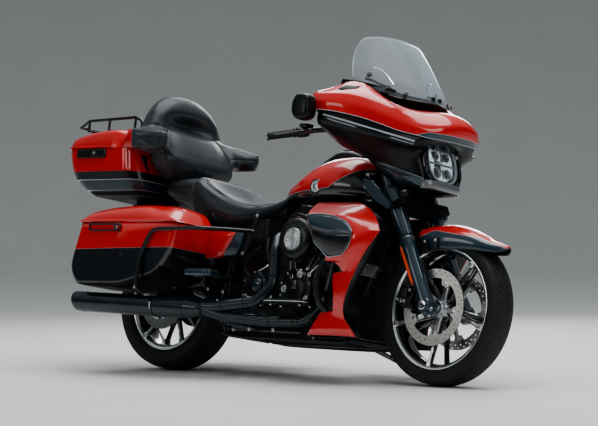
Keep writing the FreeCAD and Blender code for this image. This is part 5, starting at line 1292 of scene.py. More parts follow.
# backrest: lumbar pad with arms that reach forward, hollow, and domed head
BR = [
    [(-750, 0, 868), (-752, 95, 868), (-758, 140, 868), (-764, 156, 868), (-776, 166, 868), (-796, 170, 868), (-820, 170, 868), (-852, 166, 868), (-878, 108, 868), (-880, 0, 868)],
    [(-740, 0, 900), (-744, 105, 900), (-752, 168, 900), (-760, 188, 900), (-774, 200, 900), (-800, 206, 900), (-830, 208, 900), (-862, 202, 900), (-888, 130, 900), (-890, 0, 900)],
    [(-736, 0, 940), (-741, 115, 940), (-752, 186, 940), (-759, 210, 940), (-772, 226, 940), (-800, 234, 940), (-835, 236, 940), (-870, 230, 940), (-896, 140, 940), (-896, 0, 940)],
    [(-746, 0, 970), (-751, 118, 970), (-762, 196, 970), (-770, 220, 970), (-784, 236, 970), (-806, 244, 970), (-838, 246, 970), (-876, 240, 970), (-904, 148, 970), (-906, 0, 970)],
    [(-755, 0, 986), (-760, 120, 986), (-770, 202, 986), (-746, 248, 985), (-714, 288, 984), (-744, 324, 985), (-840, 330, 986), (-908, 318, 986), (-915, 168, 986), (-915, 0, 986)],
    [(-766, 0, 1006), (-771, 120, 1006), (-781, 202, 1006), (-742, 250, 1006), (-701, 290, 1006), (-734, 334, 1006), (-840, 338, 1006), (-920, 326, 1006), (-922, 170, 1006), (-922, 0, 1006)],
    [(-786, 0, 1036), (-790, 115, 1036), (-798, 196, 1036), (-750, 246, 1036), (-696, 292, 1034), (-733, 337, 1034), (-848, 339, 1038), (-930, 326, 1038), (-935, 170, 1038), (-936, 0, 1038)],
    [(-808, 0, 1066), (-812, 112, 1066), (-824, 188, 1066), (-758, 246, 1062), (-702, 290, 1060), (-738, 334, 1060), (-858, 335, 1066), (-940, 322, 1070), (-953, 165, 1070), (-956, 0, 1070)],
    [(-828, 0, 1088), (-831, 108, 1088), (-846, 178, 1088), (-800, 240, 1082), (-724, 288, 1077), (-754, 320, 1077), (-866, 326, 1084), (-948, 306, 1088), (-966, 160, 1090), (-968, 0, 1090)],
    [(-864, 0, 1106), (-856, 98, 1106), (-862, 166, 1106), (-870, 213, 1104), (-880, 240, 1102), (-896, 256, 1102), (-921, 260, 1104), (-958, 250, 1106), (-976, 150, 1106), (-978, 0, 1106)],
    [(-904, 0, 1124), (-890, 80, 1124), (-872, 158, 1124), (-880, 200, 1124), (-891, 226, 1124), (-906, 241, 1124), (-931, 244, 1124), (-966, 234, 1124), (-983, 140, 1124), (-984, 0, 1124)],
    [(-916, 0, 1146), (-902, 80, 1146), (-876, 154, 1146), (-884, 194, 1146), (-896, 220, 1146), (-912, 233, 1146), (-936, 235, 1146), (-968, 225, 1146), (-986, 130, 1146), (-987, 0, 1146)],
    [(-894, 0, 1168), (-886, 80, 1168), (-876, 148, 1168), (-886, 188, 1168), (-900, 212, 1168), (-915, 224, 1168), (-938, 226, 1168), (-968, 216, 1168), (-986, 125, 1168), (-988, 0, 1168)],
    [(-866, 0, 1192), (-868, 75, 1192), (-876, 138, 1192), (-888, 174, 1192), (-902, 200, 1192), (-917, 212, 1192), (-940, 214, 1192), (-968, 203, 1192), (-986, 118, 1192), (-988, 0, 1192)],
    [(-872, 0, 1224), (-875, 68, 1224), (-883, 122, 1224), (-895, 152, 1224), (-907, 176, 1224), (-921, 187, 1224), (-942, 189, 1224), (-968, 180, 1224), (-985, 100, 1224), (-987, 0, 1224)],
    [(-888, 0, 1254), (-890, 55, 1254), (-898, 98, 1254), (-907, 124, 1254), (-916, 143, 1254), (-927, 154, 1254), (-944, 156, 1254), (-965, 148, 1254), (-983, 85, 1254), (-986, 0, 1254)],
    [(-912, 0, 1280), (-914, 38, 1280), (-919, 66, 1280), (-925, 84, 1280), (-931, 97, 1280), (-939, 104, 1280), (-949, 105, 1280), (-962, 100, 1280), (-976, 60, 1280), (-980, 0, 1280)],
    [(-938, 0, 1293), (-939, 16, 1293), (-941, 28, 1293), (-944, 36, 1293), (-947, 42, 1293), (-951, 45, 1293), (-955, 45, 1293), (-960, 43, 1293), (-966, 26, 1293), (-968, 0, 1293)],
]
rows = []
for r in BR:
    right = [(x, -y, z) for x, y, z in r]
    rows.append(right + [(x, -y, z) for x, y, z in reversed(right[1:-1])])
cols = [crom([r[j] for r in rows], 3) for j in range(len(rows[0]))]
P = [crom([c[i] for c in cols], 3, closed=True) for i in range(len(cols[0]))]
neck = [(-884, -228, 1124), (-876, -190, 1116), (-862, -140, 1108), (-852, -70, 1104), (-850, 0, 1104)]
neck = neck + flip(list(reversed(neck[:-1])))
lum = [(-760, -176, 872), (-752, -186, 920), (-766, -196, 980), (-796, -192, 1030), (-830, -176, 1076), (-860, -152, 1106)]
arm_seam = [(-930, -330, 1060), (-860, -340, 1040), (-780, -338, 1034), (-714, -316, 1032), (-702, -286, 1032), (-742, -252, 1030), (-790, -204, 1026)]
head_seam = [(-912, -232, 1146), (-920, -210, 1192), (-925, -184, 1226), (-932, -150, 1256), (-944, -100, 1281), (-952, -40, 1294), (-952, 0, 1296)]
head_seam = head_seam + flip(list(reversed(head_seam[:-1])))
sewb = [(neck, 4.0, 5.0), (lum, 2.2, 3.4), (flip(lum), 2.2, 3.4), (arm_seam, 1.8, 3.0), (flip(arm_seam), 1.8, 3.0), (head_seam, 1.6, 2.8)]
back = puff("backrest_pad", grid(P, closed_v=True, cap=True), "chassis", ("backrest",), voxel=0.006, cap=0.008, shrink=0.005, sew=sewb)
stitch("backrest_seams", back, [neck, lum, flip(lum), arm_seam, flip(arm_seam), head_seam], "chassis", 0.9)
threads("backrest_stitches", back, [[(x, y * 0.95, z) for x, y, z in lum], [(x, y * 0.95, z) for x, y, z in flip(lum)]], "chassis")
# hard black shell behind and under the pad
sh = [[(-892, -150, 850), (-905, -150, 848), (-910, 0, 846), (-905, 150, 848), (-892, 150, 850)], [(-900, -225, 905), (-914, -160, 905), (-916, 0, 905), (-914, 160, 905), (-900, 225, 905)], [(-905, -262, 965), (-922, -170, 965), (-924, 0, 965), (-922, 170, 965), (-905, 262, 965)]]
skin("backrest_shell", sh, "plastic", "chassis", 3, 3, thick=4)


# ------------------------------------------------------------------ luggage
def rrect(x0, x1, h, r, off=0.0, n=6, bow=0.0):
    """Rounded rectangle ring (x, y) from the front middle round the right side; bow is not used."""
    x0, x1, h, r = x0 - off, x1 + off, h + off, max(r + off, 4.0)
    out = []
    for cx, cy, a0 in ((x1 - r, -(h - r), 0), (x0 + r, -(h - r), -90), (x0 + r, h - r, -180), (x1 - r, h - r, -270)):
        for i in range(n + 1):
            a = math.radians(a0 - 90.0 * i / n)
            out.append((cx + r * math.cos(a), cy + r * math.sin(a)))
    m = (x0 + x1) / 2
    res = []
    for i in range(len(out)):
        a, b = out[i], out[(i + 1) % len(out)]
        res.append(a)
        L = math.dist(a, b)
        if L > 2.2 * r / n + 30:
            k = max(2, int(L / 45))
            res += [(a[0] + (b[0] - a[0]) * t / k, a[1] + (b[1] - a[1]) * t / k) for t in range(1, k)]
    return res


def fixed_ring(x0, x1, h, r, off=0.0, n=7, mx=14, my=10):
    """Same, with a fixed number of points whatever the size."""
    x0, x1, h, r = x0 - off, x1 + off, h + off, max(r + off, 4.0)
    c = [((x1 - r, -(h - r)), 0), ((x0 + r, -(h - r)), -90), ((x0 + r, h - r), -180), ((x1 - r, h - r), -270)]
    out = []
    for k, ((cx, cy), a0) in enumerate(c):
        arc = [(cx + r * math.cos(math.radians(a0 - 90.0 * i / n)), cy + r * math.sin(math.radians(a0 - 90.0 * i / n))) for i in range(n + 1)]
        out += arc
        (dx, dy), b0 = c[(k + 1) % 4]
        nxt = (dx + r * math.cos(math.radians(b0)), dy + r * math.sin(math.radians(b0)))
        m = mx if k % 2 == 0 else my
        out += [(arc[-1][0] + (nxt[0] - arc[-1][0]) * i / m, arc[-1][1] + (nxt[1] - arc[-1][1]) * i / m) for i in range(1, m)]
    return out


def z_bands(name, z0, z1, stops, rough=0.28, extra=None):
    """Paint in level bands. stops rows: (z in metres, colour)."""
    m, nt, b = new_mat(name)
    co = upright(nt)
    f = math_n(nt, "MULTIPLY_ADD", co[2], 1.0 / (z1 - z0), -z0 / (z1 - z0), clamp=True)
    r = node(nt, "ShaderNodeValToRGB")
    r.color_ramp.interpolation = "CONSTANT"
    while len(r.color_ramp.elements) < len(stops):
        r.color_ramp.elements.new(0.5)
    for e, (z, c) in zip(r.color_ramp.elements, stops):
        e.position = max(0.0, min(1.0, (z - z0) / (z1 - z0)))
        e.color = (*c, 1)
    nt.links.new(f, r.inputs[0])
    n = noise(nt, 9.0, 3)
    var = node(nt, "ShaderNodeMix", data_type="RGBA", blend_type="MULTIPLY")
    var.inputs[0].default_value = 1.0
    nt.links.new(r.outputs[0], var.inputs[6])
    nt.links.new(mixc(nt, n, grey(0.90), grey(1.0)), var.inputs[7])
    nt.links.new(var.outputs[2], b.inputs["Base Color"])
    b.inputs["Roughness"].default_value = rough
    coat(b, 1.0, 0.05)
    bump(nt, b, noise(nt, 260.0, 2), 0.03, 0.0004)
    return m


MATS["tub"] = z_bands("tub_paint", 0.76, 1.08, [(0.76, BLACK), (0.8045, (0.25, 0.27, 0.28)), (0.8075, TEAL), (0.8485, (0.35, 0.37, 0.38)), (0.8515, BLACK), (0.8865, (0.20, 0.06, 0.05)), (0.8885, RED)])
TB = [(784, -1240, -905, 220, 56), (785, -1262, -892, 233, 60), (800, -1292, -888, 242, 62), (806, -1302, -888, 246, 64), (808, -1312, -888, 252, 66), (830, -1334, -888, 268, 70), (849, -1350, -888, 279, 73),
      (851, -1356, -889, 285, 74), (870, -1366, -893, 291, 77), (887, -1375, -897, 297, 80), (890, -1377, -898, 298, 80), (930, -1392, -905, 303, 84), (970, -1403, -912, 305, 86), (994, -1409, -915, 306, 86)]
rows = [[(x, y, z) for x, y in fixed_ring(a, b, h, r)] for z, a, b, h, r in TB]
inner = [[(x, y, z) for x, y in fixed_ring(-1403, -921, 300, 80, 0)] for z in (994,)] + [[(x, y, z) for x, y in fixed_ring(-1394, -926, 294, 78)] for z in (970,)] + [[(x, y, 800) for x, y in fixed_ring(-1290, -900, 236, 58)]]
v, f = grid(rows + inner, closed_v=True)
f += [tuple(range(len(rows[0]))), tuple(range(len(v) - len(rows[0]), len(v)))[::-1]]
tub = make("trunk_shell", v, f, "tub", "chassis")
tub.data.set_sharp_from_angle(angle=math.radians(28))
subst(tub, "trunk_tub")


def z_crown(x):
    t = [(-1420, 1004), (-1412, 1014), (-1398, 1031), (-1370, 1046), (-1340, 1058), (-1290, 1071), (-1230, 1081), (-1170, 1088), (-1110, 1092), (-1010, 1092), (-905, 1088)]
    return float(np.interp(x, [a for a, _ in t], [b for _, b in t]))


def crown(x0, x1, h, r, rr, z_seam, lip, square_front):
    """Domed lid: flange lip at the seam, sides, rounded shoulder and a top that is crowned across."""
    rows = []

    def ring(off, zf, dx=0.0):
        pts = fixed_ring(x0, x1, h, r, off)
        out = []
        for x, y in pts:
            if square_front:
                x = min(x, x1 - 0.2 * max(0.0, -off) + 0.0)
            out.append((x, y, zf(x, y)))
        return out
    top = lambda x, y: z_crown(x) + 5 * (1 - (y / h) ** 2)
    rows.append(ring(-8, lambda x, y: z_seam))
    rows.append(ring(lip, lambda x, y: z_seam))
    rows.append(ring(lip + 0.6, lambda x, y: z_seam + 4))
    rows.append(ring(lip - 0.4, lambda x, y: z_seam + 9))
    rows.append(ring(-1, lambda x, y: z_seam + 12))
    for off, dz, k in ((-3, 26, 0.35), (-7, 18, 0.6), (-15, 10, 0.8), (-28, 5, 0.92), (-48, 2, 1.0), (-80, 0, 1.0), (-130, 0, 1.0), (-190, 0, 1.0), (-235, 0, 1.0)):
        rows.append(ring(off, lambda x, y, dz=dz, k=k: max(z_seam + 13, z_seam + 12 + (top(x, y) - dz - z_seam - 12) * 1.0)))
    v, f = grid(rows, closed_v=True)
    f.append(tuple(range(len(v) - len(rows[0]), len(v))))
    return v, f


for n_ in MATS["tub"].node_tree.nodes:
    if n_.type == "BSDF_PRINCIPLED":
        n_.inputs["Coat Weight"].default_value = 0.25
        n_.inputs["Specular IOR Level"].default_value = 0.3
MATS["lid"] = paint("lid_red", RED, 0.28)
v, f = crown(-1412, -995, 306, 84, 0, 997, 5, False)
# square off the front corners beside the fixed part
v = [(min(x, -995.0) if x > -1080 else x, y, z) for x, y, z in v]
lidp = []
for x, y, z in v:
    if x > -1075 and z > 990:
        t = min(1.0, (x + 1075) / 75.0)
        s = 1 if y > 0 else -1
        w = abs(y)
        if w > 200:
            w = w + (min(306, 306) - w) * 0 
        lidp.append((x, s * w if w else y, z))
    else:
        lidp.append((x, y, z))
lid = make("trunk_lid_shell", lidp, f, "lid", "trunk_lid")
lid.data.set_sharp_from_angle(angle=math.radians(30))
subst(lid, "trunk_lid")
# fixed front part of the crown, beside and behind the backrest
rows = []
for x, dz in ((-990, 0), (-975, 0), (-950, -1), (-930, -6), (-918, -18), (-914, -40), (-914, -92)):
    r_ = []
    for t in np.linspace(-1, 1, 25):
        y = 306 * (1 if t > 0 else -1) * (1 - (1 - abs(t)) ** 1.0)
        zt = z_crown(x) + 5 * (1 - (y / 306) ** 2) + dz
        sh_ = max(0.0, abs(y) - 262) / 44.0
        yy = y
        zz = zt - 42 * (1 - math.sqrt(max(0.0, 1 - sh_ ** 2)))
        r_.append((x, yy, max(zz, 996)))
    r_[0] = (x, -306, 996)
    r_[-1] = (x, 306, 996)
    rows.append(r_)
make("trunk_hood", *grid(rows), "lid", "chassis", solid=3)
# upright ribs near the tub's front corners
ribs = []
for x0 in (-940, -962, -984):
    P = []
    for z in (992, 960, 920, 893):
        w = 4.5 if 893 < z < 992 else 3.0
        yb = -float(np.interp(z, [890, 930, 994], [297, 302, 306])) - 0.5
        P.append([(x0 + (992 - z) * 0.10 - w, yb + 3, z), (x0 + (992 - z) * 0.10, yb - 3.2, z), (x0 + (992 - z) * 0.10 + w, yb + 3, z)])
    ribs.append(grid(P, closed_v=True, cap=True))
make("trunk_ribs", *sym(merge(*ribs)), "lid", "chassis")
# latches: black frame, recessed paddle, lock
MATS["latch"] = coated("latch_black", (0.006, 0.008, 0.010), 0.30, 500, 0.05)


def latch(name, xc, zc, hx, hz, y, inset_mat, body, lock_dx, tilt=0.0):
    s = -1
    def rr(inset):
        pts = []
        a_, b_ = hx - inset, hz - inset
        r = max(2.0, 9.0 - inset)
        for cx, cz, a0 in ((a_ - r, b_ - r, 0), (-a_ + r, b_ - r, 90), (-a_ + r, -b_ + r, 180), (a_ - r, -b_ + r, 270)):
            for i in range(8):
                a = math.radians(a0 + 90 * i / 7)
                pts.append((xc + cx + r * math.cos(a), zc + cz + r * math.sin(a)))
        return pts
    y3 = lambda p, d: [(x, -(y + d) + tilt * (z - zc), z) for x, z in p]
    fr = [y3(rr(-1), -4), y3(rr(0), 6), y3(rr(1.6), 8.6), y3(rr(5.0), 9.2), y3(rr(7.0), 7.5), y3(rr(7.6), 1)]
    parts = grid(fr, closed_v=True)
    o = make(name + "_frame", *sym(parts) if body == "chassis" else parts, "latch", body)
    pn = [y3(rr(7.4), 2.4), y3(rr(9.5), 3.2), y3(rr(12), 3.4)]
    pv, pf = grid(pn, closed_v=True)
    pf.append(tuple(range(len(pv) - 32, len(pv))))
    make(name + "_face", *sym((pv, pf)) if body == "chassis" else (pv, pf), inset_mat, body)
    lk = revolve((xc + lock_dx, -(y + 1), zc + 1), (0, -1, 0), [(0, 11), (5, 11), (7.5, 9.5), (7.5, 4), (5, 3.4), (5, 0.4)], 24)
    make(name + "_lock", *sym(lk) if body == "chassis" else lk, "chrome", body)
    # near-black slit in the lock face: painted shade of the keyhole
    sl = box_mesh(xc + lock_dx - 1.1, xc + lock_dx + 1.1, -(y + 8.3), -(y + 5), zc - 4, zc + 6)
    make(name + "_key_slot", *sym(sl) if body == "chassis" else sl, "dark", body, smooth=False)
    return o


latch("trunk_latch", -1200, 972, 100, 21, 305.5, "latch", "chassis", 14)
gl_ = []
for i in range(7):
    x = -1288 + i * 11
    gl_.append(box_mesh(x, x + 5.5, -315.2, -309.0, 961, 983))
make("trunk_latch_ribs", *sym(merge(*gl_)), "rubber", "chassis", smooth=False, bevel=0.8)

# ---- saddlebags
BS = [(-1046, 617), (-1062, 560), (-1077, 500), (-1090, 432), (-1082, 392), (-1064, 362), (-1042, 342), (-1012, 333), (-880, 330), (-745, 327), (-640, 350), (-520, 382), (-478, 412), (-448, 452), (-420, 500), (-408, 560), (-401, 617)]
BC = np.array([-740.0, 480.0])


def bag_ring(inset, y, zt=None):
    out = []
    for x, z in BS:
        d = np.array([x, z]) - BC
        k = max(0.0, 1 - inset / np.linalg.norm(d))
        q = BC + d * k
        out.append((q[0], y, 617.0 if z == 617 else q[1]))
    return out


rows = [bag_ring(4, -229), bag_ring(0, -236), bag_ring(0, -300), bag_ring(0, -380), bag_ring(1.5, -425), bag_ring(6, -443), bag_ring(14, -452), bag_ring(28, -456), bag_ring(80, -458), bag_ring(190, -459.5), bag_ring(300, -460)]
cols = [crom([r[j] for r in rows], 2) for j in range(len(rows[0]))]
P = [crom([c[i] for c in cols], 3) for i in range(len(cols[0]))]
v, f = grid(P)
nj = len(P[0])
f.append(tuple(range(len(v) - nj, len(v)))[::-1])
f.append(tuple(range(nj)))
MATS["bag"] = two_tone("bag_paint", [[(0.02, 0, -1, 0.5155)]], RED, BLACK, 0.0012)
bagp = sym((v, f))
for side, part in (("right", (v, f)), ("left", (flip(v), [tuple(reversed(q)) for q in f]))):
    o = make("saddlebag_shell_" + side, *part, "bag", "chassis", solid=4)
    subst(o, "saddlebag_" + side)
    # rubber seal round the mouth
    top = [(x, y, 617) for x, y in [(-1040, -236), (-1040, -448), (-407, -448), (-407, -236)]]
    s = 1 if side == "right" else -1
    ring_ = [(-1034, -240), (-1034, -430), (-1018, -446), (-430, -446), (-412, -430), (-412, -240)]
    seal = tube_mesh([(x, s * y, 617.5) for x, y in ring_] + [(-1034, s * -240, 617.5)], 3.0, 8, 1, smooth=False)
    make("saddlebag_seal_" + side, *seal, "rubber", "chassis")


def z_lid(x):
    t = [(-1052, 626), (-1046, 644), (-1026, 668), (-1000, 683), (-940, 695), (-880, 702), (-800, 708), (-740, 711), (-660, 711), (-580, 710), (-520, 706), (-480, 696), (-450, 680), (-425, 655), (-404, 628), (-398, 622)]
    return float(np.interp(x, [a for a, _ in t], [b for _, b in t]))


LX = [-1052, -1048, -1042, -1026, -1000, -960, -900, -840, -780, -720, -660, -620, -590, -560, -520, -480, -450, -425, -410, -402, -397]
rows = []
for x in LX:
    zt = z_lid(x)
    H = zt - 622
    k = 1.0
    # flat facet towards the front outer corner
    fc = max(0.0, min(1.0, (x + 640) / 60.0)) * max(0.0, min(1.0, (-380 - x) / 60.0))
    e = 0 if -1046 < x < -404 else 1
    yo = -461 + (10 if x < -1046 or x > -402 else 0)
    rows.append([(x, -226, 620), (x, -226, 620 + 0.86 * H), (x, -240, 620 + 0.97 * H), (x, -300, 622 + H), (x, -352 + 6 * fc, 622 + 0.99 * H), (x, -392 + 2 * fc, 622 + (0.93 - 0.05 * fc) * H), (x, -424, 622 + (0.74 - 0.14 * fc) * H), (x, -444, 622 + (0.45 - 0.10 * fc) * H),
                 (x, -451, 622 + min(12, 0.3 * H)), (x, yo + 2, 622 + min(9, 0.25 * H)), (x, yo, 622 + min(5, 0.2 * H)), (x, yo + 1, 620)])
for side in ("right", "left"):
    s = 1 if side == "right" else -1
    rr_ = [[(x, s * y, z) for x, y, z in r] for r in rows]
    cols = [crom([r[j] for r in rr_], 2) for j in range(len(rr_[0]))]
    P = []
    for i in range(len(cols[0])):
        line = [c[i] for c in cols]
        P.append(crom(line[:9], 3)[:-1] + line[8:])
    v, f = grid(P)
    f.append(tuple(range(len(P[0])))[::-1])
    f.append(tuple(len(v) - len(P[0]) + i for i in range(len(P[0]))))
    o = make("saddlebag_lid_shell_" + side, v, f, "lid", "saddlebag_lid_" + side, solid=3)
    o.data.set_sharp_from_angle(angle=math.radians(32))
    subst(o, "saddlebag_lid_" + side)
latch("saddlebag_latch", -862, 596, 108, 18, 458.5, "lid", "chassis", 74)


# ------------------------------------------------------------------ lower fairings
LF = [
    (166, [(286, -200), (283, -262), (380, -264), (470, -264), (556, -258), (548, -190)]),
    (200, [(306, -200), (303, -262), (380, -264), (450, -266), (524, -262), (516, -185)]),
    (235, [(331, -200), (328, -262), (390, -265), (440, -268), (492, -268), (480, -184)]),
    (262, [(349, -205), (346, -262), (400, -268), (440, -271), (486, -274), (474, -182)]),
    (268, [(424, -215), (424, -270), (440, -273), (462, -276), (487, -278), (474, -182)]),
    (300, [(436, -215), (433, -284), (450, -287), (472, -289), (497, -290), (484, -182)]),
    (340, [(438, -215), (436, -292), (458, -295), (484, -297), (512, -298), (498, -182)]),
    (385, [(431, -215), (429, -297), (458, -301), (494, -304), (532, -304), (518, -182)]),
    (424, [(434, -215), (431, -300), (466, -305), (508, -308), (553, -306), (538, -182)]),
    (432, [(489, -220), (486, -304), (508, -308), (530, -309), (557, -306), (542, -182)]),
    (450, [(475, -224), (472, -308), (500, -313), (530, -314), (566, -307), (552, -182)]),
    (468, [(450, -228), (447, -314), (484, -320), (528, -320), (577, -308), (562, -182)]),
    (474, [(398, -230), (395, -318), (446, -325), (514, -325), (581, -308), (566, -182)]),
    (490, [(407, -232), (404, -328), (456, -334), (518, -334), (590, -309), (574, -182)]),
    (520, [(384, -234), (380, -338), (440, -342), (536, -340), (608, -308), (590, -184)]),
    (548, [(346, -236), (342, -340), (430, -344), (548, -342), (625, -305), (606, -186)]),
    (580, [(342, -236), (338, -341), (430, -346), (556, -342), (648, -300), (628, -190)]),
    (605, [(334, -236), (331, -341), (430, -345), (548, -339), (662, -294), (640, -196)]),
    (640, [(308, -236), (305, -338), (430, -342), (516, -335), (632, -276), (618, -200)]),
    (664, [(284, -236), (281, -334), (400, -338), (484, -331), (604, -262), (594, -204)]),
    (684, [(268, -236), (262, -308), (370, -316), (470, -308), (576, -250), (570, -210)]),
    (706, [(258, -232), (250, -278), (352, -284), (452, -276), (544, -240), (540, -214)]),
    (724, [(252, -228), (244, -252), (340, -256), (430, -250), (500, -230), (498, -216)]),
    (737, [(250, -216), (242, -232), (330, -232), (400, -228), (452, -220), (450, -210)]),
]
rows = []
for z, pts in LF:
    line = [(x, y, z) for x, y in pts]
    rows.append([line[0], line[1]] + [tuple(p) for p in crom(line[1:5], 4)][1:] + [line[5]])
v, f = grid(rows)
lf = make("lower_fairing_shells", *sym((v, f)), "red", "chassis", solid=4)
lf.data.set_sharp_from_angle(angle=math.radians(24))
nj = len(rows[0]) - 1
lf.data.materials.append(MATS["satin"])
for n, p in enumerate(lf.data.polygons):
    c = (n % ((len(rows) - 1) * nj)) % nj
    if c == nj - 1 or c == 0:
        p.material_index = 1
lf.data.materials.append(MATS["satin"])
lf.modifiers["thick"].material_offset = 1
subst(lf, "lower_fairings")
edge_f = [(r[-2][0] + 1, r[-2][1] - 1, r[-2][2]) for r in rows]
make("lower_fairing_hem", *sym(tube_mesh(edge_f, 1.6, 6, 1, smooth=False)), "red", "chassis")
# scoop panel: blue-black above its ridge, black below
top = [(276, -338, 666), (340, -342, 670), (420, -345, 664), (488, -344, 648), (534, -343, 622), (556, -345, 593)]
rdg = [(318, -350, 614), (370, -358, 602), (430, -362, 592), (490, -361, 591), (530, -356, 591), (558, -347, 589)]
bot = [(345, -344, 546), (384, -342, 518), (424, -340, 489), (478, -342, 492), (516, -344, 501), (549, -346, 542)]
top, rdg, bot = [list(crom(a, 4)) for a in (top, rdg, bot)]


def between(a, b, n, bulge=0.0):
    return [[p * (1 - k / n) + q * (k / n) + np.array([0, -bulge * math.sin(math.pi * k / n), 0]) for p, q in zip(a, b)] for k in range(n + 1)]


up_ = grid(between(top, rdg, 5, 4.0))
lo_ = grid(between(rdg, bot, 5, 3.0))
o = make("scoop_top", *sym(up_), "teal", "chassis", solid=3)
o = make("scoop_low", *sym(lo_), "black", "chassis", solid=3)
loop = list(top) + list(reversed(bot))
make("scoop_bead", *sym(tube_mesh([p + np.array([0, -0.6, 0]) for p in loop] + [loop[0] + np.array([0, -0.6, 0])], 1.5, 6, 1, smooth=False)), "stripe", "chassis")
# black lining between the fairing and the radiator, and the shroud round the radiator
sh_ = []
for z, x in ((170, 470), (200, 462), (260, 456), (330, 452), (400, 448), (452, 440), (470, 428)):
    sh_.append([(x - 56, -196, z), (x - 18, -186, z), (x - 4, -150, z), (x, -80, z), (x + 2, 0, z), (x, 80, z), (x - 4, 150, z), (x - 18, 186, z), (x - 56, 196, z)])
skin("radiator_shroud", sh_, "plastic", "chassis", 3, 4, thick=4)
up_sh = []
for z, x in ((556, 430), (600, 446), (660, 462), (720, 474), (752, 476)):
    w = 172 - (z - 556) * 0.36
    up_sh.append([(x - 60, -w, z), (x - 14, -w * 0.93, z), (x, -w * 0.6, z), (x + 3, -30, z), (x + 3, 30, z), (x, w * 0.6, z), (x - 14, w * 0.93, z), (x - 60, w, z)])
skin("neck_shroud", up_sh, "dark", "chassis", 3, 3, thick=3)
# black boxes under the seat that close the view through the frame
bx = merge(box_mesh(-344, -176, -104, 104, 488, 690), box_mesh(-320, -200, -112, 112, 520, 668))
make("battery_box", *bx, "plastic", "chassis", smooth=False, bevel=6)
make("battery_box_ribs", *sym(merge(*[box_mesh(-316, -204, -115, -111, z, z + 5) for z in (540, 560, 580, 600, 620, 640)])), "plastic", "chassis", smooth=False, bevel=1)
# ribs on the shroud
make("shroud_ribs", *merge(*[tube_mesh([(444 + (452 - z) * 0.06, y, z) for y in np.linspace(-140, 140, 9)], 3.0, 8, 1) for z in (250, 300, 350, 400)]), "satin", "chassis")
# radiator core behind: fins in a frame
fins = []
for i in range(46):
    y = -166 + i * 332 / 45
    fins.append(box_mesh(406, 411, y - 0.8, y + 0.8, 474, 556))
for i in range(9):
    z = 478 + i * 9.4
    fins.append(box_mesh(405, 413, -168, 168, z - 1.3, z + 1.3))
make("radiator_core", *merge(*fins), "silver", "chassis", smooth=False)
make("radiator_frame", *merge(box_mesh(400, 416, -180, -168, 468, 562), box_mesh(400, 416, 168, 180, 468, 562), box_mesh(400, 416, -180, 180, 556, 566), box_mesh(400, 416, -180, 180, 466, 474)), "satin", "chassis", smooth=False, bevel=2)
# small finned cooler in front of it
cf = [box_mesh(448, 474, -134, -70, 436 + i * 7, 439 + i * 7) for i in range(9)] + [box_mesh(450, 470, -132, -126, 432, 500), box_mesh(450, 470, -78, -72, 432, 500), box_mesh(452, 466, -128, -76, 434, 498)]
make("cooler_fins", *merge(*cf), "machined", "chassis", smooth=False, bevel=0.6)
# hoses and wires about the steering neck and down tubes
hose = [
    tube_mesh([(452, -60, 700), (470, -96, 650), (452, -120, 590), (436, -132, 520), (430, -120, 470)], 9, 10, 5),
    tube_mesh([(452, 60, 700), (470, 96, 650), (452, 120, 590), (436, 132, 520), (430, 120, 470)], 9, 10, 5),
    tube_mesh([(500, -40, 640), (486, -70, 580), (470, -60, 520), (452, -90, 500)], 6, 8, 5),
    tube_mesh([(510, 20, 660), (490, 40, 600), (470, 30, 540), (440, 10, 500)], 6, 8, 5),
]
make("cooling_hoses", *merge(*hose), "rubber", "chassis")
hc = []
for (x, y, z), r in (((470, -96, 650), 11), ((438, -130, 528), 11), ((470, 96, 650), 11), ((438, 130, 528), 11)):
    hc.append(revolve((x, y, z), (0.2, 0.1, -1), [(-5, r), (-5, r + 1.6), (5, r + 1.6), (5, r)], 20))
make("hose_clips", *merge(*hc), "silver", "chassis")

# ------------------------------------------------------------------ side covers
SC = [(-520, -226, 497), (-500, -230, 540), (-474, -232, 582), (-436, -233, 612), (-340, -233, 620), (-244, -231, 614), (-256, -230, 590), (-300, -230, 530), (-322, -229, 499), (-420, -228, 492)]
sc_ring = [np.array(p, float) for p in SC]
cen = sum(sc_ring) / len(sc_ring)
R_ = [[p for p in crom(sc_ring, 3, closed=True)]]
rr0 = [p + np.array([0, 22, 0]) for p in R_[0]]
rr2 = [cen + (p - cen) * 0.94 + np.array([0, -5, 0]) for p in R_[0]]
rr3 = [cen + (p - cen) * 0.5 + np.array([0, -9, 0]) for p in R_[0]]
rr4 = [cen + (p - cen) * 0.02 + np.array([0, -10, 0]) for p in R_[0]]
o = make("side_cover_panels", *sym(grid([rr0, R_[0], rr2, rr3, rr4], closed_v=True)), "red", "chassis")
subst(o, "side_covers")
# blue-black triangle in front of it, and the dark strap that runs down beside the battery
TRI = [(-318, -228, 500), (-290, -230, 540), (-252, -231, 596), (-238, -230, 612), (-196, -226, 612), (-214, -226, 560), (-236, -226, 506)]
tr0 = [np.array(p, float) for p in TRI]
make("side_cover_fronts", *sym(grid([[p + np.array([0, 20, 0]) for p in tr0], tr0, [sum(tr0) / 7 + (p - sum(tr0) / 7) * 0.9 + np.array([0, -4, 0]) for p in tr0], [sum(tr0) / 7 + (p - sum(tr0) / 7) * 0.02 + np.array([0, -5, 0]) for p in tr0]], closed_v=True)), "teal", "chassis")
make("side_straps", *sym(grid([[(x - 16, -206, z), (x - 13, -217, z), (x + 13, -217, z), (x + 16, -206, z)] for x, z in ((-134, 700), (-160, 632), (-186, 566), (-212, 502))], closed_v=True, cap=True)), "satin", "chassis", bevel=2)
bolts("side_strap_bolts", [((-140, s * 217, 684), (0, s, 0), 6) for s in (-1, 1)] + [((-206, s * 217, 516), (0, s, 0), 6) for s in (-1, 1)], "silver", "chassis")
bolts("side_cover_knobs", [((-440, s * 238, 560), (0, s, 0), 7) for s in (-1, 1)], "satin", "chassis")

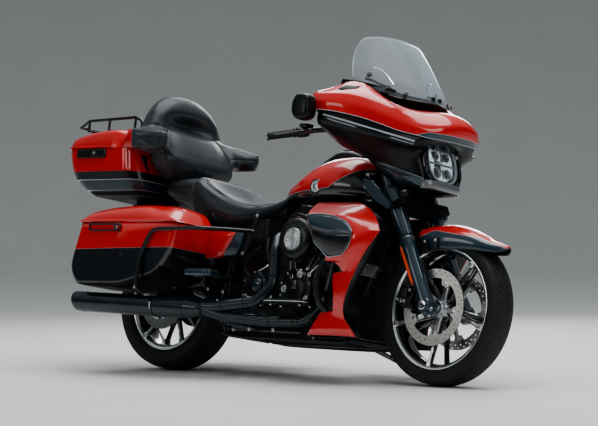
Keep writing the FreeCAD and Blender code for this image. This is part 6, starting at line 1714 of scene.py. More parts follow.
# ------------------------------------------------------------------ engine
CR = np.array([75.0, 0.0, 370.0])


def tilted(deg):
    a = math.radians(deg)
    return np.array([math.sin(a), 0, math.cos(a)]), np.array([math.cos(a), 0, -math.sin(a)])


def block(c, d, t, hx, hy, l0, l1, r=14, top=8):
    """Rounded block along d from l0 to l1; t is its fore-aft direction."""
    rows = []
    for l, k in ((l0, 0), (l0 + 1, 0), (l1 - top, 0), (l1 - top * 0.3, top * 0.35), (l1, top)):
        ring = [(u - (k if u > 0 else -k), w) for u, w in rrect(-hx, hx, hy - k, r, 0.0, 5)]
        rows.append([c + d * l + t * u + np.array([0, w, 0]) for u, w in ring])
    return rows


def safe_block(c, d, t, hx, hy, l0, l1, r, top):
    rows = []
    for l, k in ((l0, 0.0), (l1 - top, 0.0), (l1 - top * 0.3, top * 0.35), (l1, top)):
        ring = []
        for cx, cy, a0 in ((hx - k - r, hy - k - r, 0), (-hx + k + r, hy - k - r, 90), (-hx + k + r, -hy + k + r, 180), (hx - k - r, -hy + k + r, 270)):
            ring += [(cx + r * math.cos(math.radians(a0 + 90 * i / 5)), cy + r * math.sin(math.radians(a0 + 90 * i / 5))) for i in range(6)]
        rows.append([c + d * l + t * u + np.array([0, w, 0]) for u, w in ring])
    return grid(rows, closed_v=True, cap=True)


fin_p, fin_e, head_p, rocker_p, cover_b, rods, rod_seals = [], [], [], [], [], [], []
for tl in (22.5, -22.5):
    d, t = tilted(tl)
    for i in range(9):
        l = 128 + i * 13.4
        fin_p.append(safe_block(CR, d, t, 84, 86, l, l + 5.0, 40, 1.2))
        fin_e.append(safe_block(CR, d, t, 84.6, 86.6, l + 1.6, l + 3.4, 40, 0.5))
    for i in range(4):
        l = 254 + i * 13
        head_p.append(safe_block(CR, d, t, 90, 88, l, l + 6, 24, 1.5))
    rocker_p.append(safe_block(CR, d, t, 72, 70, 304, 342, 22, 12))
    rocker_p.append(safe_block(CR, d, t, 60, 56, 338, 356, 20, 8))
    for u in (-56, 56):
        for w in (-54, 54):
            p = CR + d * 338 + t * u + np.array([0, w, 0])
            cover_b.append(bolt_mesh(p, d, 5.5, 6))
    s = 1 if tl > 0 else -1
    for k in (0, 1):
        a = np.array([75 + s * (26 + 30 * k), -126.0, 436 - 10 * k])
        b = CR + d * 252 + np.array([s * (6 + 26 * k) - s * 26, -96, 0])
        rods.append(cyl_mesh(a, b, 8.5, 16))
        rod_seals.append(revolve(a, b - a, [(-4, 15), (10, 15), (14, 11.5), (22, 11.5), (24, 9)], 20))
make("cylinder_fins", *merge(*fin_p, *head_p), "engine", "chassis", smooth=False)
make("cylinder_fin_edges", *merge(*fin_e), "silver", "chassis", smooth=False)
make("rocker_covers", *merge(*rocker_p), "satin", "chassis")
make("rocker_bolts", *merge(*cover_b), "chrome", "chassis")
make("pushrod_tubes", *merge(*rods), "chrome", "chassis")
make("tappet_blocks", *merge(*rod_seals), "machined", "chassis")
# cam cover on the right with its rim, bolts and plain round centre
cc = revolve((75, -140, 370), (0, -1, 0), [(0, 94), (8, 94), (12, 91), (14, 86), (14, 80), (10, 77), (10, 60), (13, 57), (16, 50), (17, 30), (17, 0.5)], 56)
make("cam_cover", *cc, "engine", "chassis")
cb = [bolt_mesh((75 + 86 * math.cos(a), -154, 370 + 86 * math.sin(a)), (0, -1, 0), 5, 5) for a in [math.radians(18 + 36 * i) for i in range(10)]]
make("cam_cover_bolts", *merge(*cb), "chrome", "chassis")
make("cam_cover_ring", *revolve((14, -156, 371), (0, -1, 0), [(-6, 17), (3, 17), (5, 15.5), (5, 12.5), (2, 12), (2, 8), (4, 7), (4, 0.5)], 32), "machined", "chassis")
st = [revolve((104, -150, 438), (0, -1, 0), [(-14, 20), (10, 20), (14, 17), (14, 9), (9, 8), (9, 0.5)], 24),
      revolve((52, -150, 424), (0, -1, 0), [(-10, 11), (8, 11), (10, 9), (10, 0.5)], 18), revolve((156, -148, 436), (0, -1, 0), [(-14, 13), (8, 13), (11, 11), (11, 0.5)], 18),
      safe_block(np.array([76.0, -158, 390]), np.array([0, -1.0, 0]), np.array([1.0, 0, 0]), 13, 18, 0, 8, 5, 2)]
st[-1] = box_mesh(64, 88, -166, -150, 372, 408)
make("cam_side_fittings", *merge(*st), "machined", "chassis", bevel=1.5)
make("sensor_rod", *merge(cyl_mesh((186, -168, 450), (246, -176, 492), 5, 12), cyl_mesh((178, -166, 444), (196, -169, 457), 9, 14)), "chrome", "chassis")
# oil filter and lines
make("oil_filter", *revolve((262, -70, 288), (0.97, 0, -0.23), [(-30, 34), (26, 36), (34, 33), (38, 26), (38, 0.5)], 36), "satin", "chassis")
make("oil_filter_flutes", *merge(*[cyl_mesh((296 + 0, -70 + 34.5 * math.cos(a), 280 + 34.5 * math.sin(a)), (280, -70 + 36 * math.cos(a), 284 + 36 * math.sin(a)), 2.4, 6) for a in [2 * math.pi * i / 14 for i in range(14)]]), "satin", "chassis")
ol = [tube_mesh([(210, -96, 236), (150, -140, 222), (60, -150, 214), (-60, -150, 214), (-180, -140, 224)], 7, 10, 5), tube_mesh([(214, -96, 252), (150, -150, 240), (60, -162, 232), (-50, -160, 236), (-120, -148, 262)], 7, 10, 5),
      tube_mesh([(-210, -150, 420), (-240, -160, 460), (-220, -150, 520), (-180, -130, 560)], 6, 10, 5), tube_mesh([(-60, -150, 440), (-90, -160, 480), (-120, -150, 540), (-150, -120, 600)], 5, 8, 5)]
make("oil_lines", *merge(*ol), "rubber", "chassis")
# gearbox cover on the right
make("gearbox_cover", *revolve((-190, -132, 372), (0, -1, 0), [(0, 76), (8, 76), (12, 72), (14, 66), (12, 62), (12, 40), (16, 37), (18, 30), (18, 0.5)], 48), "engine", "chassis")
make("gearbox_dome", *revolve((-160, -144, 386), (0, -1, 0), [(0, 31), (8, 31), (14, 27), (18, 18), (19, 0.5)], 32), "teal", "chassis")
gb = [bolt_mesh((-190 + 70 * math.cos(a), -142, 372 + 70 * math.sin(a)), (0, -1, 0), 5, 5) for a in [math.radians(30 + 60 * i) for i in range(6)]]
gb += [bolt_mesh(p, (0, -1, 0), r, 5) for p, r in (((-279, -150, 184), 7), ((-183, -150, 188), 7), ((-34, -150, 190), 8), ((150, -160, 222), 10), ((190, -152, 178), 6), ((214, -150, 162), 6), ((-463, -160, 362), 7), ((-366, -158, 351), 7), ((-394, -158, 312), 6))]
make("engine_bolts", *merge(*gb), "chrome", "chassis")
arc = [tube_mesh([(-232, -150, 344), (-214, -152, 334), (-190, -152, 331), (-168, -152, 336), (-150, -150, 346)], 3.2, 8, 5), tube_mesh([(-236, -148, 318), (-200, -150, 314), (-160, -150, 318)], 4, 8, 4)]
make("clutch_cable_arm", *merge(*arc), "silver", "chassis")
make("pivot_bracket", *prism_mesh([(-548, 356), (-500, 350), (-462, 328), (-470, 316), (-540, 336)], "y", -170, -160), "silver", "chassis", smooth=False, bevel=2)
# lower edge of the frame: thin rails
make("belly_rail", *sym(tube_mesh([(404, -150, 150), (240, -162, 148), (0, -166, 150), (-240, -164, 154), (-340, -156, 168)], 8, 12, 5)), "satin", "chassis")
# primary case on the left
make("primary_cover", *grid([[(cx_, y, cz_) for cx_, cz_ in [(-72 + (x + 72) * k, 340 + (z - 340) * k) for x, z in [(170, 320), (160, 270), (130, 240), (60, 230), (-80, 232), (-260, 238), (-310, 262), (-328, 300), (-326, 370), (-300, 420), (-250, 448), (-80, 456), (60, 460), (120, 446), (158, 410), (172, 360)]]] for y, k in ((150, 1.0), (172, 1.0), (179, 0.985), (182, 0.95), (182, 0.84), (178, 0.81), (177.5, 0.02))], closed_v=True), "engine", "chassis")
pb = [bolt_mesh((-72 + (x + 72) * 0.90, 182, 340 + (z - 340) * 0.90), (0, 1, 0), 5, 5) for x, z in [(170, 320), (130, 240), (-20, 230), (-160, 234), (-310, 262), (-326, 370), (-250, 448), (-80, 456), (60, 460), (158, 410)]]
make("primary_bolts", *merge(*pb), "chrome", "chassis")
make("derby_cover", *merge(revolve((-216, 177, 344), (0, 1, 0), [(0, 66), (6, 66), (9, 62), (10, 50), (10, 0.5)], 48), revolve((86, 177, 344), (0, 1, 0), [(0, 48), (6, 48), (9, 44), (10, 34), (10, 0.5)], 40)), "satin", "chassis")

# ------------------------------------------------------------------ air cleaner
A0 = (118, -168, 580)
o = make("air_cleaner_cover", *revolve(A0, (0, -1, 0), [(-100, 38), (-4, 40), (0, 86), (8, 94), (14, 96), (52, 96), (60, 94), (70, 86), (76, 74), (77, 62), (74, 58), (74, 0.5)], 72), "satin", "chassis")
subst(o, "air_cleaner")
face = revolve((122, -242, 576), (0, -1, 0), [(-4, 50), (6, 50), (9, 47.5), (9, 43), (6, 41), (6, 20), (9, 18), (9, 13), (6, 12), (6, 0.5)], 56)
make("air_cleaner_face", *face, "silver", "chassis")
sp_ = []
for i in range(16):
    a = 2 * math.pi * i / 16
    c, s_ = math.cos(a), math.sin(a)
    sp_.append(cyl_mesh((122 + 19 * c, -249, 576 + 19 * s_), (122 + 41 * c, -249, 576 + 41 * s_), 2.6, 6))
make("air_cleaner_spokes", *merge(*sp_), "machined", "chassis")
make("air_cleaner_arm", *merge(tube_mesh([(190, -206, 574), (226, -206, 566), (262, -214, 562)], 6, 10, 4), tube_mesh([(40, -200, 640), (64, -214, 676), (118, -220, 690), (180, -214, 672)], 5, 10, 5)), "satin", "chassis")
make("intake_duct", *grid([[(104 + a * 0.2, -60 - a, z) for z in (552, 566, 594, 606)] + [(160 + a * 0.1, -60 - a, z) for z in (606, 594, 566, 552)] for a in (0, 40, 80, 112)], closed_v=True, cap=True), "engine", "chassis", bevel=4)

# ------------------------------------------------------------------ exhaust
ex = []
mu_a, mu_b = np.array([-262.0, -360, 248]), np.array([-1084.0, -392, 262])
mdir = (mu_b - mu_a) / np.linalg.norm(mu_b - mu_a)
prof = [(0, 27), (6, 28.5), (20, 30), (60, 40), (90, 45), (96, 45.6), (600, 46), (806, 46), (820, 45), (824, 43), (824, 39), (760, 38)]
mv, mf = revolve(mu_a, mdir, prof, 48)
# slanted end
mv2 = []
for x, y, z in mv:
    d = (np.array([x, y, z]) - mu_a) @ mdir
    if d > 740:
        up = (z - (mu_a + mdir * d)[2]) / 46.0
        sh = (d - 740) / 84.0 * 26.0 * (up - 1) * -0.5
        q = np.array([x, y, z]) - mdir * 0 + mdir * (-sh)
        x, y, z = q
    mv2.append((x, y, z))
o = make("muffler_shells", *sym((mv2, mf[:-1])), "exhaust", "chassis")
subst(o, "mufflers")
def cuff(d, r, w=16):
    c = mu_a + mdir * d
    return revolve(c, mdir, [(0, r), (1, r + 3), (w - 1, r + 3), (w, r)], 40)
make("muffler_bands", *sym(merge(cuff(282, 45.5, 14), cuff(4, 28, 18), cuff(96, 44.5, 6))), "exhaust", "chassis")
make("muffler_band_screws", *sym(merge(cyl_mesh(mu_a + mdir * 289 + np.array([0, -50, 14]), mu_a + mdir * 289 + np.array([0, -44, -16]), 4, 10))), "silver", "chassis")
tipc = mu_a + mdir * 806
make("muffler_tip_rings", *sym(revolve(mu_a + mdir * 744, mdir, [(0, 46), (1.5, 47.2), (6, 47.2), (7.5, 46)], 48)), "exhaust", "chassis")
# pipe joints and heat shields along the two header pipes
RH = [(-50, -84, 606), (-40, -170, 600), (-4, -214, 530), (26, -238, 372), (-34, -278, 292), (-200, -342, 262), (-300, -366, 256)]
FH = [(262, -84, 560), (304, -150, 520), (296, -176, 330), (210, -204, 226), (20, -262, 214), (-170, -330, 222), (-268, -358, 244)]


def along_poly(pts, i, t):
    a, b = np.array(pts[i], float), np.array(pts[i + 1], float)
    return a * (1 - t) + b * t, (b - a) / np.linalg.norm(b - a)


sl, cl = [], []
for pts, i, t0, t1, r in ((RH, 2, 0.08, 0.80, 27.5), (FH, 1, 0.25, 0.85, 24.5), (FH, 3, 0.15, 0.92, 24.5), (RH, 4, 0.15, 0.9, 27.5)):
    a, d = along_poly(pts, i, t0)
    b, _ = along_poly(pts, i, t1)
    L = np.linalg.norm(b - a)
    sl.append(revolve(a, d, [(0, r - 3), (2, r), (L - 2, r), (L, r - 3)], 32))
    for q in (0.12, 0.88):
        c = a + d * L * q
        cl.append(revolve(c, d, [(0, r), (0.6, r + 1.8), (8.4, r + 1.8), (9, r)], 32))
make("heat_shields", *merge(*sl), "exhaust", "chassis")
make("heat_shield_bands", *merge(*cl), "satin", "chassis")
make("exhaust_flanges", *merge(revolve((-52, -84, 606), (0.05, -1, 0), [(-4, 34), (8, 34), (10, 31), (10, 25)], 32), revolve((262, -84, 560), (0.5, -0.8, -0.2), [(-4, 32), (8, 32), (10, 29), (10, 22)], 32)), "silver", "chassis")


# ------------------------------------------------------------------ tail lamps and plate
def bow(y0, y1, z0, z1, x, d, ny=15, nz=9):
    """Bulged rectangular lens facing rearward."""
    P = []
    for j in range(nz):
        v = -1 + 2 * j / (nz - 1)
        P.append([(x - d * (1 - u ** 4) * (1 - v ** 4), y0 + (y1 - y0) * (u + 1) / 2, z0 + (z1 - z0) * (v + 1) / 2) for u in np.linspace(-1, 1, ny)])
    return grid(P)


def rounded_ring(u0, u1, v0, v1, r, n=6):
    out = []
    for cu, cv, a0 in ((u1 - r, v1 - r, 0), (u0 + r, v1 - r, 90), (u0 + r, v0 + r, 180), (u1 - r, v0 + r, 270)):
        for i in range(n):
            a = math.radians(a0 + 90 * i / (n - 1))
            out.append((cu + r * math.cos(a), cv + r * math.sin(a)))
    return out


MATS["amber"] = paint("amber_lens", (0.70, 0.15, 0.01), 0.14, 0.0, 0.0, 0.6)
MATS["plate_paint"] = coated("blank_plate", (0.42, 0.43, 0.44), 0.36, 400, 0.06)
o = make("tail_lamp_housing", *merge(box_mesh(-1204, -1152, -129, 129, 561, 605), box_mesh(-1190, -1082, -39, 39, 567, 599)), "plastic", "chassis", bevel=7, bevel_seg=3)
subst(o, "tail_lamps")
make("tail_lens", *bow(-80, 80, 567, 599, -1201, 10), "lamp_red", "chassis")
make("turn_lenses", *sym(bow(86, 124, 567, 599, -1201, 9)), "amber", "chassis")
make("tail_lens_ribs", *merge(*[tube_mesh([(-1204, y, 569), (-1211.5, y, 576), (-1212, y, 583), (-1211.5, y, 590), (-1204, y, 597)], 0.9, 6, 2) for y in np.linspace(-66, 66, 13)]), "lamp_red", "chassis")
make("tail_lens_frame", *tube_mesh([(-1205, y, z) for y, z in rounded_ring(-83, 83, 565, 601, 6)] + [(-1205, 83, 595)], 1.6, 8, 1, smooth=False), "chrome", "chassis")
o = make("plate_holder_body", *merge(prism_mesh(rounded_ring(-92, 92, 432, 552, 9), "x", -1220, -1214), box_mesh(-1214, -1160, -29, 29, 471, 519)), "plastic", "chassis", smooth=False, bevel=1.5)
subst(o, "plate_holder")
make("plate_blank", *prism_mesh(rounded_ring(-86, 86, 438, 546, 8), "x", -1222, -1219), "plate_paint", "chassis", smooth=False, bevel=0.8)
make("plate_rim", *tube_mesh([(-1221.6, y, z) for y, z in rounded_ring(-89, 89, 435, 549, 9)] + [(-1221.6, 89, 540)], 2.0, 8, 1, smooth=False), "satin", "chassis")
bolts("plate_bolts", [((-1222, s * 72, z), (-1, 0, 0), 4) for s in (-1, 1) for z in (452, 532)], "chrome", "chassis")
make("plate_lamp", *box_mesh(-1224, -1204, -24, 24, 548, 560), "plastic", "chassis", bevel=4, bevel_seg=3)

# ------------------------------------------------------------------ rear suspension, axle and brake
sa, sm, sb = np.array([-706.0, -180, 372]), np.array([-664.0, -180, 470]), np.array([-612.0, -180, 590])
d1, d2 = (sm - sa) / np.linalg.norm(sm - sa), (sb - sm) / np.linalg.norm(sb - sm)
can = revolve(sm, d2, [(-4, 20), (2, 27), (20, 28), (23, 26), (27, 26), (30, 28), (96, 28), (99, 26), (103, 26), (106, 28), (122, 28), (129, 21), (129, 0.5)], 36)
o = make("shock_cans", *sym(can), "satin", "chassis")
subst(o, "rear_shocks")
make("shock_rods", *sym(revolve(sa, d1, [(0, 8), (12, 15), (20, 15), (22, 9), (98, 9), (102, 17), (110, 20), (110, 0.5)], 28)), "chrome", "chassis")
ref_ = np.cross(d1, np.array([0, 1.0, 0]))
ref_ /= np.linalg.norm(ref_)
oth = np.cross(d1, ref_)
coil = [sa + d1 * (20 + 80 * i / 72) + 16.5 * (math.cos(i * math.pi / 6) * ref_ + math.sin(i * math.pi / 6) * oth) for i in range(73)]
make("shock_springs", *sym(tube_mesh(coil, 3.0, 8, 1, smooth=False)), "satin", "chassis")
make("shock_eyes", *sym(merge(revolve((-706, -160, 365), (0, -1, 0), [(0, 17), (22, 17), (24, 15), (24, 8), (27, 7), (29, 0.5)], 28),
                              revolve((-611, -168, 608), (0, -1, 0), [(0, 17), (24, 17), (26, 15), (26, 8), (28, 7), (30, 0.5)], 28))), "satin", "chassis")
ax_n = merge(revolve((XR, -158, ZR), (0, -1, 0), [(0, 26), (3, 26), (4, 25), (4, 19), (14, 18), (16, 15), (16, 10), (20, 9.5), (20, 0.5)], 32),
             box_mesh(XR - 44, XR - 30, -166, -158, ZR - 14, ZR + 14), cyl_mesh((XR - 62, -162, ZR), (XR - 24, -162, ZR), 5, 12))
make("rear_axle_nuts", *sym(ax_n), "silver", "chassis", bevel=1.5)
ca = math.radians(128)
cc_ = np.array([XR + 132 * math.cos(ca), -130, ZR + 132 * math.sin(ca)])
tt = np.array([-math.sin(ca), 0, math.cos(ca)])
rr_ = np.array([math.cos(ca), 0, math.sin(ca)])
make("rear_caliper_caps", *merge(*[revolve(cc_ + tt * k, (0, -1, 0), [(-3, 19), (3, 19), (5, 17), (5, 11), (3, 10), (3, 0.5)], 28) for k in (-24, 24)]), "satin", "chassis")
make("rear_caliper_bolts", *merge(*[bolt_mesh(cc_ + tt * k + rr_ * 20 + np.array([0, 1, 0]), (0, -1, 0), 5, 5) for k in (-50, 50)], *[bolt_mesh(cc_ + tt * k - rr_ * 20 + np.array([0, 1, 0]), (0, -1, 0), 4, 4) for k in (-50, 0, 50)]), "chrome", "chassis")
make("rear_brake_hose", *tube_mesh([tuple(cc_ + tt * -58 + np.array([0, 8, 0])), (-840, -138, 500), (-770, -140, 440), (-690, -146, 372), (-560, -146, 362), (-440, -146, 362)], 4.5, 10, 6), "rubber", "chassis")
make("rear_pulley_bolts", *merge(*[bolt_mesh((XR + 58 * math.cos(a), 114, ZR + 58 * math.sin(a)), (0, 1, 0), 6, 6) for a in [math.radians(20 + 72 * i) for i in range(5)]]), "chrome", "rear_wheel")
make("belt_guard", *merge(tube_mesh([(-330, 134, 408), (-500, 136, 424), (-640, 136, 440)], 5, 8, 4), grid([[(x, 126, z), (x, 137, z + 1), (x, 138, z - 12)] for x, z in ((-330, 410), (-420, 418), (-520, 427), (-640, 441))])), "satin", "chassis", solid=0)

# ------------------------------------------------------------------ front brake bodies
fa = math.radians(152)
fc_ = np.array([XF + 140 * math.cos(fa), -(78 + 31.0), ZF + 140 * math.sin(fa)])
FY = max(abs(v[1]) for v in [tuple(BACK @ (NODES["front_calipers"].matrix_world @ w.co)) for w in NODES["front_calipers"].data.vertices])
fc_[1] = -FY
tf = np.array([-math.sin(fa), 0, math.cos(fa)])
rf_ = np.array([math.cos(fa), 0, math.sin(fa)])
make("front_caliper_caps", *sym(merge(*[revolve(fc_ + tf * k + np.array([0, 1.0, 0]), (0, -1, 0), [(-2, 18), (3, 18), (5, 16), (5, 11), (3.4, 10), (3.4, 0.5)], 28) for k in (-30, 14)])), "satin", "steering")
make("front_caliper_bolts", *sym(merge(*[bolt_mesh(fc_ + tf * k + rf_ * q + np.array([0, 1.0, 0]), (0, -1, 0), 5, 5) for k, q in ((-60, 18), (56, 18), (-60, -18), (44, -18), (-8, -20))])), "silver", "steering")
make("front_brake_hoses", *sym(tube_mesh([tuple(fc_ + tf * 56 + np.array([0, 14, 0])), (668, -100, 470), (664, -96, 560), (640, -90, 660), (604, -84, 760)], 4.5, 10, 6)), "rubber", "steering")
make("hose_banjos", *sym(revolve(fc_ + tf * 52 + np.array([0, 4, 0]), (0, -1, 0), [(-4, 8), (4, 8), (5, 6), (9, 5.5), (9, 0.5)], 18)), "chrome", "steering")


# ------------------------------------------------------------------ foot boards, pads and pedals
def board_set(name, x0, x1, y0, y1, z, r, n, body, side, trim):
    ring = rounded_ring(x0 + 7, x1 - 7, y0 + 6, y1 - 6, r - 6)
    ring = [(x, side * y) for x, y in ring]
    pad = grid([[(x, y, z - 3) for x, y in ring], [(x, y, z + 3) for x, y in ring], [((x0 + x1) / 2 + (x - (x0 + x1) / 2) * 0.97, side * (y0 + y1) / 2 + (y - side * (y0 + y1) / 2) * 0.96, z + 4.5) for x, y in ring]], closed_v=True, cap=True)
    ribs = []
    for i in range(n):
        x = x0 + 24 + (x1 - x0 - 48) * i / (n - 1)
        a = sorted((side * (y0 + 14), side * (y1 - 14)))
        ribs.append(box_mesh(x - 3.2, x + 3.2, a[0], a[1], z + 3.5, z + 8))
    make(name + "_pad", *pad, "rubber", body)
    make(name + "_pad_ribs", *merge(*ribs), "rubber", body, smooth=False, bevel=1.6)
    edge_ = rounded_ring(x0 - 0.5, x1 + 0.5, y0 - 0.5, y1 + 0.5, r)
    edge_ = [q for q in edge_[6:] + edge_[:6] if q[1] > y0 + r + 2]
    edge_.sort(key=lambda q: math.atan2(q[1] - y0, q[0] - (x0 + x1) / 2))
    edge_ = [(x, side * y, z - 4) for x, y in [(x1 + 0.5, y0 + r + 4)] + edge_ + [(x0 - 0.5, y0 + r + 4)]]
    make(name + "_edge", *tube_mesh(edge_, 1.9, 8, 1, smooth=False), trim, body)


for sd, body in ((-1, "rider_board_right"), (1, "rider_board_left")):
    board_set(body, 70, 322, 236, 352, 300, 34, 11, body, sd, "chrome")
    bolts(body + "_bolts", [((x, sd * y, 284), (0, 0, -1), 5) for x in (110, 282) for y in (262, 326)], "chrome", body)
for sd, body in ((-1, "passenger_board_right"), (1, "passenger_board_left")):
    rg_ = rounded_ring(-381, -216, 318.5, 405, 27)
    cx_, cy_ = -298.5, 360.0
    sk_ = [[(cx_ + (x - cx_) * k, sd * (cy_ + (y - cy_) * k), z) for x, y in rg_] for z, k in ((392, 0.90), (395, 0.965), (402, 1.0), (413, 1.0), (417, 0.985))]
    make(body + "_body", *grid(sk_, closed_v=True, cap=True), "teal", body)
    board_set(body, -380, -217, 316, 404, 417, 26, 7, body, sd, "teal")
make("brake_pedal_pad", *merge(box_mesh(335, 389, -291, -237, 343, 349), *[box_mesh(340 + 9 * i, 344 + 9 * i, -288, -240, 348, 352) for i in range(6)]), "rubber", "chassis", smooth=False, bevel=1.4)
make("shift_pad", *revolve((352, 238, 347), (0, 1, 0), [(0, 10), (2, 13)] + [q for i in range(6) for q in ((4 + i * 8, 13), (6 + i * 8, 11.5), (9 + i * 8, 11.5), (11 + i * 8, 13))] + [(54, 12), (56, 8), (56, 0.5)], 24), "rubber", "chassis")

# ------------------------------------------------------------------ side stand
ls = np.array([490.0, 309, 55]) - np.array([246.0, 158, 168])
ls /= np.linalg.norm(ls)
sp0 = np.array([246.0, 158, 168])
make("stand_collars", *merge(revolve(sp0 + ls * 22, ls, [(0, 11), (2, 14), (12, 14), (14, 11)], 24), revolve(sp0 + ls * 250, ls, [(0, 10.6), (3, 13.5), (14, 13.5), (18, 10.6)], 24)), "silver", "side_stand")
u1 = np.cross(ls, np.array([0, 0, 1.0]))
u1 /= np.linalg.norm(u1)
u2 = np.cross(ls, u1)
cs = sp0 + u1 * 17
make("stand_spring", *tube_mesh([cs + ls * (44 + 96 * i / 96) + 5 * (math.cos(i * math.pi / 4) * u1 + math.sin(i * math.pi / 4) * u2) for i in range(97)], 1.5, 6, 1, smooth=False), "chrome", "side_stand")

# ------------------------------------------------------------------ gauges and speakers on the rider's side
MATS["dial"] = coated("dial_face", (0.008, 0.010, 0.012), 0.30, 300, 0.04)
MATS["needle"] = paint("needle_red", (0.55, 0.03, 0.02), 0.4, 0.0, 0.0, 0.2)
MATS["mark"] = coated("dial_marks", (0.55, 0.58, 0.60), 0.4, 300, 0.03)
bez_, face_, marks, needles = [], [], [], []
for yc, r in ((-78, 30), (78, 30), (-146, 22), (146, 22)):
    bez_.append(revolve((302, yc, 1137), (-1, 0, 0), [(-4, r + 4), (4, r + 5), (7, r + 3), (7, r), (3, r - 1)], 40))
    face_.append(revolve((302, yc, 1137), (-1, 0, 0), [(3, r), (3.2, r * 0.6), (3.2, 0.5)], 40))
    for k in range(13):
        a = math.radians(225 - 270 * k / 12)
        q0, q1 = (r - 6 if k % 3 == 0 else r - 4), r - 2
        marks.append(cyl_mesh((298.4, yc + q0 * math.cos(a), 1137 + q0 * math.sin(a)), (298.4, yc + q1 * math.cos(a), 1137 + q1 * math.sin(a)), 0.7, 6))
    a = math.radians(215)
    needles.append(cyl_mesh((297.6, yc, 1137), (297.6, yc + (r - 6) * math.cos(a), 1137 + (r - 6) * math.sin(a)), 1.4, 8, 0.5))
    needles.append(revolve((300, yc, 1137), (-1, 0, 0), [(0, 4), (3, 4), (4, 3), (4, 0.5)], 18))
make("gauge_rings", *merge(*bez_), "chrome", "steering")
make("gauge_faces", *merge(*face_), "dial", "steering")
make("gauge_marks", *merge(*marks), "mark", "steering")
make("gauge_needles", *merge(*needles), "needle", "steering")
make("screen_frame", *box_mesh(294, 302, -46, 46, 1108, 1166), "plastic", "steering", bevel=3, bevel_seg=3)
make("screen_glass", *grid([[(293.2 - 0.8 * (1 - (y / 40) ** 2), y, z) for y in np.linspace(-40, 40, 9)] for z in np.linspace(1113, 1161, 5)]), "dial", "steering")
grl = []
for s in (-1, 1):
    yc = s * 256
    grl.append(revolve((302, yc, 1137), (-1, 0, 0), [(-4, 37), (5, 37), (7, 35), (7, 32), (4, 31)], 40))
    for k in range(-4, 5):
        h_ = math.sqrt(max(1.0, 31.5 ** 2 - (k * 7) ** 2))
        grl.append(cyl_mesh((298, yc - h_, 1137 + k * 7), (298, yc + h_, 1137 + k * 7), 1.5, 8))
make("speaker_grilles", *merge(*grl), "plastic", "steering")
make("speaker_cones", *sym(revolve((301, -256, 1137), (-1, 0, 0), [(0, 32), (0.6, 20), (-2, 12), (1, 9), (2, 0.5)], 32)), "dark", "steering")

# ------------------------------------------------------------------ guards: bolts and rubber rings
GP_ = [(500, -90, 548), (430, -210, 520), (372, -300, 480), (352, -318, 400), (362, -300, 300), (404, -200, 214), (416, -136, 196)]
make("guard_rings", *sym(merge(revolve((354, -315, 380), (0.1, 0.1, -1), [(-12, 14), (-12, 16.5), (12, 16.5), (12, 14)], 24), revolve((358, -309, 335), (0.13, 0.2, -1), [(-12, 14), (-12, 16.5), (12, 16.5), (12, 14)], 24))), "rubber", "chassis")
bolts("bag_guard_bolts", [((-140, s * 236, 612), (0, s, 0), 6) for s in (-1, 1)] + [((-592, s * 484, 322), (0, s, 0), 5) for s in (-1, 1)], "silver", "chassis")
# black inner brace and bright loop behind the lower left of the glass
br_ = [(411, -205, 1276), (452, -199, 1264), (512, -188, 1240), (556, -170, 1222)]
make("screen_brace", *sym(tube_mesh(br_, 7, 10, 4)), "satin", "steering")
lp = [(414, -196, 1290), (416, -186, 1318), (440, -180, 1326), (470, -178, 1312), (512, -176, 1282), (542, -168, 1250)]
make("screen_loop", *sym(tube_mesh(lp, 3.4, 8, 5)), "chrome", "steering")


# small finned cooler set in the inner face of each lower fairing
def oblong(c, ex, ey, ez, hx, hy, hz):
    c, ex, ey, ez = (np.array(q, float) for q in (c, ex, ey, ez))
    v = [c + a * hx * ex + b_ * hy * ey + d * hz * ez for a in (-1, 1) for b_ in (-1, 1) for d in (-1, 1)]
    return v, [(0, 1, 3, 2), (4, 6, 7, 5), (0, 4, 5, 1), (2, 3, 7, 6), (0, 2, 6, 4), (1, 5, 7, 3)]


cn = np.array([0.87, 0.02, -0.49])
cn /= np.linalg.norm(cn)
cu_ = np.cross(np.array([0, 0, 1.0]), cn)
cu_ /= np.linalg.norm(cu_)
cv_ = np.cross(cn, cu_)
cc0 = np.array([557.0, -216, 451])
make("side_cooler_fins", *sym(merge(*[oblong(cc0 + cv_ * (-24 + 6.8 * i) + cn * 2.2, cu_, cv_, cn, 38, 1.7, 2.2) for i in range(8)])), "machined", "chassis", smooth=False, bevel=0.5)
make("side_cooler_frame", *sym(merge(oblong(cc0 + cv_ * 30 + cn * 1.5, cu_, cv_, cn, 44, 3, 3), oblong(cc0 - cv_ * 30 + cn * 1.5, cu_, cv_, cn, 44, 3, 3), oblong(cc0 + cu_ * 41 + cn * 1.5, cu_, cv_, cn, 3, 30, 3), oblong(cc0 - cu_ * 41 + cn * 1.5, cu_, cv_, cn, 3, 30, 3), oblong(cc0 - cn * 0.5, cu_, cv_, cn, 40, 29, 1.2))), "satin", "chassis", smooth=False, bevel=1)

# painted shade: faces turned steeply up or down, low on the trunk and the bags, get the near-black matt material
for ob in list(bpy.context.scene.objects):
    lim = {"trunk_shell": 0.80, "saddlebag_shell_right": 0.43, "saddlebag_shell_left": 0.43}.get(ob.name)
    if lim is None:
        continue
    ob.data.materials.append(MATS["dark"])
    k_ = len(ob.data.materials) - 1
    Ru = Matrix.Rotation(LEAN, 3, "X")
    for p_ in ob.data.polygons:
        nz_ = (Ru @ p_.normal).z
        cz_ = (BACK @ p_.center).z / 1000.0
        if abs(nz_) > 0.42 and cz_ < lim:
            p_.material_index = k_

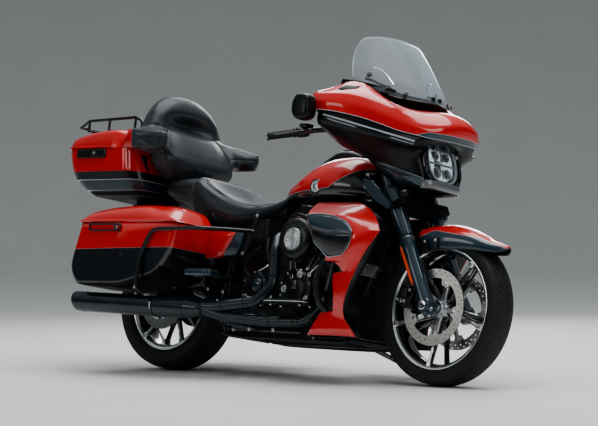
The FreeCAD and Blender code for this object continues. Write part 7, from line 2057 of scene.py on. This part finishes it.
# more bright fittings low on the engine's right side
fit = [revolve((150, -152, 330), (0, -1, 0), [(-10, 15), (8, 15), (11, 13), (11, 7), (8, 6), (8, 0.5)], 22), revolve((-66, -150, 330), (0, -1, 0), [(-8, 12), (8, 12), (10, 10), (10, 0.5)], 20),
       revolve((-120, -150, 300), (0, -1, 0), [(-8, 9), (8, 9), (10, 7), (10, 0.5)], 18), cyl_mesh((-150, -158, 448), (-96, -162, 470), 5, 12), cyl_mesh((-96, -162, 470), (-60, -158, 462), 5, 12)]
make("bright_fittings", *merge(*fit), "machined", "chassis", bevel=1)


# ------------------------------------------------------------------ CAD parts that stay, with their finishes
for n, m in NODE_MAT.items():
    ob = NODES.get(n)
    if ob is None:
        continue
    if not ob.material_slots:
        ob.data.materials.append(MATS[m])
    for sl_ in ob.material_slots:
        sl_.material = MATS[m]
for n, ob in NODES.items():
    if n not in NODE_MAT:
        for sl_ in ob.material_slots:
            sl_.material = MATS["plastic"]

# ------------------------------------------------------------------ floor, light, camera
cam_pos = Vector((6.761, -7.000, 0.722)) + SHIFT
yaw, pitch, roll, f_px = math.radians(133.98), 0.0, math.radians(-0.48), 2216.0
fw = Vector((math.cos(pitch) * math.cos(yaw), math.cos(pitch) * math.sin(yaw), math.sin(pitch)))
rt = fw.cross(Vector((0, 0, 1))).normalized()
up = rt.cross(fw)
c_, s_ = math.cos(roll), math.sin(roll)
rt2, up2 = rt * c_ + up * s_, up * c_ - rt * s_
cm = Matrix((rt2, up2, -fw)).transposed().to_4x4()
cm.translation = cam_pos
cam_data = bpy.data.cameras.new("camera")
cam_data.sensor_width = 36.0
cam_data.lens = f_px * 36.0 / 598.0
cam_data.clip_end = 200.0
cam = bpy.data.objects.new("camera", cam_data)
cam.matrix_world = cm
bpy.context.scene.collection.objects.link(cam)
bpy.context.scene.camera = cam

# floor that curves up into a pale wall behind the machine
flat_fw = Vector((fw.x, fw.y, 0)).normalized()
side = Vector((flat_fw.y, -flat_fw.x, 0))
prof = [(-26.0, 0.0), (-6.0, 0.0), (0.0, 0.0), (17.0, 0.0)] + [(17.0 + 5.0 * math.sin(a), 5.0 - 5.0 * math.cos(a)) for a in np.linspace(0.15, math.pi / 2, 12)] + [(22.0, 16.0)]
V_, F_ = [], []
for d, z in prof:
    for w in (-30.0, -10.0, 0.0, 10.0, 30.0):
        p = flat_fw * d + side * w
        V_.append((p.x, p.y, z))
for i in range(len(prof) - 1):
    for j in range(4):
        a = i * 5 + j
        F_.append((a, a + 1, a + 6, a + 5))
me = bpy.data.meshes.new("floor")
me.from_pydata(V_, [], F_)
for p in me.polygons:
    p.use_smooth = True
floor = bpy.data.objects.new("floor", me)
bpy.context.scene.collection.objects.link(floor)
m, nt, b = new_mat("floor")
nt.links.new(mixc(nt, noise(nt, 1.4, 5), (0.70, 0.70, 0.69), (0.76, 0.76, 0.75)), b.inputs["Base Color"])
b.inputs["Roughness"].default_value = 0.85
b.inputs["Specular IOR Level"].default_value = 0.2
me.materials.append(m)


def area(name, loc, target, size, size_y, power, colour=(1, 1, 1)):
    l = bpy.data.lights.new(name, "AREA")
    l.shape = "RECTANGLE"
    l.size, l.size_y = size, size_y
    l.energy = power
    l.color = colour
    o = bpy.data.objects.new(name, l)
    bpy.context.scene.collection.objects.link(o)
    o.location = loc
    d = Vector(target) - Vector(loc)
    o.rotation_euler = d.to_track_quat("-Z", "Y").to_euler()
    return o


area("top_soft", (0.2, 0.4, 4.6), (0.0, -0.1, 0.6), 5.6, 3.6, 210, (0.97, 0.99, 1.0))
area("front_soft", (5.4, -2.2, 2.7), (0.4, -0.1, 0.7), 2.2, 1.8, 34)
area("side_soft", (-1.8, -5.6, 2.6), (-0.2, 0.0, 0.5), 3.4, 1.2, 30, (1.0, 0.98, 0.95))
area("back_soft", (-2.6, 3.8, 2.8), (0.0, 0.0, 0.8), 2.8, 1.4, 70)

wd = bpy.data.worlds.new("soft_room")
bpy.context.scene.world = wd
wd.use_nodes = True
wn = wd.node_tree
bg = wn.nodes["Background"]
tc = wn.nodes.new("ShaderNodeTexCoord")
sp = wn.nodes.new("ShaderNodeSeparateXYZ")
wn.links.new(tc.outputs["Generated"], sp.inputs[0])
cr = wn.nodes.new("ShaderNodeValToRGB")
cr.color_ramp.elements[0].position = 0.0
cr.color_ramp.elements[0].color = (0.045, 0.06, 0.07, 1)
cr.color_ramp.elements[1].position = 1.0
cr.color_ramp.elements[1].color = (0.95, 0.98, 1.0, 1)
e_ = cr.color_ramp.elements.new(0.22)
e_.color = (0.10, 0.125, 0.14, 1)
e_ = cr.color_ramp.elements.new(0.55)
e_.color = (0.62, 0.66, 0.68, 1)
wn.links.new(sp.outputs[2], cr.inputs[0])
wn.links.new(cr.outputs[0], bg.inputs[0])
bg.inputs[1].default_value = 0.50

bpy.context.scene.view_settings.view_transform = "AgX"
bpy.context.scene.view_settings.look = "AgX - Medium High Contrast"
